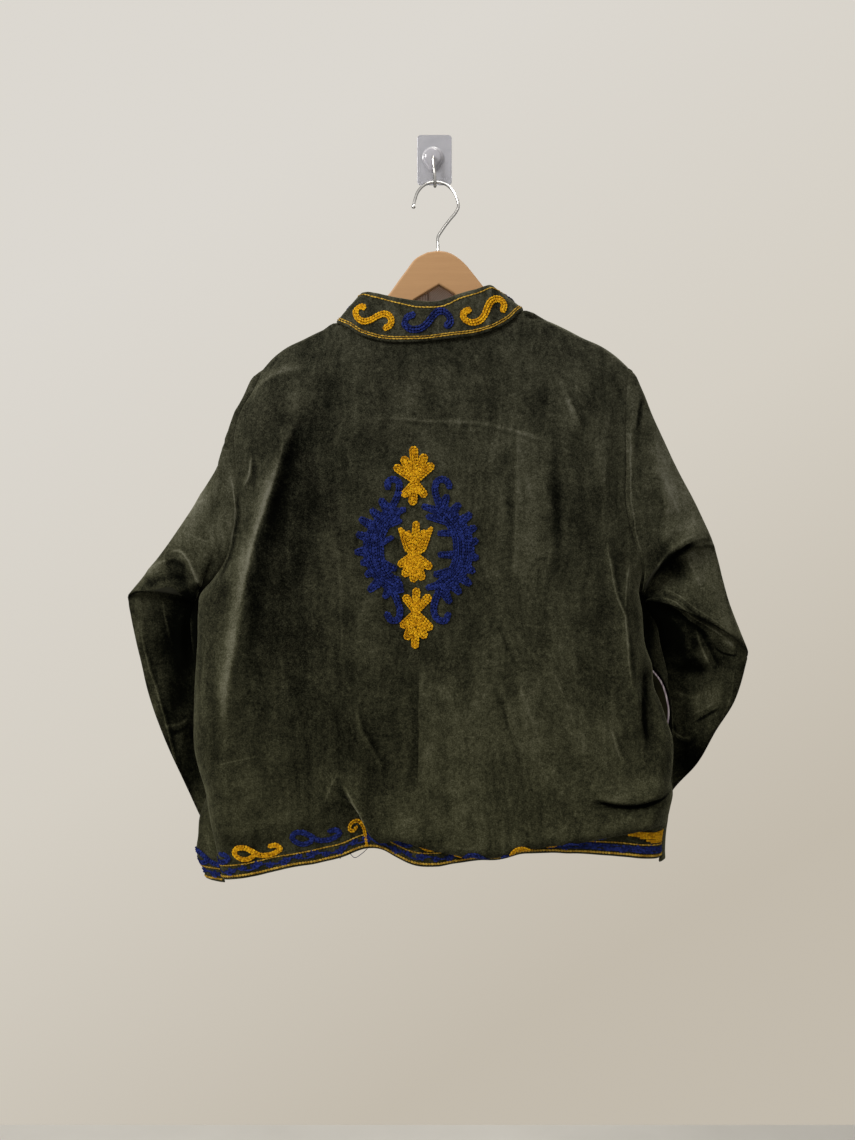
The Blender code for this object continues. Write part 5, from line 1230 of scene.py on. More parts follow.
def pad(strokes, place, step=0.9, height=0.4, seed=1):
    """The mound of yarn under a filled shape: places inside it, raised, coming down to the cloth at its edge."""
    s = np.array(strokes)
    reach = max(s[:, 2].max(), s[:, 5].max()) + 1
    x0, z0 = min(s[:, 0].min(), s[:, 3].min()) - reach, min(s[:, 1].min(), s[:, 4].min()) - reach
    x1, z1 = max(s[:, 0].max(), s[:, 3].max()) + reach, max(s[:, 1].max(), s[:, 4].max()) + reach
    x, z = np.meshgrid(np.arange(x0, x1, step), np.arange(z0, z1, step))
    f = field(strokes, x, z)
    cells = (f[:-1, :-1] < -0.25) & (f[:-1, 1:] < -0.25) & (f[1:, 1:] < -0.25) & (f[1:, :-1] < -0.25)
    used = np.zeros(f.shape, bool)
    for a, b in ((0, 0), (0, 1), (1, 1), (1, 0)):
        used[a : a + cells.shape[0], b : b + cells.shape[1]] |= cells
    points, normal, keep = place(x[used], z[used])
    lift = height * ease((-f[used] - 0.25) / 1.3) + 0.10 * ripple(x[used], z[used], 2.4, seed)
    number = np.full(f.shape, -1)
    spots = np.argwhere(used)
    number[spots[keep][:, 0], spots[keep][:, 1]] = np.arange(int(keep.sum()))
    quads = np.stack([number[:-1, :-1], number[:-1, 1:], number[1:, 1:], number[1:, :-1]], -1)[cells]
    quads = quads[(quads >= 0).all(axis=1)]
    # The mound's tone is low: painted shade in the gaps between the rows of stitches.
    return points + normal * lift[keep][:, None], quads, np.full(len(points), -0.75)


def stroke_path(path, radii):
    """Strokes along a smooth path with radii given at its first, middle and last place."""
    line = smooth_path(path, 4 * len(path))
    r = np.interp(np.linspace(0, 1, len(line)), [0, 0.5, 1], radii)
    return [(*line[k], r[k], *line[k + 1], r[k + 1]) for k in range(len(line) - 1)]


def fan(x, z, petals, root=2.6):
    """Petals from one place: (degrees from straight up, turning right; reach to the middle of the round tip; its radius)."""
    out = []
    for turn, reach, tip in petals:
        a = math.radians(turn)
        out.append((x, z, root, x + reach * math.sin(a), z + reach * math.cos(a), tip))
    return out


# The flowers up the middle of the back: place of the waist, petals over and under it.
FLOWERS = [  # x, z, petals, root radius, the body between the petals
    (-22.5, -396, [(-54, 25, 5.2), (-27, 26.5, 5.4), (-3, 35, 5.4), (20, 28.0, 5.4), (46, 23.5, 5.4)], 4.4, [(-30, -384, 6.5, -16, -384, 6.5), (-23, -390, 7.0, -23, -380, 8.0)]),
    (-23, -397, [(186, 22, 5.4), (219, 17.5, 5.0), (144, 17, 5.0)], 4.2, [(-27, -405, 6.0, -19, -405, 6.0)]),
    (-24, -482, [(0, 10, 8.0)], 7.6,
     [(-22.4, -473, 9.5, -22.4, -463, 8.6), (-28, -471, 8.2, -33.2, -460.5, 6.6), (-17, -471, 8.2, -11.4, -460.5, 6.6), (-34, -460, 5.6, -39.6, -451.5, 2.8), (-10.6, -460, 5.6, -4.4, -451.0, 2.8),
      (-22, -462, 5.2, -21.6, -446.0, 4.4), (-29, -462, 4.6, -30.5, -455.5, 3.2), (-14.6, -462, 4.6, -13.2, -454.5, 3.2)]),
    (-24, -483, [(-119, 16, 5.0), (-153, 21, 5.0), (-179, 24.6, 5.0), (159, 24, 5.0), (122, 19.5, 5.0)], 6.6, [(-31, -490.5, 6.8, -14, -490.5, 6.8), (-23, -492, 9, -22, -496, 8.5)]),
    (-22, -546, [(-34, 18.5, 5.2), (2, 23, 5.0), (41, 20.5, 5.4)], 4.0, [(-26, -536, 5.5, -17, -536, 5.5)]),
    (-22, -547, [(-135, 19, 5.0), (-161, 28, 5.0), (-179, 36.5, 4.8), (160, 26.5, 5.2), (136, 22, 5.0)], 4.6, [(-26, -559, 8.6, -18, -559, 8.6), (-22, -562, 9.5, -22, -566, 8.0)]),
]
# The serrated branches on both sides: an arc of petals round the middle flower, inner petals and a curl at each end.
BRANCHES = [  # side, middle x, z, arc radius, arc from, to (degrees over the horizontal), petals outwards, their reach, tip
    {"side": -1, "x": -20, "z": -474, "arc": 50.5, "from": 56, "to": -60, "petals": 9, "first": 53, "last": -54, "reach": 70.5, "uneven": 4.0,
     "inner": [((-48, -433), (-36, -429), 3.6), ((-56, -446), (-41, -442), 3.8), ((-66, -470), (-49.5, -461), 3.0), ((-62, -490), (-47, -496), 4.2),
               ((-57, -507), (-43, -509), 4.2), ((-50, -519), (-39, -521), 4.0)],
     "curls": [[(-51, -428), (-44, -416), (-41, -405), (-42, -396.5), (-49, -394), (-54.5, -398.5), (-54, -403)],
               [(-48, -522), (-42.5, -535), (-40, -547), (-43, -555), (-50, -555.5), (-54.5, -549)]]},
    {"side": 1, "x": -18, "z": -474, "arc": 51, "from": 60, "to": -60, "petals": 10, "first": 60, "last": -60, "reach": 70.0, "uneven": 2.5,
     "inner": [((6, -431), (-12, -425.5), 3.8), ((10, -441), (-7, -437), 3.8), ((24, -455), (6, -456), 3.6), ((27, -481), (6.5, -480.5), 3.9),
               ((18, -500), (2, -503), 4.2), ((9, -514), (-7, -518), 3.9)],
     "curls": [[(8, -431), (3, -418), (0, -405), (2.5, -396.5), (9, -394), (15, -398), (16.5, -402)],
               [(4, -524), (-0.5, -536), (-1, -547), (4, -555), (11.5, -556), (15, -549.5)]]},
]
# One scroll of the collar and one of the hem, about their own middles; the hem's stands on its line at z = 0.
COLLAR_SCROLL = [(-17.2, 7.6), (-24.0, 5.4), (-26.4, -0.6), (-20.6, -6.4), (-10.5, -7.4), (-0.9, -2.9), (6.3, 4.0), (13.5, 8.6), (21.1, 8.2), (26.2, 3.4), (26.0, -3.6), (21.8, -6.8)]
COLLAR_SCROLL_RADII = (4.0, 4.2, 4.3)
HEM_SCROLL = [(-5.2, 6.0), (-14, 3.6), (-22, 6.7), (-26.2, 13), (-22.7, 17.9), (-14, 17.6), (-6.1, 12.3), (1.3, 5.8), (10, 3.4), (21, 4.2), (27, 7.2), (23.5, 12.0), (16, 12.8)]
HEM_SCROLL_RADII = (3.1, 3.5, 3.1)
HEM_CURL = [(1.0, 6.2), (-3.2, 3.6), (-7.0, 7.4), (-4.6, 12.6), (1.4, 13.6), (6.4, 10.0), (9.2, 4.0), (10.4, -6.0), (10.8, -18.0)]
FLORET = [(-5.0, 0.6, 1.7, -1.6, 0.2, 1.9), (5.0, 1.0, 1.7, 1.6, 0.2, 1.9), (0.2, 2.8, 2.0, 0.1, -1.6, 2.2), (-3.4, -2.2, 1.5, 0.0, 0.0, 1.8)]


def flower_strokes():
    out = []
    for x, z, petals, root, body in FLOWERS:
        out.append(fan(x, z, petals, root) + body)
    return out


def branch_strokes(b):
    rng = np.random.default_rng(7 + b["side"])
    arc = [(b["x"] + b["side"] * b["arc"] * math.cos(math.radians(a)), b["z"] + b["arc"] * 0.97 * math.sin(math.radians(a)))
           for a in np.linspace(b["from"], b["to"], 9)]
    out = stroke_path(arc, (9.2, 12.6, 9.2))
    for a in np.linspace(b["first"], b["last"], b["petals"]):
        reach = b["reach"] + rng.uniform(-1, 1) * b["uneven"] - 3.9
        a = math.radians(a + rng.uniform(-1.5, 1.5))
        away = np.array([b["side"] * math.cos(a), math.sin(a)])
        root = np.array([b["x"], b["z"]]) + away * (b["arc"] + 1)
        lean = np.array([0, 1.0 if a > 0 else -1.0]) * 1.5
        tip = np.array([b["x"], b["z"]]) + away * reach + lean
        out.append((*root, 7.2, *tip, 4.4))
    for start, end, tip in b["inner"]:
        out.append((*start, tip + 1.6, *end, tip))
    for curl in b["curls"]:
        out += stroke_path(curl, (4.4, 4.1, 4.0))
    return out


# ------------------------------------------------------------------ materials
def node(tree, kind, values=None, **settings):
    made = tree.nodes.new(kind)
    for key, value in settings.items():
        setattr(made, key, value)
    for key, value in (values or {}).items():
        if isinstance(value, bpy.types.NodeSocket):
            tree.links.new(value, made.inputs[key])
        else:
            made.inputs[key].default_value = value
    return made


def blank(name, colour, **shader_values):
    material = bpy.data.materials.new(name)
    material.use_nodes = True
    tree = material.node_tree
    shader = tree.nodes["Principled BSDF"]
    material.diffuse_color = (*colour, 1)
    for key, value in shader_values.items():
        shader.inputs[key.replace("_", " ")].default_value = value
    return material, tree, shader


def noise(tree, at, scale, detail=3.0, rough=0.55, stretch=None, turn=None):
    if stretch is not None or turn is not None:
        at = node(tree, "ShaderNodeMapping", {"Vector": at, "Scale": stretch or (1, 1, 1), "Rotation": turn or (0, 0, 0)}).outputs[0]
    return node(tree, "ShaderNodeTexNoise", {"Vector": at, "Scale": scale, "Detail": detail, "Roughness": rough}).outputs["Fac"]


def maths(tree, what, a, b=0.0, c=0.0, clamp=False):
    return node(tree, "ShaderNodeMath", {0: a, 1: b, 2: c}, operation=what, use_clamp=clamp).outputs[0]


def weighed(tree, start, parts):
    """start + the sum of (value - 0.5) * weight."""
    total = start
    for value, weight in parts:
        total = maths(tree, "MULTIPLY_ADD", maths(tree, "SUBTRACT", value, 0.5), weight, total)
    return total


def ramp(tree, value, stops):
    made = node(tree, "ShaderNodeValToRGB", {"Fac": value})
    band = made.color_ramp
    while len(band.elements) < len(stops):
        band.elements.new(0.5)
    for element, (place, colour) in zip(band.elements, stops):
        element.position = place
        element.color = (*colour, 1)
    return made.outputs["Color"]


def bump(tree, height, strength, distance, normal=None):
    values = {"Height": height, "Strength": strength, "Distance": distance}
    if normal is not None:
        values["Normal"] = normal
    return node(tree, "ShaderNodeBump", values).outputs[0]


def set_curve(curve, places):
    while len(curve.points) < len(places):
        curve.points.new(0.5, 0.5)
    for point, (x, y) in zip(curve.points, places):
        point.location = (x, y)
        point.handle_type = "AUTO_CLAMPED"


def three_curves(tree, value, sets):
    """Three curves at once, one for each part of a vector."""
    made = node(tree, "ShaderNodeRGBCurve", {"Color": value})
    for curve, places in zip(made.mapping.curves, sets):
        set_curve(curve, places)
    made.mapping.update()
    return made.outputs["Color"]


def line_light(tree, x, z, lines, span):
    """Painted light and painted shade along lines finer than the cloth's mesh, three at a time. span = x and z that the
    lines stay in, mm.
    """
    vector = lambda what, a, b, c=(0.0, 0.0, 0.0): node(tree, "ShaderNodeVectorMath", {0: a, 1: b, 2: c}, operation=what).outputs  # noqa: E731
    spread_ = 60.0
    total = 0.0
    upright = [l for l in lines if abs(l[0][-1][1] - l[0][0][1]) > abs(l[0][-1][0] - l[0][0][0])]
    level = [l for l in lines if l not in upright]
    for group, run_axis in ((upright, 1), (level, 0)):
        (r0, r1), (o0, o1) = span[run_axis], span[1 - run_axis]
        run, off = ((x, z)[run_axis], (x, z)[1 - run_axis])
        run = maths(tree, "MULTIPLY_ADD", run, 1 / (r1 - r0), -r0 / (r1 - r0))
        off = maths(tree, "MULTIPLY_ADD", off, 1 / (o1 - o0), -o0 / (o1 - o0))
        run = node(tree, "ShaderNodeCombineXYZ", {0: run, 1: run, 2: run}).outputs[0]
        off = node(tree, "ShaderNodeCombineXYZ", {0: off, 1: off, 2: off}).outputs[0]
        for k in range(0, len(group), 3):
            three = group[k : k + 3]
            three += [three[-1][:3] + (0.0,)] * (3 - len(three))
            place, shape, share = [], [], []
            for path, under, over, _ in three:
                line = smooth_path(path, 11)
                line = line[np.argsort(line[:, run_axis])]
                t = (line[:, run_axis] - r0) / (r1 - r0)
                v = (line[:, 1 - run_axis] - o0) / (o1 - o0)
                place.append([(0.0, v[0])] + list(zip(t, v)) + [(1.0, v[-1])])
                a, b = under / spread_, over / spread_
                shape.append([(0.0, 0.0), (0.5 - 2.1 * a, 0.0), (0.5 - a, 0.36), (0.5 - 0.4 * a, 0.85), (0.5, 1.0), (0.5 + 0.4 * b, 0.85), (0.5 + b, 0.36), (0.5 + 2.1 * b, 0.0), (1.0, 0.0)])
                first, last = t[0], t[-1]
                fade = 0.3 * (last - first)
                share.append([(0.0, 0.0), (first, 0.0), (first + fade, 1.0), (last - fade, 1.0), (last, 0.0), (1.0, 0.0)])
            gap = vector("SUBTRACT", off, three_curves(tree, run, place))[0]
            gap = vector("MULTIPLY_ADD", gap, (((o1 - o0) / spread_),) * 3, (0.5, 0.5, 0.5))[0]
            seen = vector("MULTIPLY", three_curves(tree, gap, shape), three_curves(tree, run, share))[0]
            total = maths(tree, "ADD", vector("DOT_PRODUCT", seen, tuple(l[3] for l in three))[1], total)
    return total


def bent_fine(tree, at):
    """The object's own places, a little uneven, so that no line runs too straight."""
    wander = node(tree, "ShaderNodeTexNoise", {"Vector": at, "Scale": 40.0, "Detail": 2.0}).outputs["Color"]
    wander = node(tree, "ShaderNodeVectorMath", {0: wander, 1: (-0.5, -0.5, -0.5)}, operation="ADD").outputs[0]
    return node(tree, "ShaderNodeVectorMath", {0: wander, 1: (0.004, 0.004, 0.004), 2: at}, operation="MULTIPLY_ADD").outputs[0]


def velvet_material(name="olive_velvet", lines=(), span=None):
    m, tree, shader = blank(
        name, (0.036, 0.035, 0.02), Roughness=0.92, Sheen_Roughness=0.42, Sheen_Tint=(0.62, 0.62, 0.40, 1),
    )
    at = node(tree, "ShaderNodeTexCoord").outputs["Object"]
    # This attribute carries the pile's random light and dark together with painted light and painted shade: highlights
    # on crease crests, shade in troughs, hollows and under folds.
    pile_and_shade = node(tree, "ShaderNodeAttribute", attribute_name="pile_and_shade").outputs["Fac"]
    bent = node(tree, "ShaderNodeVectorMath", {
        0: at, 1: node(tree, "ShaderNodeVectorMath", {0: node(tree, "ShaderNodeTexNoise", {"Vector": at, "Scale": 9.0, "Detail": 2.0}).outputs["Color"], "Scale": 0.05}, operation="SCALE").outputs[0],
    }, operation="ADD").outputs[0]
    broad = noise(tree, bent, 7.0, 3.0, 0.5)
    mottle = noise(tree, bent, 70.0, 4.0, 0.62)
    streak = noise(tree, bent, 1.0, 3.0, 0.6, stretch=(92.0, 92.0, 11.0), turn=(0, -0.30, 0))
    other = noise(tree, bent, 1.0, 3.0, 0.6, stretch=(84.0, 84.0, 8.0), turn=(0, 0.12, 0))
    bands = noise(tree, bent, 1.0, 3.0, 0.6, stretch=(36.0, 36.0, 4.5), turn=(0, 0.02, 0))
    crossing = noise(tree, bent, 1.0, 2.0, 0.5, stretch=(12.0, 12.0, 70.0))
    speck = noise(tree, at, 620.0, 3.0, 0.75)
    grain = noise(tree, at, 1500.0, 2.0, 0.6)
    flecks = noise(tree, bent, 210.0, 3.0, 0.6)
    level = weighed(tree, maths(tree, "MULTIPLY_ADD", pile_and_shade, 0.40, 0.435), [
        (broad, 0.12), (mottle, 0.26), (streak, 0.30), (other, 0.30), (bands, 0.30), (crossing, 0.14), (flecks, 0.50), (speck, 0.95), (grain, 0.7),
    ])
    # Painted highlights and painted shade along the fine crease lines, where the marks attribute lets them show.
    if lines:
        parts = node(tree, "ShaderNodeSeparateXYZ", {0: node(tree, "ShaderNodeVectorMath", {0: bent_fine(tree, at), "Scale": 1000.0}, operation="SCALE").outputs[0]}).outputs
        marks = node(tree, "ShaderNodeAttribute", attribute_name="marks").outputs["Fac"]
        level = maths(tree, "MULTIPLY_ADD", maths(tree, "MULTIPLY", line_light(tree, parts["X"], parts["Z"], list(lines), span), marks), 0.40, level)
    shades = [
        (0.0, (0.0018, 0.0020, 0.0013)), (0.2, (0.0055, 0.0058, 0.0031)), (0.4, (0.0190, 0.0190, 0.0100)), (0.6, (0.0430, 0.0426, 0.0226)),
        (0.8, (0.0820, 0.0805, 0.0500)), (1.0, (0.1300, 0.1270, 0.0860)),
    ]
    # Painted light: a cooler, bluer light towards the shoulders and a warmer one towards the hem, as from a cool light
    # above.
    height_for_cool_light = node(tree, "ShaderNodeSeparateXYZ", {0: at}).outputs["Z"]
    cool_light_from_above = node(tree, "ShaderNodeMix", {"Factor": node(tree, "ShaderNodeMapRange", {"Value": height_for_cool_light, "From Min": -0.80, "From Max": -0.22}).outputs[0]}, data_type="RGBA")
    tree.links.new(ramp(tree, level, [(at_, (r, g, b * 0.93)) for at_, (r, g, b) in shades]), cool_light_from_above.inputs[6])
    tree.links.new(ramp(tree, level, [(at_, (r, g, b * 1.20)) for at_, (r, g, b) in shades]), cool_light_from_above.inputs[7])
    tree.links.new(cool_light_from_above.outputs[2], shader.inputs["Base Color"])
    # Sheen and shine follow the painted level too, so painted shade dims the sheen as well.
    tree.links.new(maths(tree, "MULTIPLY", level, 0.46, clamp=True), shader.inputs["Sheen Weight"])
    tree.links.new(maths(tree, "MULTIPLY", level, 0.14, clamp=True), shader.inputs["Specular IOR Level"])
    pile = weighed(tree, 0.5, [(grain, 1.0), (speck, 1.0)])
    soft = bump(tree, mottle, 0.35, 0.0025)
    tree.links.new(bump(tree, pile, 0.45, 0.0007, soft), shader.inputs["Normal"])
    return m


def reverse_material():
    """The cotton ground on the velvet's wrong side."""
    m, tree, shader = blank("velvet_reverse", (0.02, 0.02, 0.013), Roughness=0.9, Specular_IOR_Level=0.04)
    at = node(tree, "ShaderNodeTexCoord").outputs["Object"]
    warp = node(tree, "ShaderNodeTexWave", {"Vector": at, "Scale": 260.0, "Distortion": 1.2, "Detail": 1.0}, bands_direction="X").outputs["Fac"]
    weft = node(tree, "ShaderNodeTexWave", {"Vector": at, "Scale": 260.0, "Distortion": 1.2, "Detail": 1.0}, bands_direction="Z").outputs["Fac"]
    mottle = noise(tree, at, 24.0, 4.0)
    level = weighed(tree, 0.5, [(mottle, 0.7), (warp, 0.16), (weft, 0.16)])
    tree.links.new(ramp(tree, level, [(0.0, (0.004, 0.004, 0.0028)), (0.5, (0.012, 0.012, 0.0080)), (1.0, (0.028, 0.027, 0.018))]), shader.inputs["Base Color"])
    tree.links.new(bump(tree, maths(tree, "ADD", warp, weft), 0.3, 0.0004), shader.inputs["Normal"])
    return m


def lining_material(name="striped_lining", shades=((0.16, 0.115, 0.145), (0.33, 0.26, 0.31), (0.50, 0.43, 0.46), (0.70, 0.64, 0.64))):
    m, tree, shader = blank(name, shades[1], Roughness=0.62, Specular_IOR_Level=0.2)
    at = node(tree, "ShaderNodeTexCoord").outputs["Object"]
    flat = node(tree, "ShaderNodeAttribute", attribute_name="flat").outputs["Vector"]
    parts = node(tree, "ShaderNodeSeparateXYZ", {0: flat}).outputs
    across = parts["X"]
    stripe = maths(tree, "SINE", maths(tree, "MULTIPLY", across, 2 * math.pi / 3.2))
    thin = maths(tree, "SINE", maths(tree, "MULTIPLY", across, 2 * math.pi / 0.9))
    mottle = noise(tree, at, 60.0, 3.0)
    level = weighed(tree, 0.5, [(mottle, 0.45), (maths(tree, "MULTIPLY_ADD", stripe, 0.5, 0.5), 0.42), (maths(tree, "MULTIPLY_ADD", thin, 0.5, 0.5), 0.16)])
    stripes = ramp(tree, level, list(zip((0.0, 0.42, 0.62, 0.85), shades)))
    # Deeper in a pocket the bag is painted dark: painted shade for the pocket's hollow, with less shine.
    deep = node(tree, "ShaderNodeMapRange", {"Value": parts["Z"], "From Min": 1.3, "From Max": 1.9}).outputs[0]
    plain = ramp(tree, mottle, [(0.2, (0.006, 0.006, 0.003)), (0.8, (0.022, 0.020, 0.009))])
    both = node(tree, "ShaderNodeMix", {"Factor": deep}, data_type="RGBA")
    tree.links.new(stripes, both.inputs[6])
    tree.links.new(plain, both.inputs[7])
    tree.links.new(both.outputs[2], shader.inputs["Base Color"])
    tree.links.new(maths(tree, "MULTIPLY_ADD", deep, -0.18, 0.2, clamp=True), shader.inputs["Specular IOR Level"])
    tree.links.new(bump(tree, maths(tree, "ADD", thin, noise(tree, at, 900.0, 2.0)), 0.25, 0.0003), shader.inputs["Normal"])
    return m


def yarn_material(name, dark, mid, light, sheen):
    m, tree, shader = blank(name, mid, Roughness=0.75, Specular_IOR_Level=0.12, Sheen_Weight=sheen, Sheen_Roughness=0.5, Sheen_Tint=(*light, 1))
    at = node(tree, "ShaderNodeTexCoord").outputs["Object"]
    tone_and_shade = node(tree, "ShaderNodeAttribute", attribute_name="tone_and_shade").outputs["Fac"]
    patch = noise(tree, at, 55.0, 3.0)
    knots = noise(tree, at, 520.0, 3.0, 0.6)
    fibre = noise(tree, at, 1500.0, 3.0, 0.65)
    ply = node(tree, "ShaderNodeTexWave", {"Vector": at, "Scale": 520.0, "Distortion": 6.0, "Detail": 2.0, "Detail Scale": 1.4}, bands_direction="DIAGONAL").outputs["Fac"]
    level = weighed(tree, 0.47, [(tone_and_shade, 0.62), (patch, 0.25), (knots, 0.95), (fibre, 0.5), (ply, 0.14)])
    tree.links.new(ramp(tree, level, [(0.02, dark), (0.5, mid), (0.98, light)]), shader.inputs["Base Color"])
    tree.links.new(bump(tree, maths(tree, "ADD", maths(tree, "ADD", ply, fibre), knots), 0.55, 0.0006), shader.inputs["Normal"])
    return m


def wood_material():
    m, tree, shader = blank("light_wood", (0.45, 0.26, 0.12), Specular_IOR_Level=0.42, Coat_Weight=0.12, Coat_Roughness=0.35)
    at = node(tree, "ShaderNodeTexCoord").outputs["Object"]
    bend = noise(tree, at, 5.0, 2.0)
    grain = noise(tree, at, 1.0, 5.0, 0.6, stretch=(7.0, 60.0, 150.0), turn=(0, 0.06, 0))
    pores = noise(tree, at, 1.0, 3.0, 0.65, stretch=(60.0, 400.0, 1100.0), turn=(0, 0.06, 0))
    rings = node(tree, "ShaderNodeTexWave", {
        "Vector": node(tree, "ShaderNodeMapping", {"Vector": at, "Scale": (0.10, 0.5, 1.0), "Rotation": (0, 0.08, 0)}).outputs[0],
        "Scale": 26.0, "Distortion": 5.0, "Detail": 3.0, "Detail Scale": 1.2,
    }, bands_direction="Z").outputs["Fac"]
    level = weighed(tree, 0.5, [(bend, 0.30), (grain, 0.30), (pores, 0.20), (rings, 0.05)])
    tree.links.new(ramp(tree, level, [(0.0, (0.30, 0.155, 0.064)), (0.5, (0.432, 0.242, 0.108)), (1.0, (0.56, 0.345, 0.175))]), shader.inputs["Base Color"])
    tree.links.new(maths(tree, "MULTIPLY_ADD", pores, 0.2, 0.36), shader.inputs["Roughness"])
    tree.links.new(bump(tree, weighed(tree, 0.5, [(pores, 1.0), (grain, 0.5)]), 0.12, 0.0004), shader.inputs["Normal"])
    return m


def chrome_material():
    m, tree, shader = blank("plated_wire", (0.55, 0.54, 0.53), Metallic=1.0)
    at = node(tree, "ShaderNodeTexCoord").outputs["Object"]
    wear = noise(tree, at, 150.0, 4.0, 0.6)
    marks = noise(tree, at, 1.0, 3.0, 0.6, stretch=(900.0, 900.0, 120.0))
    # Painted reflection: the base colour is light where the wire faces the viewer and dark towards its grazing edges;
    # the wear noise varies it.
    edge = node(tree, "ShaderNodeLayerWeight", {"Blend": 0.42}).outputs["Facing"]
    shade = weighed(tree, edge, [(wear, 0.8)])
    tree.links.new(ramp(tree, shade, [(0.0, (0.86, 0.85, 0.84)), (0.30, (0.60, 0.59, 0.575)), (0.62, (0.26, 0.25, 0.24)), (0.95, (0.10, 0.095, 0.09))]), shader.inputs["Base Color"])
    tree.links.new(maths(tree, "MULTIPLY_ADD", wear, 0.24, 0.06), shader.inputs["Roughness"])
    tree.links.new(bump(tree, marks, 0.10, 0.0002), shader.inputs["Normal"])
    return m


def clear_material():
    m, tree, shader = blank(
        "clear_moulding", (0.6, 0.58, 0.62), Transmission_Weight=0.62, IOR=1.49, Specular_IOR_Level=0.5,
    )
    at = node(tree, "ShaderNodeTexCoord").outputs["Object"]
    haze = noise(tree, at, 60.0, 3.0)
    scuff = noise(tree, at, 1.0, 4.0, 0.65, stretch=(420.0, 420.0, 90.0), turn=(0, 0.5, 0))
    tree.links.new(ramp(tree, haze, [(0.2, (0.66, 0.66, 0.72)), (0.6, (0.76, 0.76, 0.82)), (0.9, (0.84, 0.84, 0.88))]), shader.inputs["Base Color"])
    tree.links.new(maths(tree, "MULTIPLY_ADD", scuff, 0.22, 0.06), shader.inputs["Roughness"])
    tree.links.new(bump(tree, scuff, 0.06, 0.0003), shader.inputs["Normal"])
    return m


def dome_material():
    """Clear moulding with a painted reflection: pale in the middle, a painted bright ring and a painted darker edge, by
    how squarely the surface faces the viewer.
    """
    m, tree, shader = blank(
        "clear_dome", (0.7, 0.69, 0.73), Transmission_Weight=0.3, IOR=1.49, Specular_IOR_Level=0.7, Coat_Weight=0.5, Coat_Roughness=0.04,
    )
    at = node(tree, "ShaderNodeTexCoord").outputs["Object"]
    haze = noise(tree, at, 120.0, 3.0)
    painted_ring_and_edge = node(tree, "ShaderNodeLayerWeight", {"Blend": 0.42}).outputs["Facing"]
    level = maths(tree, "ADD", painted_ring_and_edge, maths(tree, "MULTIPLY_ADD", haze, 0.16, -0.08))
    tree.links.new(ramp(tree, level, [(0.05, (0.52, 0.51, 0.56)), (0.30, (0.44, 0.43, 0.48)), (0.52, (0.86, 0.86, 0.88)), (0.72, (0.46, 0.44, 0.46)), (0.90, (0.20, 0.18, 0.18))]), shader.inputs["Base Color"])
    tree.links.new(maths(tree, "MULTIPLY_ADD", haze, 0.10, 0.04), shader.inputs["Roughness"])
    return m


def floor_material():
    m, tree, shader = blank("pale_floor", (0.66, 0.64, 0.60), Roughness=0.75)
    at = node(tree, "ShaderNodeTexCoord").outputs["Object"]
    tree.links.new(ramp(tree, noise(tree, at, 5.0, 4.0), [(0.2, (0.62, 0.60, 0.56)), (0.8, (0.70, 0.68, 0.64))]), shader.inputs["Base Color"])
    return m


# ------------------------------------------------------------------ the panels
BACK_U = np.unique(np.round(np.concatenate([np.linspace(0, 0.05, 13), np.linspace(0.05, 0.95, BACK_COLUMNS - 24), np.linspace(0.95, 1, 13)]), 6))
BACK_R = np.concatenate([
    np.unique(np.round(np.concatenate([np.linspace(0, 1, BACK_ROWS - 22), np.linspace(0.885, 0.965, 30)]), 5)),
    np.linspace(1, 7, 6 * STATION_ROWS + 1)[1:],
])


def flat_lengths(grid, ring=False):
    """Cloth's own coordinates of each place: mm across and mm down, for stripes that follow the cloth."""
    across = np.concatenate([np.zeros((grid.shape[0], 1)), np.cumsum(np.linalg.norm(np.diff(grid, axis=1), axis=2), axis=1)], axis=1)
    down = np.concatenate([np.zeros((1, grid.shape[1])), np.cumsum(np.linalg.norm(np.diff(grid, axis=0), axis=2), axis=0)])
    return np.stack([across, down, np.zeros_like(across)], -1)


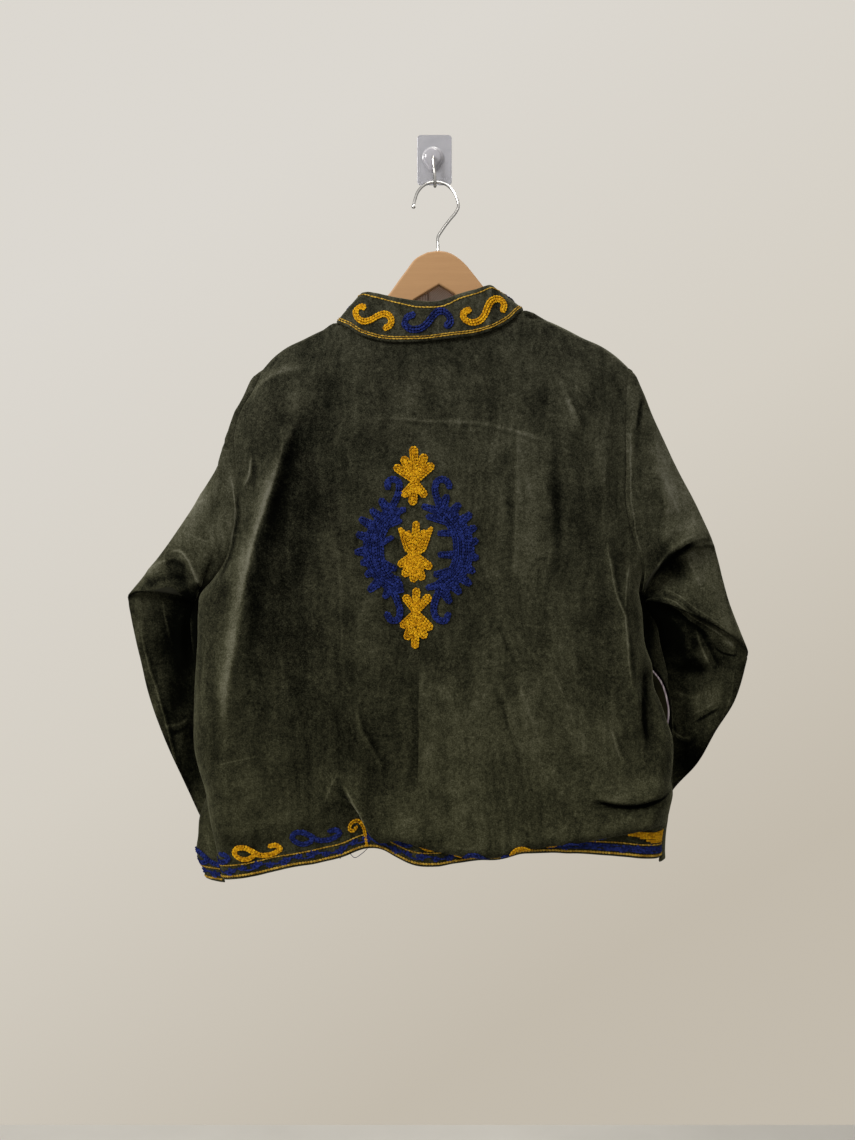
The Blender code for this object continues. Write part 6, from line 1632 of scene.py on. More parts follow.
def make_back(materials):
    u, r = BACK_U, BACK_R
    grid = back_surface(u, r)
    x, z = grid[..., 0], grid[..., 2]
    high, light = creases(x, z, BACK_CREASES)
    over = np.clip((3.2 - r) / 1.2, 0.0, 1.0)[:, None]
    inside = np.minimum(np.minimum(u, 1 - u) / 0.012, 1)[None] * np.minimum(r / 0.012, 1)[:, None]
    uneven = 0.55 * ripple(x, z, 85, 3) + 0.28 * ripple(x, z, 34, 4) + 0.14 * ripple(x, z, 15, 5)
    n = face_normals(grid, (0, -1, 0))
    grid = grid + n * ((high + uneven) * over * inside)[..., None]
    # The hem's stitched border pulls the cloth into small waves.
    hem = np.clip((r - 5.2) / 1.8, 0, 1)[:, None]
    grid = grid + face_normals(grid, (0, -1, 0)) * (0.5 * hem * ripple(x, z * 0, 26, 6))[..., None]
    n = face_normals(grid, (0, -1, 0))
    # Painted light and shade: crease highlights and trough shade, patches of pile and of painted light and shade, and a
    # random soft wave.
    light = light + patches(x, z, BACK_PATCHES) + 0.10 * ripple(x, z, 60, 8)
    edge = np.exp(-((x - x[:, :1]) / 3.0) ** 2) + np.exp(-((x[:, -1:] - x) / 3.0) ** 2)
    # Painted sheen along the side edges, and painted shade on cloth that faces down.
    light = light + 0.15 * edge - 0.6 * np.clip(-n[..., 2] - 0.2, 0, 1)
    # Below the bulge's edge the painted light is weaker, and painted shade lies under the tuck's lip.
    light = light * np.where(r > 3.0, 0.2, 1.0)[:, None] - 0.25 * (np.exp(-((r - 4.6) / 1.3) ** 2)[:, None])
    thick = SHELL + (HEM_SHELL - SHELL) * ease((r[:, None] - 6.4) / 0.6) * np.ones_like(x)
    # The marks attribute lets the painted crease lines show on the camera side above the tuck.
    marks = np.clip(-n[..., 1] * 3.0, 0, 1) * np.where(r > 3.2, 0.0, 1.0)[:, None]
    obj, outer = shell("coat_back", grid, n, thick, materials, values={"pile_and_shade": light, "marks": marks})
    return obj, Face(outer, n)


def make_front(left_side, materials):
    top_at = lambda share: mix(LEFT_TIP_X, RIGHT_TIP_X, share if left_side else 1 - share)  # noqa: E731
    out = -1.0 if left_side else 1.0
    turn = np.linspace(0, 1, 16)
    knots = [0, 0.25, 0.5, 0.75, 1.0]
    side_x = np.interp(turn, knots, [top_at(s) for s in (0, 0.006, 0.02, 0.045, 0.08)])
    corner, centre = (-110.0, CENTRE_FRONT_X - FRONT_GAP / 2) if left_side else (98.0, CENTRE_FRONT_X + FRONT_GAP / 2)
    first = side_x[-1]
    to_corner = np.linspace(first, corner, int(abs(first - corner) / FRONT_STEP) + 2)[1:]
    near = corner - out * np.arange(0.8, 9.0, 0.8)
    rest = np.linspace(near[-1], centre, int(abs(near[-1] - centre) / FRONT_STEP) + 2)[1:]
    x_top = np.concatenate([side_x, to_corner, near, rest])
    rows = np.linspace(0, 1, int(600 / FRONT_STEP))
    coarse = front_surface(left_side, x_top, turn, rows)
    steps = np.linalg.norm(np.diff(coarse, axis=0), axis=2).mean(axis=1)
    knots = np.concatenate([[0], np.cumsum(np.maximum(steps, 0.5))])
    at = np.concatenate([np.linspace(0, knots[2], 10)[:-1], knots[2:]])
    grid = smooth(knots, coarse.reshape(len(coarse), -1), at).reshape(len(at), -1, 3)
    if not left_side:  # the shoulder beside the neck stays under the back's edge
        grid[..., 2] -= 4.4 * np.clip((127 - grid[..., 0]) / 17, 0, 1) * np.clip((grid[..., 0] - 101) / 8, 0, 1) * np.clip(1 - np.arange(len(grid))[:, None] / 12, 0, 1)
    x, z = grid[..., 0], grid[..., 2]
    high, light = creases(x, z, FRONT_CREASES[left_side])
    uneven = 0.8 * ripple(x, z, 90, 13 + left_side) + 0.3 * ripple(x, z, 30, 15)
    down = np.arange(len(grid), dtype=float)[:, None]
    across = np.arange(grid.shape[1], dtype=float)[None]
    calm = np.clip((down - 12) / 14, 0, 1) * np.clip((across - 15) / 8, 0, 1) * np.clip((grid.shape[1] - 1 - across) / 5, 0.15, 1)
    n = face_normals(grid, (0, 1, 0))
    grid = grid + n * ((high + uneven) * calm)[..., None]
    n = face_normals(grid, (0, 1, 0))
    # Painted light and shade: a random soft wave, painted shade on cloth that faces down, and painted shade in the
    # hollows beside the back's sides.
    light = light + 0.18 * ripple(x, z, 110, 17) + 0.1 * ripple(x, z, 45, 18) - 0.8 * np.clip(-n[..., 2] - 0.15, 0, 1)
    light = light + patches(x, z, FRONT_PATCHES[left_side]) * np.clip((22 - across) / 8, 0, 1)
    thick = SHELL + (HEM_SHELL - SHELL) * ease((down - (len(grid) - 3)) / 2) * np.ones_like(x)
    name = "coat_front_left" if left_side else "coat_front_right"
    obj, outer = shell(name, grid, n, thick, materials, values={"pile_and_shade": light})
    return obj, Face(outer, n)


def fine_armhole(left_side, steps):
    """The armhole's edges as fine lines: points, directions away from the body, shares of the way down."""
    table, side, out = (BACK_LEFT, FRONT_LEFT_SIDE, -1.0) if left_side else (BACK_RIGHT, FRONT_RIGHT_SIDE, 1.0)
    z = edge_height(left_side, spread(0, UNDERARM_ROW, steps + 1, 1.35))
    xy = read(table, z, 1, 2)
    back = np.stack([xy[:, 0], xy[:, 1], z], -1)
    z = mix(side[0][0], side[-1][0], front_rows(left_side)[0])
    xy = read(side, z, 1, 2)
    tips = [row[0] for row in front_top(left_side, np.array([table[0][1], table[0][1] - out * 5.0]))[:2]]
    front = np.concatenate([tips, np.stack([xy[:, 0], xy[:, 1], z], -1)])
    back[0] = front[0] = (back[0] + front[0]) / 2
    back[-1] = front[-1] = (back[-1] + front[-1]) / 2
    edges = []
    for line in (back, front):
        along = np.concatenate([[0], np.cumsum(np.linalg.norm(np.diff(line, axis=0), axis=1))])
        share = spread(0, 1, steps + 1, 1.25)
        line = smooth(along, line, share * along[-1])
        ahead = np.gradient(line, axis=0)
        away = np.stack([-out * ahead[:, 2], np.zeros(len(ahead)), out * ahead[:, 0]], -1)
        away /= np.maximum(np.linalg.norm(away, axis=1, keepdims=True), 1e-9)
        edges.append((line, away, share))
    return edges


def make_sleeve(left_side, materials):
    rows = SLEEVE_LEFT if left_side else SLEEVE_RIGHT
    (back, back_away, back_share), (front, front_away, front_share) = fine_armhole(left_side, RING_STEPS)
    front, front_away, front_share = (a[-2:0:-1] for a in (front, front_away, front_share))
    hole, away = np.concatenate([back, front]), np.concatenate([back_away, front_away])
    h = np.concatenate([back_share, front_share])
    seen = np.arange(len(h)) <= RING_STEPS
    round_ = 2 * np.sqrt(h * (1 - h))
    start = hole + away * SEAM_GAP * 1.3
    near = start + away * 5.0
    coarse = [start]
    for row in rows:
        p = dict(zip(SLEEVE_COLUMNS, row))
        o, i = np.array([p["ox"], p["oy"], p["oz"]], float), np.array([p["ix"], p["iy"], p["iz"]], float)
        line = o + (i - o) * h[:, None]
        line[:, 1] += np.where(seen, -p["front"], p["back"]) * round_**0.75
        across = (i - o)[[0, 2]] / np.linalg.norm((i - o)[[0, 2]])
        up = np.array([-across[1], across[0]])
        up = up if up[1] > 0 else -up
        lift = np.where(seen, p["bow"], 0) * round_
        line[:, 0] += up[0] * lift
        line[:, 2] += up[1] * lift
        coarse.append(mix(line, near, p["hug"]))
    coarse = np.array(coarse)
    steps = np.linalg.norm(np.diff(coarse, axis=0), axis=2).mean(axis=1)
    knots = np.concatenate([[0], np.cumsum(np.maximum(steps, 2.0))])
    at = np.concatenate([np.linspace(knots[k], knots[k + 1], max(2, int(math.ceil((knots[k + 1] - knots[k]) / SLEEVE_STEP))) + 1)[:-1] for k in range(len(knots) - 1)] + [knots[-1:]])
    grid = smooth(knots, coarse.reshape(len(coarse), -1), at).reshape(len(at), -1, 3)
    if not left_side:  # the shoulder's tip runs smoothly into the sleeve
        grid[..., 2] -= 1.7 * np.exp(-(((grid[..., 0] - 230) / 5.0) ** 2)) * np.clip((grid[..., 2] + 285) / 14, 0, 1)
    x, z = grid[..., 0], grid[..., 2]
    n = face_normals(grid, None, ring=True)
    camera_side = np.clip(-n[..., 1] * 2.0, 0, 1) * seen[None]
    wall_side = np.clip(n[..., 1] * 2.0, 0, 1)
    high, light = creases(x, z, SLEEVE_CREASES[left_side])
    shifted, shifted_light = creases(x + 9.0, z + 14.0, SLEEVE_CREASES[left_side])
    uneven = 0.9 * ripple(x, z, 70, 21 + left_side) + 0.4 * ripple(x, z, 28, 23)
    calm = np.clip(np.arange(len(grid)) / 6.0, 0, 1)[:, None] * np.clip(round_ / 0.5, 0.1, 1)[None]
    grid = grid + n * ((high * camera_side + 0.5 * shifted * wall_side + uneven * 0.8) * calm)[..., None]
    n = face_normals(grid, None, ring=True)
    # Painted light and shade: crease highlights and shade on the camera side, lighter above the elbow, shifted crease
    # light on the wall side, patches, a random soft wave, and painted shade on cloth that faces down.
    light = light * camera_side + 0.12 * np.clip((z + 530) / 20, 0, 1) + 0.4 * shifted_light * wall_side + patches(x, z, SLEEVE_PATCHES[left_side]) * camera_side + 0.12 * ripple(x, z, 50, 25) - 1.5 * np.clip(-n[..., 2] - 0.1, 0, 1)
    name = "coat_sleeve_left" if left_side else "coat_sleeve_right"
    end = np.arange(len(grid))[:, None]
    thick = SHELL + (HEM_SHELL - SHELL) * ease((end - (len(grid) - 3)) / 2) * np.ones_like(x)
    # The marks attribute lets the painted crease lines show only on the camera side.
    obj, outer = shell(name, grid, n, thick, materials, ring=True, values={"pile_and_shade": light, "marks": np.clip(-n[..., 1] * 3.0, 0, 1) * seen[None]})
    return obj, Face(outer, n)


def make_collar(materials, lining):
    COLLAR[0] = (-8.5, *COLLAR[0][1:3], -8.5, *COLLAR[0][4:])
    COLLAR[-1] = (-7.5, *COLLAR[-1][1:3], -7.5, *COLLAR[-1][4:])
    along, up = np.linspace(0, 1, 230), np.linspace(0, 1, 17)
    grid = collar_surface(along, up)
    towards = np.array([-8.0, -50.0, 0.0]) - grid
    towards[..., 2] = 0
    n = face_normals(grid, (0, 0, 0))
    n *= -np.sign((n * towards).sum(-1, keepdims=True))
    s = along[None] * 520
    wave = 0.5 * ripple(s + 0 * grid[..., 0], up[:, None] * 46 + 0 * s, 60, 31) + 0.25 * ripple(s + 0 * grid[..., 0], up[:, None] * 46 + 0 * s, 20, 32)
    wave = wave + np.where(grid[..., 1] < -50, 1.0 * np.exp(-(((grid[..., 0] - 61.0 - 3.0 * up[:, None]) / 3.4) ** 2)) - 0.8 * np.exp(-(((grid[..., 0] - 69.0 - 3.0 * up[:, None]) / 5.0) ** 2)), 0.0)
    grid = grid + n * wave[..., None]
    n = face_normals(grid, (0, 0, 0))
    n *= -np.sign((n * towards).sum(-1, keepdims=True))
    # Painted highlight along the rolled top edge, over a random soft wave of pile.
    light = 0.08 + 0.24 * ripple(s + 0 * grid[..., 0], up[:, None] * 46 + 0 * s, 40, 33) + 0.25 * np.exp(-((1 - up[:, None]) / 0.08) ** 2)
    # One soft upright fold near the right end of the back: a painted highlight on its edge, painted shade beside it.
    at_fold = grid[..., 0] - 61.0 - 3.0 * up[:, None]
    light = light + np.where(grid[..., 1] < -50, 0.55 * np.exp(-((at_fold / 2.4) ** 2)) - 0.50 * np.exp(-(((at_fold - 7.5) / 5.0) ** 2)), 0.0)
    obj, outer = shell("coat_collar", grid, n, COLLAR_CLOTH, materials, values={"pile_and_shade": light})
    inner = collar_surface(np.linspace(0.0004, 0.9996, 200), np.linspace(0.10, 1.0, 13))
    inner[-1, :, 2] += 0.9 * np.exp(-((np.linspace(0, 1, 200) - 0.48) / 0.16) ** 2)
    towards = np.array([-8.0, -50.0, 0.0]) - inner
    towards[..., 2] = 0
    m = face_normals(inner, (0, 0, 0))
    m *= np.sign((m * towards).sum(-1, keepdims=True))
    inner = inner + m * (COLLAR_CLOTH / 2 + 0.9 + LINING / 2)
    lined, _ = shell("coat_collar_lining", inner, m, LINING, [lining, lining], values={"flat": flat_lengths(inner)})
    return obj, Face(outer, n), lined


def make_pocket(lining):
    grid = pocket_surface(spread(-611, -758, 46), np.concatenate([np.linspace(0, 0.44, 24), np.linspace(0.455, 0.545, 9), np.linspace(0.56, 1, 24)]))
    n = face_normals(grid, (0, -1, 0))
    flat = flat_lengths(grid)
    to_ends = [flat[..., 0], flat[:, -1:, 0] - flat[..., 0]]
    at_back = 0 if grid[:, 0, 1].mean() < grid[:, -1, 1].mean() else 1
    flat[..., 2] = np.minimum(to_ends[1 - at_back], np.maximum(to_ends[at_back] - 3.2, 0))
    flat[..., 0] = grid[..., 0]
    obj, _ = shell("pocket_lining", grid, n, 0.8, [lining, lining], values={"flat": flat})
    return obj


# ------------------------------------------------------------------ hanger and wall hook
def tube(name, path, radii, materials, sides=18):
    """A round wire through points (x, y, z) in mm with a radius at each; its ends are closed to a point."""
    path, radii = np.asarray(path, float), np.asarray(radii, float)
    ahead = np.gradient(path, axis=0)
    ahead /= np.linalg.norm(ahead, axis=1, keepdims=True)
    side = np.cross(ahead[0], (0.3, 1.0, 0.2))
    sides_ = []
    for t in ahead:
        side = side - t * np.dot(side, t)
        side /= np.linalg.norm(side)
        sides_.append(side.copy())
    sides_ = np.array(sides_)
    other = np.cross(ahead, sides_)
    angle = np.linspace(0, 2 * math.pi, sides, endpoint=False)
    ring = sides_[:, None] * np.cos(angle)[None, :, None] + other[:, None] * np.sin(angle)[None, :, None]
    points = path[:, None] + ring * radii[:, None, None]
    index = np.arange(len(path) * sides).reshape(len(path), sides)
    j, i = np.meshgrid(np.arange(len(path) - 1), np.arange(sides), indexing="ij")
    k = (i + 1) % sides
    quads = np.stack([index[j, i], index[j, k], index[j + 1, k], index[j + 1, i]], -1).reshape(-1, 4)
    points = points.reshape(-1, 3)
    if signed_volume(points, quads) < 0:
        quads = quads[:, ::-1]
    return points, quads


def rounded_ends(path, radius, samples, bead=0.0):
    """A smooth path with its radii: both ends rounded, the last with a bead."""
    p = np.array([(r[0], r[2], r[1]) for r in path], float)
    along = np.concatenate([[0], np.cumsum(np.linalg.norm(np.diff(p, axis=0), axis=1))])
    total = along[-1]
    cap = radius * (1 - np.cos(np.linspace(0, math.pi / 2, 6)))
    body = np.linspace(cap[-1] + 0.6, total - 5.0, samples)
    tail = total - 4.5 + 4.5 * np.sin(np.linspace(0, math.pi / 2, 14))
    at = np.concatenate([cap, body, tail])
    r = np.full(len(at), radius)
    r[: len(cap)] = radius * np.sin(np.linspace(0, math.pi / 2, 6))
    tip = total - at
    ball = radius + bead
    round_tip = np.sqrt(np.clip(1 - (1 - np.clip(tip / ball, 0, 1)) ** 2, 0, 1)) * ball
    swell = radius + bead * ease((5.0 - tip) / 2.6)
    r = np.where(tip < 5.0, np.minimum(swell, round_tip), r)
    r[0], r[-1] = 0.02, 0.02
    return smooth(along, p, at), r


def curve_slab(name, outline, thickness, edge, rounds, y):
    """A flat outline (x, z) in mm standing in the XZ plane with rounded edges, as points and triangles or quads."""
    curve = bpy.data.curves.new(name, "CURVE")
    curve.dimensions = "2D"
    curve.fill_mode = "BOTH"
    curve.extrude = (thickness / 2 - edge) * 0.001
    curve.bevel_depth = edge * 0.001
    curve.bevel_resolution = rounds
    curve.offset = -edge * 0.001
    spline = curve.splines.new("POLY")
    spline.points.add(len(outline) - 1)
    for point, (px, pz) in zip(spline.points, outline):
        point.co = (px * 0.001, pz * 0.001, 0, 1)
    spline.use_cyclic_u = True
    holder = bpy.data.objects.new(name + "_outline", curve)
    bpy.context.scene.collection.objects.link(holder)
    bpy.context.view_layer.update()
    mesh = bpy.data.meshes.new_from_object(holder.evaluated_get(bpy.context.evaluated_depsgraph_get()))
    bpy.data.objects.remove(holder, do_unlink=True)
    co = np.zeros(len(mesh.vertices) * 3)
    mesh.vertices.foreach_get("co", co)
    co = co.reshape(-1, 3)
    mesh.vertices.foreach_set("co", np.stack([co[:, 0], -co[:, 2] + y * 0.001, co[:, 1]], -1).ravel())
    mesh.name = name
    return mesh


def smooth_outline(parts):
    """One closed outline from lists of corners; each list is rounded within itself."""
    out = []
    for corners, count in parts:
        p = np.array(corners, float)
        if len(p) > 2:
            along = np.concatenate([[0], np.cumsum(np.linalg.norm(np.diff(p, axis=0), axis=1))])
            p = smooth(along, p, np.linspace(0, along[-1], count))
        out += [tuple(q) for q in p]
    return out


def mesh_object(mesh, material, smooth_angle=40):
    mesh.materials.clear()
    mesh.materials.append(material)
    mesh.shade_smooth()
    mesh.set_sharp_from_angle(angle=math.radians(smooth_angle))
    obj = bpy.data.objects.new(mesh.name, mesh)
    bpy.context.scene.collection.objects.link(obj)
    return obj


def make_hanger(wood, chrome):
    parts = [
        (WOOD_TOP_RIGHT, 90), (WOOD_LOW_RIGHT, 60), ([WOOD_NOTCH], 1), (WOOD_LOW_LEFT, 60), (WOOD_TOP_LEFT, 90),
    ]
    mesh = curve_slab("wooden_hanger", smooth_outline(parts)[::-1], WOOD_T, 2.0, 4, WOOD_Y)
    hanger = mesh_object(mesh, wood)
    path, radii = rounded_ends(HOOK_PATH, WIRE_R, 150, bead=0.7)
    points, quads = tube("hanger_wire", path, radii, [chrome], 20)
    wire_ = make_mesh("hanger_wire", points, quads, [chrome])
    return hanger, wire_


def make_wall_hook(clear, dome, chrome):
    mesh = curve_slab("wall_hook_plate", rounded_rectangle(PLATE_W, PLATE_H, PLATE_CORNER, 10), PLATE_T, 0.55, 4, -PLATE_T / 2)
    plate = mesh_object(mesh, clear, 35)
    # The boss: a low clear dome with a rim, turned about its own middle.
    profile = [(BOSS_R, -0.1), (BOSS_R, 0.9), (12.4, 1.5), (11.7, 1.7), (11.4, 2.6), (10.6, 3.9), (9.4, 4.9), (7.4, 5.55), (5.0, 5.9), (2.4, 6.0), (0.02, 6.0)]
    p = np.array(profile)
    along = np.concatenate([[0], np.cumsum(np.linalg.norm(np.diff(p, axis=0), axis=1))])
    p = smooth(along, p, np.linspace(0, along[-1], 40))
    angle = np.linspace(0, 2 * math.pi, 72, endpoint=False)
    # Its lower side runs out to a blunt point under the pin.
    reach = 1 + 0.42 * np.exp(-((np.arctan2(np.cos(angle), -np.sin(angle)) / 0.46) ** 2))
    points = np.stack([
        BOSS_X + p[:, :1] * np.cos(angle) * reach, -PLATE_T - p[:, 1:] * np.ones(len(angle)), BOSS_Z + p[:, :1] * np.sin(angle) * reach,
    ], -1)
    index = np.arange(points.shape[0] * points.shape[1]).reshape(points.shape[:2])
    j, i = np.meshgrid(np.arange(len(p) - 1), np.arange(len(angle)), indexing="ij")
    k = (i + 1) % len(angle)
    quads = np.stack([index[j, i], index[j, k], index[j + 1, k], index[j + 1, i]], -1).reshape(-1, 4)
    flat = points.reshape(-1, 3)
    if signed_volume(flat, quads) < 0:
        quads = quads[:, ::-1]
    boss = make_mesh("wall_hook_boss", flat, quads, [dome])
    path, radii = rounded_ends(PIN_PATH, PIN_R * 0.93, 70, bead=0.0)
    points, quads = tube("wall_hook_pin", path, radii, [chrome], 20)
    pin = make_mesh("wall_hook_pin", points, quads, [chrome])
    return plate, boss, pin


# ------------------------------------------------------------------ laying the stitches on the cloth
def inside_runs(points, keep):
    """Splits a line of places into the runs where keep holds."""
    runs, start = [], None
    for k, on in enumerate(list(keep) + [False]):
        if on and start is None:
            start = k
        if not on and start is not None:
            if k - start > 3:
                runs.append(slice(start, k))
            start = None
    return [points[r] for r in runs]


def laid(face, lines, middle=(0.0, 0.0), flip=1.0, size=1.0, margin=1.2):
    """Runs on a measured face from 2-D lines about their own middle; flip = -1 where the face's length runs leftwards."""
    runs = []
    length = face.along[-1]
    for line in lines:
        s = middle[0] + flip * size * line[:, 0]
        d = middle[1] + size * line[:, 1]
        for part in inside_runs(np.stack([s, d], -1), (s > margin) & (s < length - margin) & (d > 0.8)):
            runs.append(face.place(part[:, 0], part[:, 1]))
    return runs


def long_line(face, start, end, height, wander=0.0, size=40.0, seed=1, step=1.5):
    """A row of stitches along a measured face at a height (a number or a function of the length)."""
    s = np.arange(start, end, step)
    d = height(s) if callable(height) else np.full(len(s), float(height))
    return [face.place(s, d + wander * ripple(s, np.zeros(len(s)), size, seed))]


def on_face(face, middle=(0.0, 0.0), flip=1.0, size=1.0, margin=0.8):
    """A way to place (x, z) about a middle on a measured face."""
    def place(x, z):
        s, d = middle[0] + flip * size * x, middle[1] + size * z
        keep = (s > margin) & (s < face.along[-1] - margin) & (d > 0.6)
        return (*face.place(s[keep], d[keep]), keep)

    return place


def on_back(tree, normal, cols):
    def place(x, z):
        points, normals_, keep = [], [], np.zeros(len(x), bool)
        for k in range(len(x)):
            hit, _, index, _ = tree.ray_cast(Vector((x[k], -400.0, z[k])), Vector((0, 1, 0)))
            if hit is None:
                continue
            keep[k] = True
            points.append(hit)
            j, i = divmod(index, cols - 1)
            normals_.append((normal[j, i] + normal[j, i + 1] + normal[j + 1, i] + normal[j + 1, i + 1]) / 4)
        return np.array(points), np.array(normals_), keep

    return place


def cast_runs(lines, tree, normal, cols):
    """Lays 2-D lines (x, z) on the back, straight towards the wall."""
    runs = []
    for line in lines:
        points, normals_ = [], []
        for x, z in line:
            hit, _, index, _ = tree.ray_cast(Vector((x, -400.0, z)), Vector((0, 1, 0)))
            if hit is None:
                continue
            points.append(hit)
            j, i = divmod(index, cols - 1)
            normals_.append((normal[j, i] + normal[j, i + 1] + normal[j + 1, i] + normal[j + 1, i + 1]) / 4)
        if len(points) > 3:
            runs.append((np.array(points), np.array(normals_)))
    return runs


def grid_tree(grid):
    rows, cols = grid.shape[:2]
    index = np.arange(rows * cols).reshape(rows, cols)
    quads = np.stack([index[:-1, :-1], index[:-1, 1:], index[1:, 1:], index[1:, :-1]], -1).reshape(-1, 4)
    return BVHTree.FromPolygons(grid.reshape(-1, 3).tolist(), quads.tolist()), cols


def stitched(name, parts, material):
    points, quads, tone_and_shade = joined(parts)
    return make_mesh(name, points, quads, [material], values={"tone_and_shade": tone_and_shade})


def medallion(face):
    tree, cols = grid_tree(face.points)
    gold, navy = [], []
    for k, strokes in enumerate(flower_strokes()):
        gold.append(chain(cast_runs(fill(strokes), tree, face.normal, cols), pitch=3.6, width=3.0, yarn=0.74, lift=0.8, seed=40 + k))
        gold.append(pad(strokes, on_back(tree, face.normal, cols)))
    for k, branch in enumerate(BRANCHES):
        navy.append(chain(cast_runs(fill(branch_strokes(branch), inset=1.3, row=2.6, rows=9), tree, face.normal, cols), pitch=3.7, width=3.1, yarn=0.76, lift=0.8, seed=60 + k))
        navy.append(pad(branch_strokes(branch), on_back(tree, face.normal, cols)))
    return gold, navy


def where_x(face, row, x):
    """Length along the measured row where it passes a place x, on the camera side."""
    line = face.points[row]
    best = np.argmin(np.abs(line[:, 0] - x) + np.where(line[:, 1] < -55, 0, 500))
    return face.along[best]


def collar_stitches(face):
    face.measure(0, up=False)
    gold, navy = [], []
    length = face.along[-1]
    first, mid_, third = (where_x(face, 0, x) for x in (-80.5, -8.5, 65.5))
    pitch_ = (third - first) / 2
    strokes = stroke_path(COLLAR_SCROLL, COLLAR_SCROLL_RADII)
    scroll = fill(strokes)
    count = int(first / pitch_)
    for k in range(-count, int((length - first) / pitch_) + 1):
        at = (mid_ if k == 1 else first + k * pitch_, 21.5)
        if 18 < at[0] < length - 18:
            size = {0: 1.0, 1: 1.12, 2: 1.05}.get(k, 0.96)
            at = (at[0] + {-1: -9.0, 3: 8.0}.get(k, 0.0), at[1])
            runs = laid(face, scroll, at, size=size)
            group = gold if k % 2 == 0 else navy
            group.append(chain(runs, pitch=3.4, width=2.8, yarn=0.70, lift=0.75, seed=100 + k))
            group.append(pad(strokes, on_face(face, at, size=size), step=1.0))
    edging = [
        chain(long_line(face, 1.5, length - 1.5, 2.3, 0.25, 60, 3), pitch=4.2, width=1.8, yarn=0.50, seed=131),
        chain(long_line(face, 1.5, length - 1.5, 4.7, 0.25, 60, 3), pitch=4.1, width=1.8, yarn=0.50, seed=132, tone_at=-0.2),
    ]
    at, mid = face.along, where_x(face, 0, -8.0)
    top = lambda s: np.interp(s, at, face.rise[-1]) - 4.2 - 2.6 * np.exp(-(((s - mid) / 48) ** 2))  # noqa: E731
    edging.append(chain(long_line(face, 1.5, length - 1.5, top, 0.3, 50, 4), pitch=4.2, width=1.8, yarn=0.50, seed=133, tone_at=0.25))
    return gold, navy, edging


def hem_stitches(face, flip, gold_at, navy_at, florets_from, seed, ends=(1.0, 1.0), curl_at=None, strips_from=None, raised=None):
    """The border: a lower line, a navy vine with florets, a thin upper line, and scrolls that stand on it."""
    gold, navy = [], []
    length = face.along[-1]
    low, high = ends[0], length - ends[1]
    edging = [
        chain(long_line(face, low, high, 2.7, 0.25, 70, seed), pitch=3.4, width=2.9, yarn=0.66, seed=seed, tone_at=0.1),
        chain(long_line(face, low, high, 15.2, 0.5, 60, seed + 1), pitch=3.6, width=1.9, yarn=0.52, seed=seed + 1, tone_at=-0.1),
    ]
    vine = lambda s: 9.0 + 1.7 * np.sin(2 * math.pi * (s - florets_from) / 33.0)  # noqa: E731
    navy.append(chain(long_line(face, low, high, vine, 0.3, 40, seed + 2), pitch=3.5, width=2.6, yarn=0.62, seed=seed + 2))
    floret = fill(FLORET, inset=0.85, row=1.9, step=0.4, shortest=4.0)
    s, k = florets_from, 0
    while s < length - 4:
        if s > 4:
            side = 1 if k % 2 else -1
            runs = laid(face, floret, (s, 9.2 + 1.6 * side), flip, 1.15)
            navy.append(chain(runs, pitch=3.3, width=2.6, yarn=0.62, seed=seed + 10 + k))
            runs = laid(face, floret, (s + 16.0, 9.0 - 1.5 * side), flip, 0.8)
            navy.append(chain(runs, pitch=3.1, width=2.4, yarn=0.58, seed=seed + 60 + k))
        s += 33.0
        k += 1
    strokes = stroke_path(HEM_SCROLL, HEM_SCROLL_RADII)
    scroll = fill(strokes)
    for places, group in ((gold_at, gold), (navy_at, navy)):
        for n, at in enumerate(places):
            up = 16.4 + (raised or {}).get(n if group is navy else -1, 0.0)
            group.append(chain(laid(face, scroll, (at, up), flip), pitch=3.3, width=2.7, yarn=0.68, lift=0.75, seed=seed + 200 + n))
            group.append(pad(strokes, on_face(face, (at, up), flip), step=1.0))
    if curl_at is not None:
        curl = stroke_path(HEM_CURL, (2.3, 2.7, 1.9))
        gold.append(chain(laid(face, fill(curl), (curl_at, 20.4), flip), pitch=3.2, width=2.5, yarn=0.66, lift=0.7, seed=seed + 300))
        gold.append(pad(curl, on_face(face, (curl_at, 20.4), flip), step=0.9))
    if strips_from is not None:
        for n, (start, height) in enumerate(((42, 18.6), (36, 20.7), (28, 22.8), (14, 24.9), (0, 27.0), (8, 29.0))):
            gold.append(chain(long_line(face, strips_from + start, high, height, 0.3, 40, seed + 310 + n), pitch=3.4, width=2.9, yarn=0.72, seed=seed + 310 + n))
        for n, height in enumerate((6.4, 9.2, 12.0)):
            navy.append(chain(long_line(face, strips_from - 70 + 12 * n, high, height, 0.4, 40, seed + 330 + n), pitch=3.9, width=2.7, yarn=0.66, seed=seed + 330 + n))
    return gold, navy, edging


def loose_thread(name, path, radius, material):
    """A fine thread end as a tube through places (x, y, z)."""
    p = np.array(path, float)
    along = np.concatenate([[0], np.cumsum(np.linalg.norm(np.diff(p, axis=0), axis=1))])
    line = smooth(along, p, np.linspace(0, along[-1], 60))
    radii = np.full(60, radius)
    radii[0] = radii[-1] = 0.02
    points, quads = tube(name, line, radii, [material], 8)
    return points, quads, np.full(len(points), 0.4)


# ------------------------------------------------------------------ the whole
def declare(piece, replaced):
    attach(piece, "root")
    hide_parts(replaced)


def add_to_coat(piece):
    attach(piece, "root")
    return piece


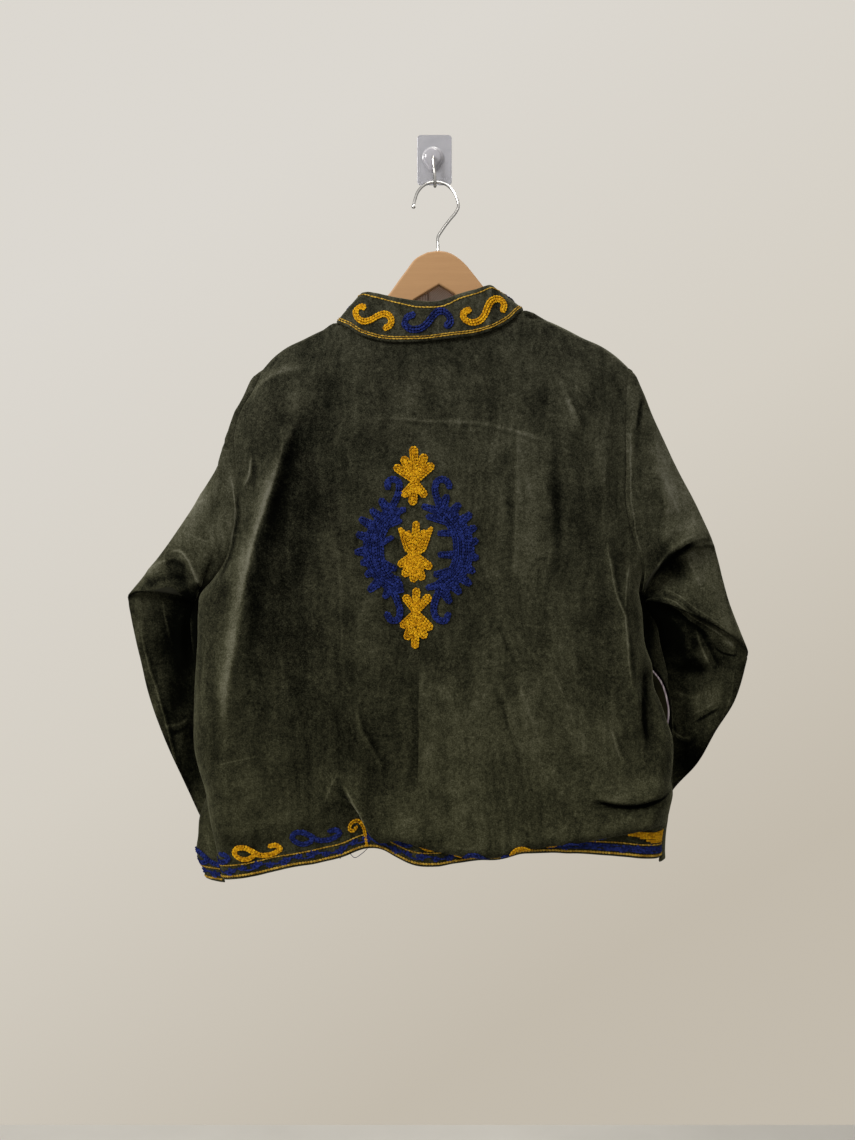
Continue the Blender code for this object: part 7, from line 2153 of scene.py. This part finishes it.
def main():
    velvet, reverse, striped = velvet_material(), reverse_material(), lining_material()
    # A lighter copy of the lining for the neck: painted light, brighter than the pocket's lining to lift it in the
    # shade behind the hanger.
    neck_lining_painted_light = lining_material("neck_lining_painted_light", ((0.42, 0.33, 0.29), (0.62, 0.51, 0.45), (0.78, 0.68, 0.62), (0.88, 0.80, 0.75)))
    gold_yarn = yarn_material("mustard_yarn", (0.13, 0.052, 0.0005), (0.56, 0.250, 0.0015), (0.86, 0.47, 0.010), 0.02)
    navy_yarn = yarn_material("navy_yarn", (0.0008, 0.0016, 0.010), (0.0056, 0.0112, 0.078), (0.020, 0.036, 0.21), 0.01)
    straw_yarn = yarn_material("straw_yarn", (0.080, 0.040, 0.004), (0.33, 0.180, 0.014), (0.62, 0.39, 0.055), 0.03)
    wood, chrome, clear, dome = wood_material(), chrome_material(), clear_material(), dome_material()
    cloth = [velvet, reverse]
    back_cloth = [velvet_material("olive_velvet_back", BACK_PAINTED_LINES, BACK_SPAN), reverse]
    sleeve_cloth = {side: [velvet_material("olive_velvet_sleeve_" + ("left" if side else "right"), SLEEVE_PAINTED_LINES[side], SLEEVE_SPAN[side]), reverse] for side in (True, False)}

    back, back_face = make_back(back_cloth)
    left, left_face = make_front(True, cloth)
    right, right_face = make_front(False, cloth)
    sleeve_l, _ = make_sleeve(True, sleeve_cloth[True])
    sleeve_r, _ = make_sleeve(False, sleeve_cloth[False])
    collar, collar_face, collar_lining = make_collar([velvet, reverse], neck_lining_painted_light)
    pocket = make_pocket(striped)
    hanger, hanger_wire = make_hanger(wood, chrome)
    plate, boss, pin = make_wall_hook(clear, dome, chrome)

    # Embroidery.
    gold, navy = medallion(back_face)
    flowers = stitched("back_flowers", gold, gold_yarn)
    branches = stitched("back_branches", navy, navy_yarn)
    gold, navy, edging = collar_stitches(collar_face)
    collar_edging = stitched("collar_edging", edging, straw_yarn)
    collar_gold = stitched("collar_gold", gold, gold_yarn)
    collar_navy = stitched("collar_navy", navy, navy_yarn)

    # Along the hem the border runs on over the tuck's lip: the folded-under cloth between takes no room in the pattern.
    back_face.measure(-1, up=True)
    steps = np.linalg.norm(np.diff(back_face.points, axis=0), axis=2)
    station = BACK_R[:-1]
    hidden = ((station > 3.2) & (station < 5.7))[:, None] * tuck_lines(BACK_U)[2][None]
    steps = steps * (1 - 0.6 * hidden)
    back_face.rise = np.concatenate([np.cumsum(steps[::-1], axis=0)[::-1], np.zeros((1, back_face.cols))])
    hem_x = back_face.points[-1][:, 0]
    at = lambda x: float(np.interp(x, hem_x, back_face.along))  # noqa: E731
    gold, navy, edging = hem_stitches(back_face, 1.0, [at(x) for x in (-198, 10, 112)], [at(x) for x in (-262, -131, -50, 62, 170)], at(-234), 300, curl_at=at(-88), strips_from=at(206), raised={1: 4.0})
    back_edging = stitched("back_hem_edging", edging, straw_yarn)
    back_gold = stitched("back_hem_gold", gold, gold_yarn)
    navy.append(loose_thread("thread", [(-77, -84, -817), (-84, -86, -823), (-92, -87.5, -827), (-98, -88, -822), (-105, -87, -824), (-109, -86, -829)], 0.35, navy_yarn))
    back_navy = stitched("back_hem_navy", navy, navy_yarn)
    borders = {}
    for face, key, flip, first in ((left_face, "left", -1.0, 12.0), (right_face, "right", 1.0, 54.0)):
        face.measure(-1, up=True)
        length = face.along[-1]
        blue = [first + 124.0 * k for k in range(3) if first + 124.0 * k < length - 14]
        yellow = [first + 62.0 + 124.0 * k for k in range(3) if first + 62.0 + 124.0 * k < length - 14]
        gold, navy, edging = hem_stitches(face, flip, yellow, blue, first - 2.0 if key == "left" else first - 12.0, 500 if key == "left" else 800, ends=(1.0, 1.0) if key == "left" else (25.0, 1.0))
        borders[key] = [stitched("front_%s_hem_%s" % (key, kind), parts, yarn) for kind, parts, yarn in (("gold", gold, gold_yarn), ("navy", navy, navy_yarn), ("edging", edging, straw_yarn))]

    for piece in (flowers, branches, collar_gold, collar_navy, collar_edging, back_gold, back_navy, back_edging, *borders["left"], *borders["right"]):
        add_to_coat(piece)
    declare(back, "back")
    declare(left, "front_left")
    declare(right, "front_right")
    declare(sleeve_l, "sleeve_left")
    declare(sleeve_r, "sleeve_right")
    declare(collar, "collar")
    declare(collar_lining, "collar_lining")
    declare(pocket, "pocket_bag")
    for piece, name, slot_name in ((hanger, "hanger_wood", "wood"), (hanger_wire, "hanger_hook", "chrome"), (plate, "hook_plate", "clear_plastic"), (pin, "hook_pin", "chrome")):
        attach(piece, "root")
        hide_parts(name)
    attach(boss, "root")
    return back


def stage_and_light():
    floor = make_mesh("floor", [(-950, -1600, -1560), (950, -1600, -1560), (950, 850, -1560), (-950, 850, -1560)], [(0, 1, 2, 3)], [floor_material()])
    world = bpy.data.worlds.new("room")
    bpy.context.scene.world = world
    world.use_nodes = True
    tree = world.node_tree
    sky, out = tree.nodes["Background"], tree.nodes["World Output"]
    way = node(tree, "ShaderNodeSeparateXYZ", {0: node(tree, "ShaderNodeTexCoord").outputs["Generated"]}).outputs
    # What the camera sees behind the coat: pale, a little darker low on the right.
    down = maths(tree, "MULTIPLY_ADD", way["X"], 0.55, maths(tree, "MULTIPLY_ADD", way["Z"], -0.9, 0.5))
    tree.links.new(ramp(tree, down, BACKGROUND), sky.inputs["Color"])
    sky.inputs["Strength"].default_value = 1.0
    # What lights it: softly from the front and above, hardly from behind.
    front = maths(tree, "MULTIPLY_ADD", way["Y"], -0.5, 0.5, clamp=True)
    upper = maths(tree, "MULTIPLY_ADD", way["Z"], 0.42, 0.58)
    soft = node(tree, "ShaderNodeBackground", {"Color": (*AMBIENT, 1), "Strength": maths(tree, "MULTIPLY", maths(tree, "MULTIPLY_ADD", front, AMBIENT_FRONT, AMBIENT_BACK), upper)})
    seen = node(tree, "ShaderNodeLightPath").outputs["Is Camera Ray"]
    both = node(tree, "ShaderNodeMixShader", {0: seen, 1: soft.outputs[0], 2: sky.outputs[0]})
    tree.links.new(both.outputs[0], out.inputs["Surface"])
    for name, spot, aim, size, power, colour in LIGHTS:
        light = bpy.data.lights.new(name, "AREA")
        light.shape = "DISK"
        light.size, light.energy, light.color = size, power, colour
        lamp = bpy.data.objects.new(name, light)
        lamp.location = spot
        lamp.rotation_euler = (Vector(aim) - Vector(spot)).to_track_quat("-Z", "Y").to_euler()
        bpy.context.scene.collection.objects.link(lamp)
    camera = bpy.data.cameras.new("camera")
    camera.lens, camera.sensor_width, camera.sensor_height, camera.sensor_fit = 36 * 1.4 / 1.311, 36, 36, "VERTICAL"
    camera.clip_start, camera.clip_end = 0.05, 30
    holder = bpy.data.objects.new("camera", camera)
    holder.location = (-0.0085, -1.480, -0.498)
    holder.rotation_euler = (math.pi / 2, 0, 0)
    bpy.context.scene.collection.objects.link(holder)
    bpy.context.scene.camera = holder
    bpy.context.scene.view_settings.view_transform = "Standard"


BACKGROUND = [(0.15, (0.715, 0.685, 0.635)), (0.5, (0.665, 0.625, 0.555)), (0.85, (0.545, 0.495, 0.415))]
AMBIENT, AMBIENT_FRONT, AMBIENT_BACK = (1.0, 0.97, 0.91), 0.74, 0.10
LIGHTS = [  # name, place, aim, size, power, colour
    ("window", (-1.9, -1.7, 1.0), (0.0, 0.0, -0.5), 1.1, 62, (1.0, 0.985, 0.95)),
    ("ceiling", (0.2, -0.7, 1.7), (0.0, 0.0, -0.5), 0.9, 16, (1.0, 0.97, 0.92)),
    ("behind", (0.9, 1.5, 0.9), (0.0, 0.0, -0.5), 1.4, 13, (1.0, 0.97, 0.92)),
]

main()
stage_and_light()
